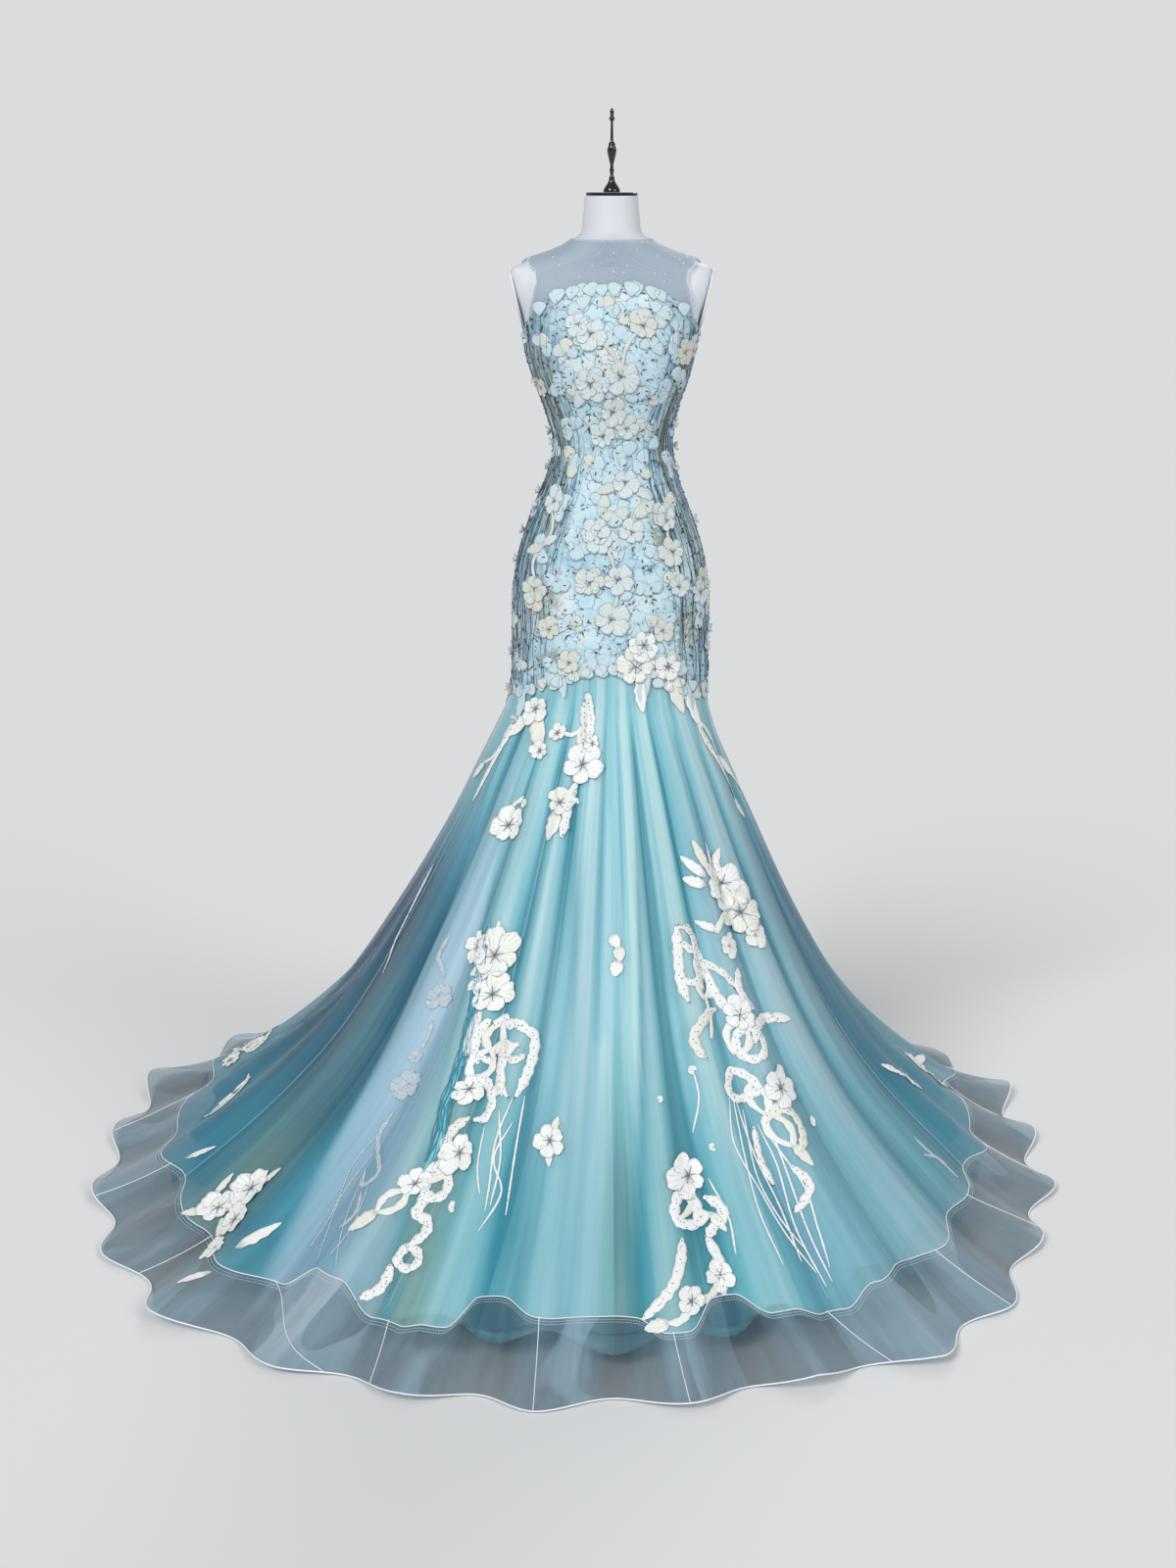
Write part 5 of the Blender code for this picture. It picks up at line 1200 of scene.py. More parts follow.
def attribute(tree, name, output="Fac"):
    return wire(tree, "ShaderNodeAttribute", attribute_name=name).outputs[output]


def object_place(tree):
    return wire(tree, "ShaderNodeTexCoord").outputs["Object"]


def streaks(tree, count, down, detail=3.0):
    """Streaks down the cloth, about count of them all the way round, seamless."""
    across = count / (2 * math.pi)
    around = attribute(tree, "around", "Vector")
    return noise(tree, stretched(tree, around, (across, across, down)), 1.0, detail, 0.6)


def dye_and_painted_shade(tree, trough, middle, light, pale):
    """The skirt's colour: turquoise dye in streaks, a lilac veil and cream in places, painted highlight on
    the fold ridges, painted shade in the troughs and creases, and navy and teal at the sides, partly dye and
    partly painted shade.
    """
    broad, fine, hair = streaks(tree, 22, 0.5), streaks(tree, 74, 0.9, 4.0), streaks(tree, 330, 2.0, 2.0)
    layers = ramp(tree, streaks(tree, 34, 0.7, 1.0), ((0.50, 0.0), (0.512, 1.0)), smooth=False)
    low, side = attribute(tree, "low"), attribute(tree, "side")
    # Painted highlight on the fold ridges and painted shade in the troughs and creases, on top of the dye's
    # streaks
    depth = weighed(
        tree, (attribute(tree, "fold"), 0.20), (broad, 0.42), (fine, 0.34), (hair, 0.06), (layers, 0.09),
        (attribute(tree, "crease"), -0.26), (ramp(tree, low, ((0.52, 0.0), (0.84, 1.0))), -0.15),
    )
    colour = ramp(tree, depth, ((0.26, trough), (0.38, middle), (0.50, light), (0.67, pale)))
    sea = ramp(tree, maths(tree, "ADD", low, times(tree, broad, 0.25)), (
        (0.35, (0.060, 0.250, 0.400)), (0.60, (0.008, 0.050, 0.140)), (0.84, (0.012, 0.100, 0.190)),
        (0.98, (0.018, 0.230, 0.360)),
    ))
    sea = blend_colour(tree, ramp(tree, fine, ((0.50, 0.0), (0.74, 0.50))), sea, (0.07, 0.26, 0.36))
    # Painted shade at the sides: the sea's navy where the side share is high, teal where it is low
    sea = blend_colour(tree, times(tree, side, 1.6, clamp=True), (0.022, 0.300, 0.410), sea)
    deep = times(tree, attribute(tree, "deep"), ramp(tree, low, ((0.05, 0.15), (0.40, 0.95))))
    colour = blend_colour(tree, deep, colour, sea)
    lilac = blend_colour(tree, fine, (0.22, 0.40, 0.56), (0.44, 0.60, 0.74))
    veil = times(tree, attribute(tree, "veil"), ramp(tree, low, ((0.0, 0.25), (0.40, 0.85))))
    veil = times(tree, veil, ramp(tree, broad, ((0.30, 0.62), (0.60, 1.0))))
    colour = blend_colour(tree, veil, colour, lilac)
    cream = times(tree, attribute(tree, "cream"), ramp(tree, low, ((0.05, 0.35), (0.85, 0.80))))
    cream = times(tree, cream, ramp(tree, fine, ((0.34, 0.40), (0.60, 1.0))))
    # Cream gives way near the top where the painted side shade lies
    above = times(tree, side, ramp(tree, low, ((0.74, 1.0), (0.86, 0.0))))
    cream = times(tree, cream, maths(tree, "SUBTRACT", 1.0, above), clamp=True)
    # Sand, darker where the painted side shade lies
    sand = ramp(tree, low, ((0.45, (0.60, 0.80, 0.78)), (0.85, (0.40, 0.48, 0.36))))
    sand = blend_colour(tree, side, sand, (0.10, 0.20, 0.16))
    return blend_colour(tree, cream, colour, sand), broad, fine, hair


def organza_finish(colours):
    """Sheer crisp organza over the underskirt."""
    made, tree, shader = finish("skirt_organza", rough=0.42, Sheen_Weight=0.12, Sheen_Roughness=0.35)
    colour, broad, fine, hair = dye_and_painted_shade(tree, *colours)
    feed(tree, shader, colour)
    weave = bands(tree, object_place(tree), 190.0, 1.5, "Z", 1.0)
    bump(tree, shader, maths(tree, "ADD", weave, hair), 0.12, 0.0004)
    cover = weighed(tree, (fine, 0.50), (attribute(tree, "veil"), 0.12), (broad, 0.30))
    feed(tree, shader, ramp(tree, cover, ((0.25, 0.52), (0.65, 0.90))), "Alpha")
    return made


def band_finish():
    """The smoky see-through organza of the hem band, denser where its crisp folds lie double, with painted
    highlight on the fold ridges.
    """
    made, tree, shader = finish("hem_organza", rough=0.34, Sheen_Weight=0.3, Sheen_Roughness=0.3)
    fine, broad = streaks(tree, 90, 5.0, 4.0), streaks(tree, 22, 7.0)
    doubled = ramp(tree, streaks(tree, 30, 6.0, 1.0), ((0.50, 0.0), (0.508, 1.0)), smooth=False)
    # The fold share paints highlight on the ridges and shade in the troughs; the rest is the organza's smoke
    smoke = weighed(
        tree, (fine, 0.45), (broad, 0.40), (attribute(tree, "fold"), 0.14), (attribute(tree, "veil"), 0.16),
        (doubled, 0.12),
    )
    colour = ramp(tree, smoke, (
        (0.40, (0.045, 0.080, 0.115)), (0.56, (0.110, 0.200, 0.260)), (0.74, (0.240, 0.370, 0.460)),
        (0.94, (0.500, 0.620, 0.710)),
    ))
    feed(tree, shader, colour)
    grain = noise(tree, object_place(tree), 700.0, 2.0)
    bump(tree, shader, maths(tree, "ADD", grain, fine), 0.20, 0.0005)
    feed(tree, shader, ramp(tree, smoke, ((0.40, 0.50), (0.85, 0.78))), "Alpha")
    return made


def satin_finish(colours):
    """Aqua satin, coloured like the organza that lies over it, with the same painted shade and highlight."""
    made, tree, shader = finish("underskirt_satin", rough=0.38, Sheen_Weight=0.1)
    colour, *_, hair = dye_and_painted_shade(tree, *colours)
    feed(tree, shader, colour)
    bump(tree, shader, hair, 0.10, 0.0003)
    return made


def lace_finish(colour):
    """Beaded lace on its lining: ice-blue with cream, thin crackled outlines, painted shade and dark streaks
    down the sides, most on the left.
    """
    made, tree, shader = finish("beaded_lace", rough=0.60, Sheen_Weight=0.25)
    place = object_place(tree)
    warp = wire(tree, "ShaderNodeTexNoise", {"Vector": place, "Scale": 34.0, "Detail": 3.0}).outputs["Color"]
    bent = wire(tree, "ShaderNodeMixRGB", {0: 0.035, 1: place, 2: warp}).outputs[0]
    side, patch = attribute(tree, "side"), attribute(tree, "patch")
    cloud, soft = noise(tree, place, 8.0, 2.0), noise(tree, place, 26.0, 4.0, 0.6)
    ground = ramp(tree, weighed(tree, (cloud, 0.6), (soft, 0.4)), (
        (0.36, (0.40, 0.61, 0.73)), (0.47, colour), (0.57, (0.72, 0.81, 0.84)), (0.66, (0.74, 0.76, 0.62)),
    ))
    # Painted shade down the sides, darkest on the left
    shade = times(tree, side, ramp(tree, soft, ((0.36, 0.98), (0.62, 0.50))))
    ground = blend_colour(tree, shade, ground, (0.12, 0.32, 0.46))
    long = streaks(tree, 150, 9.0, 5.0)
    lines = ramp(tree, long, ((0.42, 1.0), (0.47, 0.0), (0.53, 0.0), (0.58, 1.0)), smooth=False)
    # The streaks darken the lace only where the painted side shade lies
    lines = times(tree, maths(tree, "SUBTRACT", 1.0, lines), side, clamp=True)
    ground = blend_colour(tree, times(tree, lines, 0.65), ground, (0.02, 0.05, 0.10))
    gold = blend_colour(tree, noise(tree, place, 240.0, 2.0), (0.08, 0.09, 0.05), (0.52, 0.52, 0.36))
    ragged = times(tree, patch, ramp(tree, noise(tree, place, 150.0, 4.0), ((0.36, 0.0), (0.54, 1.0))))
    ground = blend_colour(tree, times(tree, ragged, 0.85), ground, gold)
    thin = ramp(tree, cell_edges(tree, bent, 40.0), ((0.010, 1.0), (0.036, 0.0)), smooth=False)
    broken = times(tree, thin, ramp(tree, noise(tree, place, 60.0), ((0.42, 0.0), (0.52, 1.0))))
    thin = ramp(tree, cell_edges(tree, bent, 82.0), ((0.012, 1.0), (0.045, 0.0)), smooth=False)
    thin = times(tree, thin, ramp(tree, noise(tree, place, 44.0), ((0.50, 0.0), (0.58, 0.7))))
    broken = maths(tree, "MAXIMUM", broken, thin)
    ground = blend_colour(tree, times(tree, broken, 0.70), ground, (0.05, 0.09, 0.14))
    stipple = ramp(tree, noise(tree, place, 480.0, 2.0, 0.7), ((0.60, 0.0), (0.66, 1.0)))
    stipple = times(tree, stipple, ramp(tree, noise(tree, place, 22.0, 3.0), ((0.46, 0.0), (0.62, 0.6))))
    ground = blend_colour(tree, stipple, ground, (0.08, 0.14, 0.20))
    feed(tree, shader, ground)
    relief = maths(tree, "SUBTRACT", times(tree, soft, 0.7), broken)
    bump(tree, shader, maths(tree, "ADD", relief, times(tree, long, 0.5)), 0.45, 0.0010)
    return made


def net_finish(colour):
    """Fine illusion net."""
    made, tree, shader = finish("illusion_net", colour=colour, rough=0.55, Sheen_Weight=0.2)
    cells = cell_edges(tree, object_place(tree), 620.0, 0.35)
    feed(tree, shader, ramp(tree, cells, ((0.06, 0.78), (0.16, 0.50))), "Alpha")
    return made


def petal_finish(name, pale, warm, line, strength, rimmed, middled):
    """Embroidered petals: veins that fan out, a stitched rim and a dark pinched middle."""
    made, tree, shader = finish(name, rough=0.72, Sheen_Weight=0.3)
    uv = wire(tree, "ShaderNodeUVMap", uv_map="cloth").outputs[0]
    place = object_place(tree)
    parts = wire(tree, "ShaderNodeSeparateXYZ", {0: uv})
    u, v = parts.outputs[0], parts.outputs[1]
    grain = noise(tree, place, 420.0, 3.0, 0.7)
    wobble = times(tree, noise(tree, place, 90.0, 2.0), 1.6)
    ribs = maths(tree, "SINE", maths(tree, "ADD", times(tree, u, 34.0), wobble))
    veins = ramp(tree, ribs, ((0.88, 0.0), (1.0, 1.0)))
    veins = times(tree, veins, ramp(tree, grain, ((0.42, 0.0), (0.58, 1.0))))
    edge = maths(tree, "MINIMUM", u, maths(tree, "SUBTRACT", 1.0, u))
    edge = maths(tree, "MINIMUM", edge, times(tree, maths(tree, "SUBTRACT", 1.0, v), 0.7))
    rim = ramp(tree, edge, ((rimmed * 0.3, 1.0), (rimmed, 0.0)))
    middle = ramp(tree, maths(tree, "ADD", v, times(tree, grain, 0.20)), ((0.20, 1.0), (0.40, 0.0)))
    base = blend_colour(tree, attribute(tree, "tone"), pale, warm)
    base = blend_colour(tree, times(tree, noise(tree, place, 60.0), 0.22), base, (0.62, 0.72, 0.80))
    dark = times(tree, maths(tree, "MAXIMUM", veins, rim), strength)
    dark = maths(tree, "MAXIMUM", dark, times(tree, middle, middled))
    feed(tree, shader, blend_colour(tree, dark, base, line))
    bump(tree, shader, maths(tree, "SUBTRACT", times(tree, grain, 0.5), veins), 0.6, 0.0010)
    return made


def veil_finish():
    """Pale lace seen through the veil."""
    made, tree, shader = finish("veiled_lace", rough=0.75, Alpha=0.55)
    grain = noise(tree, object_place(tree), 380.0, 3.0, 0.7)
    colour = ramp(tree, grain, ((0.40, (0.48, 0.60, 0.74)), (0.58, (0.80, 0.86, 0.86))))
    feed(tree, shader, colour)
    bump(tree, shader, grain, 0.5, 0.0008)
    return made


def cord_finish(name, pale, line):
    """Corded embroidery: slanting satin stitches with darker flecks and painted shade between the stitches.
    """
    made, tree, shader = finish(name, rough=0.68, Sheen_Weight=0.3)
    uv = wire(tree, "ShaderNodeUVMap", uv_map="cloth").outputs[0]
    place = object_place(tree)
    stitch = bands(tree, stretched(tree, uv, (1.0, 9.0, 1.0)), 2.2, 1.0, "DIAGONAL")
    fleck = ramp(tree, noise(tree, place, 300.0, 2.0), ((0.66, 0.0), (0.71, 1.0)))
    base = blend_colour(tree, attribute(tree, "tone"), pale, (0.80, 0.79, 0.66))
    # Painted shade between the satin stitches
    shade = maths(tree, "ADD", times(tree, stitch, -0.12), 0.12)
    base = blend_colour(tree, shade, base, (0.56, 0.68, 0.76))
    feed(tree, shader, blend_colour(tree, times(tree, fleck, 0.6), base, line))
    bump(tree, shader, stitch, 0.4, 0.0006)
    return made


def thread_finish(name, colour):
    made, tree, shader = finish(name, colour=colour, rough=0.55, Sheen_Weight=0.4)
    twist = noise(tree, object_place(tree), 900.0, 1.0)
    darker = tuple(c * 0.7 for c in colour)
    feed(tree, shader, blend_colour(tree, times(tree, twist, 0.4), colour, darker))
    bump(tree, shader, twist, 0.4, 0.0003)
    return made


def cover_finish():
    """The form's smooth stretched cover, with the faintest grain."""
    made, tree, shader = finish("form_cover", rough=0.48, Coat_Weight=0.08, Coat_Roughness=0.4)
    place = object_place(tree)
    cloud = noise(tree, place, 6.0, 2.0)
    feed(tree, shader, ramp(tree, cloud, ((0.3, (0.68, 0.70, 0.75)), (0.7, (0.75, 0.77, 0.82)))))
    bump(tree, shader, noise(tree, place, 850.0, 2.0), 0.10, 0.0002)
    return made


def lacquer_finish(name, colour, rough, metallic=0.0):
    made, tree, shader = finish(name, colour=colour, rough=rough, Metallic=metallic, Coat_Weight=0.3)
    place = object_place(tree)
    wear = ramp(tree, noise(tree, place, 70.0, 3.0), ((0.3, rough * 0.7), (0.75, rough * 1.5)))
    feed(tree, shader, wear, "Roughness")
    bump(tree, shader, noise(tree, place, 300.0, 2.0), 0.04, 0.0002)
    return made


def button_finish():
    """The bodice's satin, drawn over a button."""
    made, tree, shader = finish("covered_button", rough=0.34, Sheen_Weight=0.3)
    place = object_place(tree)
    bump(tree, shader, noise(tree, place, 700.0, 2.0), 0.3, 0.0002)
    cloud = noise(tree, place, 90.0)
    feed(tree, shader, ramp(tree, cloud, ((0.3, (0.50, 0.66, 0.76)), (0.7, (0.66, 0.79, 0.86)))))
    return made


def bead_finish(name, colour, rough, **sockets):
    made, tree, shader = finish(name, colour=colour, rough=rough, **sockets)
    tint = noise(tree, object_place(tree), 120.0, 1.0)
    lighter = tuple(min(1.0, c * 1.6 + 0.03) for c in colour)
    feed(tree, shader, blend_colour(tree, tint, colour, lighter))
    return made


def known(name, make, *values):
    """A material made once and used again."""
    return bpy.data.materials.get(name) or make(name, *values)


def petals_of(name):
    return known(name, petal_finish, *PETALS[name])


def stamen_threads(name, paths, radius):
    return corded(name, paths, radius, 4, known("stamen_thread", thread_finish, (0.10, 0.14, 0.19)))


def side_shade_share(angles, heights):
    """Painted shade at the sides: 0 at the front and back and more towards the sides, most on the left and
    least at the hips.
    """
    share = np.clip(np.abs(np.cos(angles)) * 2.4 - 1.46, 0, 1) * np.where(np.cos(angles) > 0, 0.46, 0.90)
    return share * np.interp(heights, *HIP_PALENESS)


def dye_share(name, angles, heights):
    column = DYE_COLUMNS.index(name)
    degrees = np.degrees(angles) % 360
    degrees = degrees + np.interp(degrees, *zip(*DYE_SLANT)) * (heights - 0.1)
    return np.interp(degrees, [row[0] for row in DYE], [row[column] / 100 for row in DYE], period=360)


def dress_sheet(name, angles, heights, points, finish_used, extra=None):
    """A sheet all the way round, with its UV map and the values that its finish reads."""
    turned = np.append(angles, angles[0] + 2 * math.pi) / (2 * math.pi)
    tall = np.concatenate([heights, heights[:, :1]], axis=1)
    uv = np.stack([np.broadcast_to(turned, tall.shape), tall], axis=-1)
    flat = np.broadcast_to(angles, heights.shape)
    values = {
        # fold and crease carry the painted highlight and shade of the folds, side the painted shade at the
        # sides
        "fold": ridge_wave(flat),
        "side": side_shade_share(flat, heights),
        "crease": np.clip(crease_depth(flat, heights) / 0.005, 0, 1),
        "low": np.clip(1 - heights / LACE_EDGE, 0, 1),
        **{label: dye_share(label, flat, heights) for label in ("veil", "deep", "cream")},
        "around": np.stack([np.cos(flat), np.sin(flat), heights], axis=-1),
        **(extra or {}),
    }
    return grid_object(name, points, True, uv, values, finish_used)


def all_round(count):
    return np.arange(count) * 2 * math.pi / count


def patch_share(angles, heights):
    share = np.zeros(np.broadcast(angles, heights).shape)
    for angle, height, half, tall in PATCHES:
        far = (apart(angles, angle) / half) ** 2 + ((heights - height) / tall) ** 2
        share = np.maximum(share, np.exp(-far ** 2))
    return share


# The form and its stand


def torso_points(angles):
    """Rows of the torso's outside, from the neck's top down to its underside."""
    top, foot = top_edge(angles), lace_edge(angles)
    rows = [(height + 0 * top, SHOULDER_INSET) for height in np.linspace(NECK_TOP, NECK_ROWS_END, 9)]
    rows += [(mix(top, NECK_FOOT, share), SHOULDER_INSET) for share in np.linspace(1, 0, 26)[1:]]
    for share in np.linspace(0, 1, 60)[1:]:
        rows.append((mix(top, foot, share), BODICE_INSET + LACE_EDGE_INSET * share**20))
    points = []
    for heights, inset in rows:
        ring = out_from(angles, heights, -inset)
        if heights.min() > NECK_LEVEL:
            ring[:, 2] = heights
        points.append(ring)
    last = points[-1]
    for share, draw in TORSO_FOOT_ROWS:
        ring = last * (1 - draw / np.linalg.norm(last[:, :2], axis=1, keepdims=True))
        ring[:, 2] = mix(last[:, 2], TORSO_FOOT, share)
        points.append(ring)
    points = np.array(points)
    limit = ARM_PLANE_X + ARM_PLANE_LEAN * (points[:, :, 2] - ARM_PLANE_Z) - TORSO_GAP
    beyond = (points[:, :, 2] > ARM_PLATE_FROM) & (np.abs(points[:, :, 0]) > limit)
    points[:, :, 0] = np.where(beyond, np.sign(points[:, :, 0]) * limit, points[:, :, 0])
    points = np.concatenate([points[:1] * (0.985, 0.985, 1), points, points[-1:] * (0.9, 0.9, 1)])
    points[0, :, 2] = NECK_TOP
    return points


def torso_piece(material):
    points = torso_points(all_round(FORM_COLUMNS))
    uv = np.zeros((len(points), FORM_COLUMNS + 1, 2))
    made = grid_object("form_torso_cover", points, True, uv, {}, material)
    shape = bmesh.new()
    shape.from_mesh(made.data)
    bmesh.ops.holes_fill(shape, edges=[edge for edge in shape.edges if edge.is_boundary])
    shape.to_mesh(made.data)
    shape.free()
    soften(made.data, 50)
    return made


def arm_plates(material):
    """Both oval arm plates as one piece, leaning with the arm plane."""
    shape = bmesh.new()
    size = Matrix.Diagonal((ARM_PLATE_HEIGHT, ARM_PLATE_DEPTH, 1, 1))
    for side in (-1, 1):
        reach = ARM_PLANE_X + ARM_PLANE_LEAN * (ARM_PLATE_Z - ARM_PLANE_Z) - ARM_PLATE_THICKNESS / 2
        place = Matrix.Translation((side * reach, ARM_PLATE_BACK, ARM_PLATE_Z))
        turn = Matrix.Rotation(side * (math.pi / 2 + math.atan(ARM_PLANE_LEAN)), 4, "Y")
        bmesh.ops.create_cone(
            shape, cap_ends=True, segments=64, radius1=0.5, radius2=0.5, depth=ARM_PLATE_THICKNESS,
            matrix=place @ turn @ size,
        )
    bevelled = [edge for edge in shape.edges if len(edge.link_faces) == 2 and edge.calc_face_angle(0) > 1]
    bmesh.ops.bevel(shape, geom=bevelled, offset=0.0012, segments=3, affect="EDGES", profile=0.5)
    made = new_object("form_arm_plates", (), material=material)
    shape.to_mesh(made.data)
    shape.free()
    soften(made.data, 40)
    return made


def turned_piece(name, profile, foot, steps, material):
    """A turned piece from a profile of radius and height."""
    points = [(radius / 1000, 0.0, foot + height / 1000) for radius, height in profile[::-1]]
    made = new_object(name, points, [(k, k + 1) for k in range(len(points) - 1)])
    screw = made.modifiers.new("Turning", "SCREW")
    screw.steps = screw.render_steps = steps
    screw.use_merge_vertices = True
    screw.merge_threshold = 0.00005
    screw.use_smooth_shade = True
    settle(made)
    soften(made.data, 42)
    made.data.materials.append(material)
    return made


class DRESS_OT_form(Operator):
    """The limbless form: torso with its neck, arm plates, cap and finial"""

    bl_idname = "dress.form"
    bl_label = "Dress form"

    def execute(self, context):
        cover = cover_finish()
        black = lacquer_finish("gloss_black", (0.012, 0.012, 0.014), 0.14)
        torso, ends = torso_piece(cover), arm_plates(cover)
        cap = turned_piece("form_cap", CAP, NECK_TOP + CAP_GAP, 96, black)
        finial = turned_piece("form_finial_turned", FINIAL, NECK_TOP + FINIAL_GAP, 48, black)
        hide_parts("form_torso")
        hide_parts("form_arm_plate_left", "form_arm_plate_right")
        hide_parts("form_neck_cap")
        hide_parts("form_finial")
        fit("form_cover", torso, ends)
        fit("gloss_black", cap, finial)
        return {"FINISHED"}


class DRESS_OT_stand(Operator):
    """The pole and the round base under the skirt"""

    bl_idname = "dress.stand"
    bl_label = "Stand"

    def execute(self, context):
        black = lacquer_finish("base_black", (0.020, 0.020, 0.023), 0.36, 0.4)
        steel = lacquer_finish("pole_steel", (0.62, 0.63, 0.65), 0.18, 1.0)
        base = turned_piece("form_base_plate", BASE, 0.0, 96, black)
        pole = turned_piece("form_pole_tube", POLE, POLE_FOOT, 64, steel)
        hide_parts("form_base")
        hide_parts("form_pole")
        fit("base_black", base)
        fit("pole_steel", pole)
        return {"FINISHED"}


# Skirts, bodice, yoke and placket


class DRESS_OT_skirts(Operator):
    """Overskirt, hem band and underskirt"""

    bl_idname = "dress.skirts"
    bl_label = "Skirts"

    def execute(self, context):
        cloth = context.scene.dress_cloth
        dyes = [tuple(getattr(cloth, name)) for name in DYES]
        angles = all_round(cloth.columns)
        foot = np.minimum(band_top(angles), band_line(angles)) - 0.006
        heights = mix(lace_edge(angles) - SEAM, foot, rows_down(LONG_ROWS) ** 1.05)
        over = dress_sheet("overskirt", angles, heights, cloth_point(angles, heights), organza_finish(dyes))

        heights = band_line(angles) * (1 - rows_down(BAND_ROWS))
        points = cloth_point(angles, heights, inset=-BAND_PROUD)
        band = dress_sheet("hem_band_ruffled", angles, heights, points, band_finish())

        angles = all_round(cloth.columns // 2)
        share = rows_down(UNDER_ROWS)
        foot = band_top(angles) - FRONT_DIP * np.clip(1 - from_front(angles) / FRONT_DIP_REACH, 0, 1) ** 0.5
        heights = mix(lace_edge(angles) - SEAM, foot, share)
        gap = SKIRT_GAP + SKIRT_PARTING * share**0.7
        points = cloth_point(angles, heights, inset=gap + SEAM, creases=0.25, folds=0.0)
        under = dress_sheet("underskirt_flared", angles, heights, points, satin_finish(dyes))
        thicken(under, SATIN_THICKNESS, -1)

        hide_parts(*["skirt_" + name for name in GORE_NAMES])
        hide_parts(*["hem_band_" + name for name in GORE_NAMES])
        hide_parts("underskirt_back", "underskirt_front", "underskirt_left", "underskirt_right")
        fit("skirt_organza", over)
        fit("hem_organza", band)
        fit("underskirt_satin", under)
        return {"FINISHED"}


class DRESS_OT_bodice(Operator):
    """The fitted bodice's lace and its scattered bugle beads"""

    bl_idname = "dress.bodice"
    bl_label = "Bodice"

    def execute(self, context):
        cloth, beads = context.scene.dress_cloth, context.scene.dress_beads
        lace = lace_finish(tuple(cloth.lace))
        angles = all_round(BODICE_COLUMNS)
        heights = mix(top_edge(angles), lace_edge(angles), rows_down(LONG_ROWS))
        extra = {"patch": patch_share(np.broadcast_to(angles, heights.shape), heights)}
        shell = dress_sheet("bodice_shell", angles, heights, cloth_point(angles, heights), lace, extra)
        over = cloth_point(angles, heights, inset=-BUGLE_RISE)
        dashes = dress_sheet("bodice_bugle_beads", angles, heights, over, lace)
        thicken(shell, LACE_THICKNESS, -1)
        jet = bead_finish("bugle_bead", (0.02, 0.025, 0.035), 0.2)
        grow(
            dashes, scatter_tree("Bugles", True), Density=beads.dash_density, Radius=beads.dash_radius,
            Length=beads.dash_length, Seed=beads.seed, Material=jet,
        )
        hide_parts("bodice_front", "bodice_back_left", "bodice_back_right")
        fit("beaded_lace", shell, dashes)
        return {"FINISHED"}


def side_thread(chance, side, spread):
    """A wavy thread down one side of the bodice, drawn in towards the front or the back at the waist."""
    turn = chance.uniform(-1, 1)
    first = 0.95 + 0.49 * chance.uniform(0, 1) ** 0.6
    heights = np.linspace(first, max(first - chance.uniform(0.10, 0.30), 0.862), 22)
    drawn = 13 * np.exp(-(((heights - WAIST) / 0.10) ** 2)) * (0.4 + 0.6 * abs(turn))
    wave = chance.uniform(0.6, 1.6) * np.sin(heights * chance.uniform(30, 70) + chance.uniform(0, 6))
    degrees = side + turn * spread + math.copysign(1, turn) * drawn + wave
    inside = heights < top_edge(np.radians(degrees)) - 0.004
    return on_cloth(degrees, heights, chance.uniform(0.3, 1.1))[inside]


def rim_thread(chance):
    """A wavy thread along part of the bodice's top edge."""
    first = chance.uniform(0, 360)
    degrees = np.linspace(first, first + chance.uniform(90, 200), 120)
    wave = 0.0016 * np.sin(degrees * chance.uniform(0.3, 0.9))
    wave += 0.0012 * np.sin(degrees * chance.uniform(1.2, 2.0))
    return on_cloth(degrees, top_edge(np.radians(degrees)) - chance.uniform(0.003, 0.014) + wave, 0.8)


class DRESS_OT_threads(Operator):
    """Wavy embroidery threads down the bodice's sides"""

    bl_idname = "dress.threads"
    bl_label = "Side threads"

    def execute(self, context):
        chance = np.random.default_rng(context.scene.dress_beads.seed)
        for name, colour, count, spread, rims in THREADS:
            paths = [side_thread(chance, 180 * (k % 5 < 3), spread) for k in range(count)]
            paths += [rim_thread(chance) for k in range(rims)]
            paths = [path for path in paths if len(path) > 3]
            fit("beaded_lace", corded("bodice_" + name, paths, 0.00042, 4, thread_finish(name, colour)))
        return {"FINISHED"}


def field_petals(chance):
    """Flat overlapping petals over the bodice, three at a place and few at the sides."""
    field = Patchwork()
    for row in range(PETAL_ROWS):
        for column in range(PETAL_COLUMNS):
            degrees = 360 / PETAL_COLUMNS * (column + 0.5 * (row % 2)) + chance.uniform(-5, 5)
            height = PETAL_TOP - PETAL_PITCH * row + chance.uniform(-0.012, 0.012)
            angle, turn = math.radians(degrees), chance.uniform(0, 2 * math.pi)
            sizes = chance.uniform(21, 30, 3)
            beside = abs(math.cos(angle)) > 0.80 and chance.random() < 0.65
            if beside or not lace_edge(angle) + 0.020 < height < top_edge(angle) - 0.024:
                continue
            seat = Seat(degrees, height)
            for k, reach in enumerate(sizes):
                cup, tone = chance.uniform(0.1, 0.8), chance.choice((0.0, 0.0, 0.25, 0.9))
                bearing, bare = turn + 1.15 * k, 0.5 + 0.1 * k
                sew_petal(field, seat, 0, 0, reach, bearing, 0.66, cup, 0.15, tone, 5, bare)
    return field


def flat_flowers(chance):
    """Flat flowers with their stamens, and the small petals that stand out at the sides."""
    flowers, paths = Patchwork(), []
    for degrees, height, size, tone in BODICE_FLOWERS:
        seat, turn = Seat(degrees, height), chance.uniform(0, 72)
        sew_flower(flowers, seat, 0, 0, size * 1.2, turn, 2.2, tone, seed=int(degrees))
        paths += stamens(seat, 0, 0, 0.8 * size, turn, 3)
    for degrees, height in STANDING_PETALS:
        seat, turn = Seat(degrees, height), chance.uniform(0, 2 * math.pi)
        for k in range(3):
            reach = chance.uniform(7, 10)
            sew_petal(flowers, seat, 0, 0, reach, turn + 2.1 * k, 0.9, 6.5, 1.0, 0.2, 5, 1.0, 0.6)
    return flowers, paths


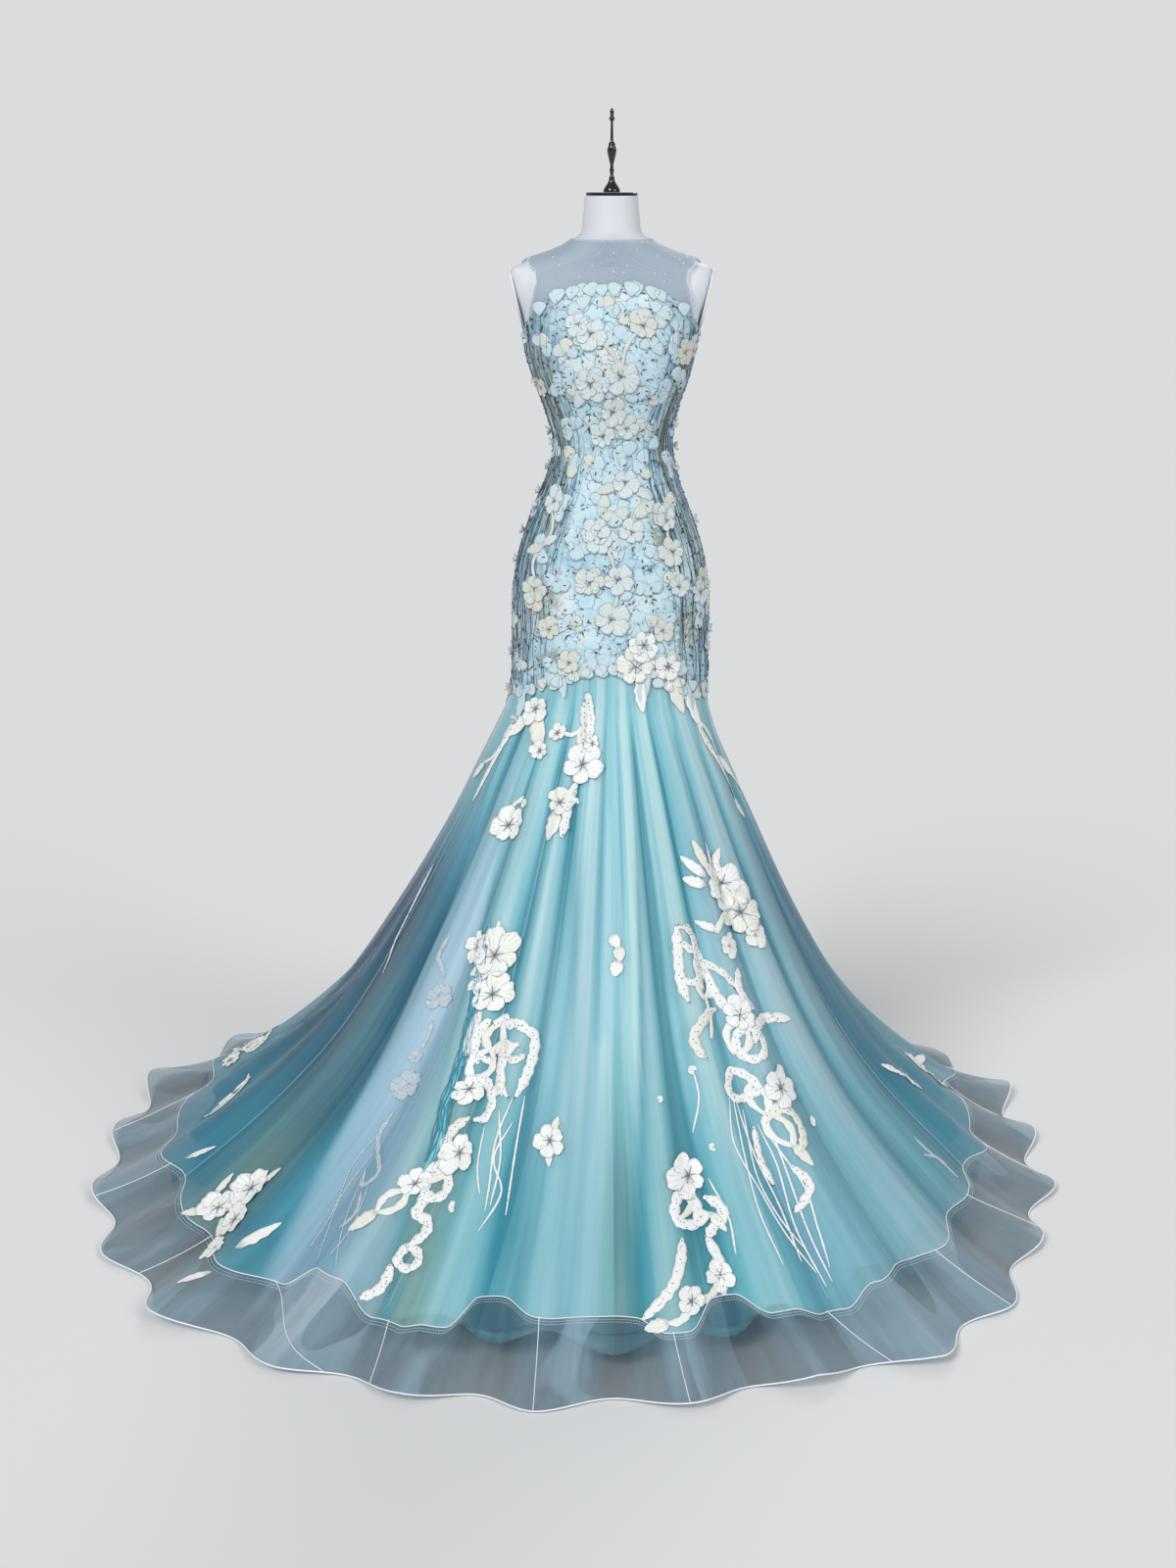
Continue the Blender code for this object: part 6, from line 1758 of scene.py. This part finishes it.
def edge_petals(chance):
    """Petals and leaves that hang over the bodice's lower edge, and petals up to its upper edge."""
    edge = Patchwork()
    for number in range(EDGE_PETALS):
        degrees = 360 / EDGE_PETALS * number + chance.uniform(-2, 2)
        angle = math.radians(degrees)
        seat = Seat(degrees, float(lace_edge(angle)) + EDGE_UP)
        tone, down = chance.choice((0.1, 0.3, 0.8)), math.radians(-90 + chance.uniform(-16, 16))
        if number % 3 == 1 and from_front(angle) > 16:
            sew_leaf(edge, seat, 0, 4, chance.uniform(38, 62), math.degrees(down), 0.36, tone)
        sew_petal(edge, seat, -4, 4, chance.uniform(19, 25), down - 0.4, 0.72, 1.8, 0.4, tone, 6, 0.8)
        sew_petal(edge, seat, 5, 6, chance.uniform(17, 23), down + 0.7, 0.66, 1.4, 0.4, tone, 6, 1.0)
    for number in range(RIM_PETALS):
        degrees = 360 / RIM_PETALS * number + chance.uniform(-3, 3)
        seat = Seat(degrees, float(top_edge(math.radians(degrees))) - RIM_DOWN)
        reach, up = chance.uniform(20, 29), math.radians(90 + chance.uniform(-28, 28))
        if not RIM_BARE[0] < from_front(math.radians(degrees)) < RIM_BARE[1]:
            sew_petal(edge, seat, 0, 0, reach, up, 0.72, 0.4, 0.3, 0.1, 6, 1.3 + 0.3 * (number % 2))
    return edge


class DRESS_OT_petals(Operator):
    """Flat overlapping petals over the bodice, its flat flowers, the petals at its sides and edges"""

    bl_idname = "dress.petals"
    bl_label = "Bodice petals"

    def execute(self, context):
        chance = np.random.default_rng(context.scene.dress_beads.seed + 1)
        ice = petals_of("petal_ice")
        petals = field_petals(chance).build("bodice_petal_field", ice, 0.0004)
        flowers, paths = flat_flowers(chance)
        flat = flowers.build("bodice_flat_flowers", petals_of("petal_ivory"), 0.0006)
        lower = edge_petals(chance).build("bodice_edge_petals", ice, 0.0005)
        threads = stamen_threads("bodice_stamens", paths, 0.00045)
        fit("lace_applique", petals, flat, lower, threads)
        return {"FINISHED"}


def yoke_places(middle, armhole):
    """Angles and heights of a yoke piece, rows from the neckline down to the bodice between the armholes."""
    reach = armhole[0][0]
    inner = np.linspace(-reach, reach, 61)
    low = top_edge(np.radians(middle + inner)) + SEAM
    shares = np.linspace(YOKE_CORNER, 1, YOKE_SIDE_COLUMNS)
    knots = np.linspace(YOKE_CORNER, 1, len(armhole))
    turn, tall = (np.interp(shares, knots, column) for column in zip(*armhole))
    top = np.concatenate([-90 * shares[:0:-1], YOKE_CORNER * 90 * inner / reach, 90 * shares[1:]])
    foot = np.concatenate([-turn[:0:-1], inner, turn[1:]])
    height = np.concatenate([tall[:0:-1], low, tall[1:]])
    rows = rows_down(YOKE_ROWS)
    return np.radians(middle + top * (1 - rows) + foot * rows), mix(NECKLINE, height, rows**YOKE_SLOPE)


class DRESS_OT_yoke(Operator):
    """The sheer yoke, its beads and the binding of its edges"""

    bl_idname = "dress.yoke"
    bl_label = "Yoke"

    def execute(self, context):
        cloth, beads = context.scene.dress_cloth, context.scene.dress_beads
        net = net_finish(tuple(cloth.net))
        binding, sheets = [], []
        for name, (middle, armhole, flat, area, nodes) in YOKES.items():
            angles, heights = yoke_places(middle, armhole)
            points = out_from(angles, heights, YOKE_PROUD)
            piece = grid_object(name, points, False, np.stack([angles, heights], axis=-1), {}, net)
            binding += [points[0], points[-1, :YOKE_SIDE_COLUMNS], points[-1, -YOKE_SIDE_COLUMNS:]]
            spots = put(piece.copy())
            spots.data = piece.data.copy()
            spots.name = name + "_beads"
            sheets.append(spots)
            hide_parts(*nodes)
            fit("illusion_net", piece)
        thread = thread_finish("net_thread", (0.70, 0.76, 0.84))
        edges = corded("yoke_binding", binding, 0.0009, 8, thread)
        clear = bead_finish("clear_bead", (0.86, 0.90, 0.95), 0.08, Coat_Weight=0.6)
        for number, spots in enumerate(sheets):
            grow(
                spots, scatter_tree("Beads", False), Density=beads.bead_density, Radius=beads.bead_radius,
                Seed=beads.seed + number, Material=clear,
            )
        fit("illusion_net", edges, *sheets)
        return {"FINISHED"}


class DRESS_OT_placket(Operator):
    """The button strip down the centre back"""

    bl_idname = "dress.placket"
    bl_label = "Placket"

    def execute(self, context):
        work = Patchwork()
        along = rows_down(60)
        side = np.linspace(-1, 1, 7)[None, :]
        y = PLACKET_HALF_LENGTH - 2 * PLACKET_HALF_LENGTH * along
        out = 0.9 + 1.1 * np.sqrt(np.clip(1 - side**4, 0, 1)) + 0 * along
        points = Seat(90, PLACKET_MIDDLE).at(side * PLACKET_HALF_WIDTH, y, out)
        work.add(points, petal_uv(side, along * 12), 0.1)
        ivory = cord_finish("corded_ivory", (0.80, 0.86, 0.88), (0.2, 0.24, 0.28))
        strip = work.build("placket_strip", ivory, 0.0004)
        heights = BUTTON_TOP - BUTTON_PITCH * (np.arange(BUTTONS) + 0.5)
        angles = np.full(BUTTONS, math.pi / 2)
        points, normals = out_from(angles, heights, BUTTON_OUT), cloth_normal(angles, heights)
        radius = context.scene.dress_beads.button_radius
        buttons = seated("placket_buttons", points, normals, radius, 0.62, 20, button_finish())
        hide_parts("back_placket")
        fit("covered_buttons", strip, buttons)
        return {"FINISHED"}


# Lace sprays, ribbons, edges and seams


class DRESS_OT_appliques(Operator):
    """Flowers, leaves and vines of the lace sprays, each in its node's place"""

    bl_idname = "dress.appliques"
    bl_label = "Appliques"

    def execute(self, context):
        ivory, white = petals_of("petal_ivory"), petals_of("petal_white")
        places, normals, paths = [], [], []
        for name, (angle, height, motifs) in SPRAYS.items():
            seat = Seat(angle, height)
            work = Patchwork()
            bodice = name.startswith("bodice")
            for number, (kind, *sizes) in enumerate(motifs):
                tone = TONES[number % 5]
                if kind == "flower":
                    x, y, size, turn, rise = sizes
                    size = size * float(np.interp(height, *BLOOM))
                    rise = 0.6 * rise if bodice else rise
                    sew_flower(work, seat, x, y, size, turn, rise, tone * 0.7, number, 5 + number % 2)
                    angles, heights = seat.angle + x * MM / seat.across, seat.height + y * MM / seat.down
                    places.append(seat.at(x, y, 1.8))
                    normals.append(cloth_normal(angles, heights))
                    paths += stamens(seat, x, y, (0.75 if bodice else 1.0) * size, turn, 3 if bodice else 6)
                elif kind == "leaf":
                    sew_leaf(work, seat, *sizes, tone)
                else:
                    *path, width = sizes
                    sew_vine(work, seat, *path, width * float(np.interp(height, *VINE_GROWTH)), tone)
            piece = work.build(name + "_sewn", ivory if bodice else white, 0.0006)
            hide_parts(name)
            fit("lace_applique", piece)
        dark = bead_finish("stamen_bead", (0.10, 0.12, 0.14), 0.25)
        beads = seated("flower_middles", places, normals, 0.0021, 0.8, 10, dark)
        fit("lace_applique", beads, stamen_threads("flower_stamens", paths, 0.0005))
        return {"FINISHED"}


def sewn_ribbons(chance):
    """The skirt's ribbons and loose petals, with places and directions of the beads on the ribbons."""
    lace, beads, outs = Patchwork(), [], []
    for width, *row in RIBBONS:
        knots, closed = places_of(row)
        sew_ribbon(lace, knots, width, chance.choice((0.0, 0.1, 0.5)), closed)
        path = smooth_path(knots, 3, closed)
        shift = chance.uniform(-0.35, 0.35, (len(path), 2))
        degrees, heights = path[:, 0] + shift[:, 0], path[:, 1] + shift[:, 1] * 0.010
        beads.append(on_cloth(degrees, heights, 2.2))
        outs.append(cloth_normal(np.radians(degrees), heights))
    for degrees, height, size in LOOSE_PETALS:
        for spread, cup, bare in ((1.5, 1.5, 1.0), (1.7, 1.2, 1.2)):
            bearing = chance.uniform(0, 6)
            sew_petal(lace, Seat(degrees, height), 0, 0, size, bearing, spread, cup, 0.2, 0.1, 6, bare)
    return lace, np.concatenate(beads), np.concatenate(outs)


def spray_petals(chance):
    """Leaves and flowers that fill the skirt's sprays out."""
    sprays = Patchwork()
    for degrees, height, *sizes in SPRAY_LEAVES:
        sew_leaf(sprays, Seat(degrees, height), 0, 0, *sizes, chance.choice((0.0, 0.2, 0.6)))
    for degrees, height, size, tone in SPRAY_FLOWERS:
        sew_flower(sprays, Seat(degrees, height), 0, 0, size, degrees, 3.0, tone, int(degrees), 5)
    return sprays


def veiled_sprays():
    """Flowers and ribbons that show faintly under the veil."""
    veiled = Patchwork()
    for degrees, height, size in VEIL_FLOWERS:
        sew_flower(veiled, Seat(degrees, height), 0, 0, size, degrees, 2.0, 0.0)
    for width, *row in VEIL_RIBBONS:
        knots, closed = places_of(row)
        sew_ribbon(veiled, knots, width, 0.0, closed, bare=0.6)
    return veiled


def teal_paths(chance):
    """Wavy threads side by side down the teal strip."""
    middle, paths = smooth_path(TEAL_STRIP, 8), []
    for shift in np.linspace(-1.15, 1.15, 13):
        wave = 0.22 * np.sin(middle[:, 1] * chance.uniform(90, 150) + chance.uniform(0, 6))
        first, last = chance.integers(0, 12), len(middle) - chance.integers(0, 12)
        degrees = middle[first:last, 0] + (shift + wave[first:last])
        paths.append(on_cloth(degrees, middle[first:last, 1], 2.3))
    return paths


class DRESS_OT_ribbons(Operator):
    """Lace ribbons, trailing threads, loose petals, the teal strip and the sprays under the veil"""

    bl_idname = "dress.ribbons"
    bl_label = "Ribbons and threads"

    def execute(self, context):
        chance = np.random.default_rng(context.scene.dress_beads.seed + 2)
        white = cord_finish("corded_white", (0.97, 0.98, 0.98), (0.05, 0.08, 0.11))
        jet = bead_finish("jet_bead", (0.02, 0.025, 0.035), 0.2)
        lace, places, outs = sewn_ribbons(chance)
        ribbons = lace.build("skirt_ribbons", white, 0.0005)
        filled = spray_petals(chance).build("skirt_spray_petals", petals_of("petal_white"), 0.0005)
        trails = Patchwork()
        for row in STREAMERS:
            sew_ribbon(trails, places_of(row)[0], 2.7, 0.0, bare=0.6)
        threads = trails.build("skirt_streamers", white, 0.0005)
        dots = seated("ribbon_beads", places, outs, 0.0011, 0.9, 6, jet)
        faint = veiled_sprays().build("veiled_sprays", veil_finish(), 0.0004)
        strip = Patchwork()
        sew_ribbon(strip, TEAL_STRIP, 14, 0.0, bare=0.5, ragged=0.3)
        backing = strip.build("teal_strip", thread_finish("teal_backing", (0.16, 0.55, 0.66)), 0.0004)
        teal = thread_finish("teal_thread", (0.03, 0.30, 0.44))
        sewn = corded("teal_strip_threads", teal_paths(chance), 0.0006, 4, teal)
        fit("lace_applique", ribbons, filled, threads, dots, faint, backing, sewn)
        return {"FINISHED"}


class DRESS_OT_edges(Operator):
    """Rolled hem edge, stitched band line, band seams and gore seams"""

    bl_idname = "dress.edges"
    bl_label = "Edges and seams"

    def execute(self, context):
        cloth = context.scene.dress_cloth
        white = thread_finish("edge_thread", (0.90, 0.94, 0.98))
        soft = thread_finish("seam_thread", (0.40, 0.66, 0.78))
        proud = BAND_PROUD / MM
        angles = all_round(2 * cloth.columns)
        degrees, top = np.degrees(angles), band_line(angles)
        hem = on_cloth(degrees, 0 * degrees, proud) + (0, 0, cloth.edge_radius)
        rolled = corded("hem_rolled_edge", [hem], cloth.edge_radius, 8, white, closed=True)
        cord = corded("band_top_cord", [on_cloth(degrees, top, proud + 0.2)], 0.0008, 6, white, closed=True)
        rows = [on_cloth(degrees, top - drop, proud + 0.2) for drop in (0.0030, 0.0055)]
        sewn = grow(
            line_object("band_top_stitches", rows, closed=True), stitch_tree(), Pitch=0.0040, Length=0.0026,
            Radius=0.00030, Material=white,
        )
        joins, seams = [], []
        share = np.linspace(0, 1, 40)
        for first, last in BAND_SEAMS:
            height = band_line(math.radians(first)) * (1 - share) + 0.0012
            joins.append(on_cloth(first + (last - first) * share, height, proud + 0.2))
        across = corded("band_seams", joins, 0.0007, 6, white)
        share = np.linspace(0, 1, 120)
        for turn in GORE_SEAMS:
            height = mix(float(lace_edge(math.radians(turn))), 0.06, share)
            seams.append(on_cloth(np.full(120, turn), height, 0.3))
        seam = corded("gore_seams", seams, 0.0004, 6, soft)
        fit("hem_organza", rolled, cord, sewn, across)
        fit("skirt_organza", seam)
        return {"FINISHED"}


# The stage and the add-on


class DRESS_OT_stage(Operator):
    """Pale floor, soft studio light and the camera"""

    bl_idname = "dress.stage"
    bl_label = "Stage"

    def execute(self, context):
        paint = (0.795, 0.801, 0.81)
        made, tree, shader = finish("floor_paint", colour=paint, rough=0.9, Specular_IOR_Level=0.0)
        bump(tree, shader, noise(tree, object_place(tree), 40.0, 2.0), 0.02, 0.001)
        corners = [(-1, -1, 0), (1, -1, 0), (1, 1, 0), (-1, 1, 0)]
        floor = new_object("floor", np.array(corners) * FLOOR_HALF, faces=[(0, 1, 2, 3)], material=made)
        floor.location.z = -FLOOR_DROP

        world = bpy.data.worlds.new("studio")
        world.use_nodes = True
        world.node_tree.nodes["Background"].inputs[0].default_value = (0.97, 0.985, 1.0, 1)
        sight = wire(world.node_tree, "ShaderNodeLightPath").outputs["Is Camera Ray"]
        glow = wire(world.node_tree, "ShaderNodeMapRange", {0: sight, 3: 0.30, 4: 0.7275}).outputs[0]
        world.node_tree.links.new(glow, world.node_tree.nodes["Background"].inputs[1])
        context.scene.world = world
        context.scene.view_settings.view_transform = "Standard"
        for name, (turn, power) in SUNS.items():
            light = bpy.data.lights.new(name, "SUN")
            light.angle = math.radians(SUN_WIDTH)
            light.energy = power
            lamp = put(bpy.data.objects.new(name, light))
            lamp.rotation_euler = [math.radians(degrees) for degrees in turn]

        camera = put(bpy.data.objects.new("camera", bpy.data.cameras.new("camera")))
        camera.data.lens = CAMERA_LENS
        camera.data.sensor_width = 36
        camera.location = CAMERA
        camera.rotation_euler = (math.radians(90 - CAMERA_TILT), 0, 0)
        context.scene.camera = camera
        return {"FINISHED"}


class DRESS_PT_tools(Panel):
    """Lists the dress's pieces and their settings"""

    bl_label = "Evening dress"
    bl_idname = "DRESS_PT_tools"
    bl_space_type = "VIEW_3D"
    bl_region_type = "UI"
    bl_category = "Evening dress"

    def draw(self, context):
        layout = self.layout
        for group in (context.scene.dress_cloth, context.scene.dress_beads):
            box = layout.box()
            for label in group.bl_rna.properties.keys():
                if label not in ("rna_type", "name"):
                    box.prop(group, label)
        for operator in OPERATORS:
            layout.operator(operator.bl_idname)


OPERATORS = (
    DRESS_OT_stage,
    DRESS_OT_form,
    DRESS_OT_stand,
    DRESS_OT_bodice,
    DRESS_OT_threads,
    DRESS_OT_petals,
    DRESS_OT_yoke,
    DRESS_OT_skirts,
    DRESS_OT_placket,
    DRESS_OT_appliques,
    DRESS_OT_ribbons,
    DRESS_OT_edges,
)
CLASSES = (DressClothSettings, DressBeadSettings, *OPERATORS, DRESS_PT_tools)


def register():
    for item in CLASSES:
        bpy.utils.register_class(item)
    bpy.types.Scene.dress_cloth = PointerProperty(type=DressClothSettings)
    bpy.types.Scene.dress_beads = PointerProperty(type=DressBeadSettings)


def unregister():
    del bpy.types.Scene.dress_beads
    del bpy.types.Scene.dress_cloth
    for item in reversed(CLASSES):
        bpy.utils.unregister_class(item)


def main():
    register()
    for operator in OPERATORS:
        group, name = operator.bl_idname.split(".")
        getattr(getattr(bpy.ops, group), name)()


if __name__ == "__main__":
    main()
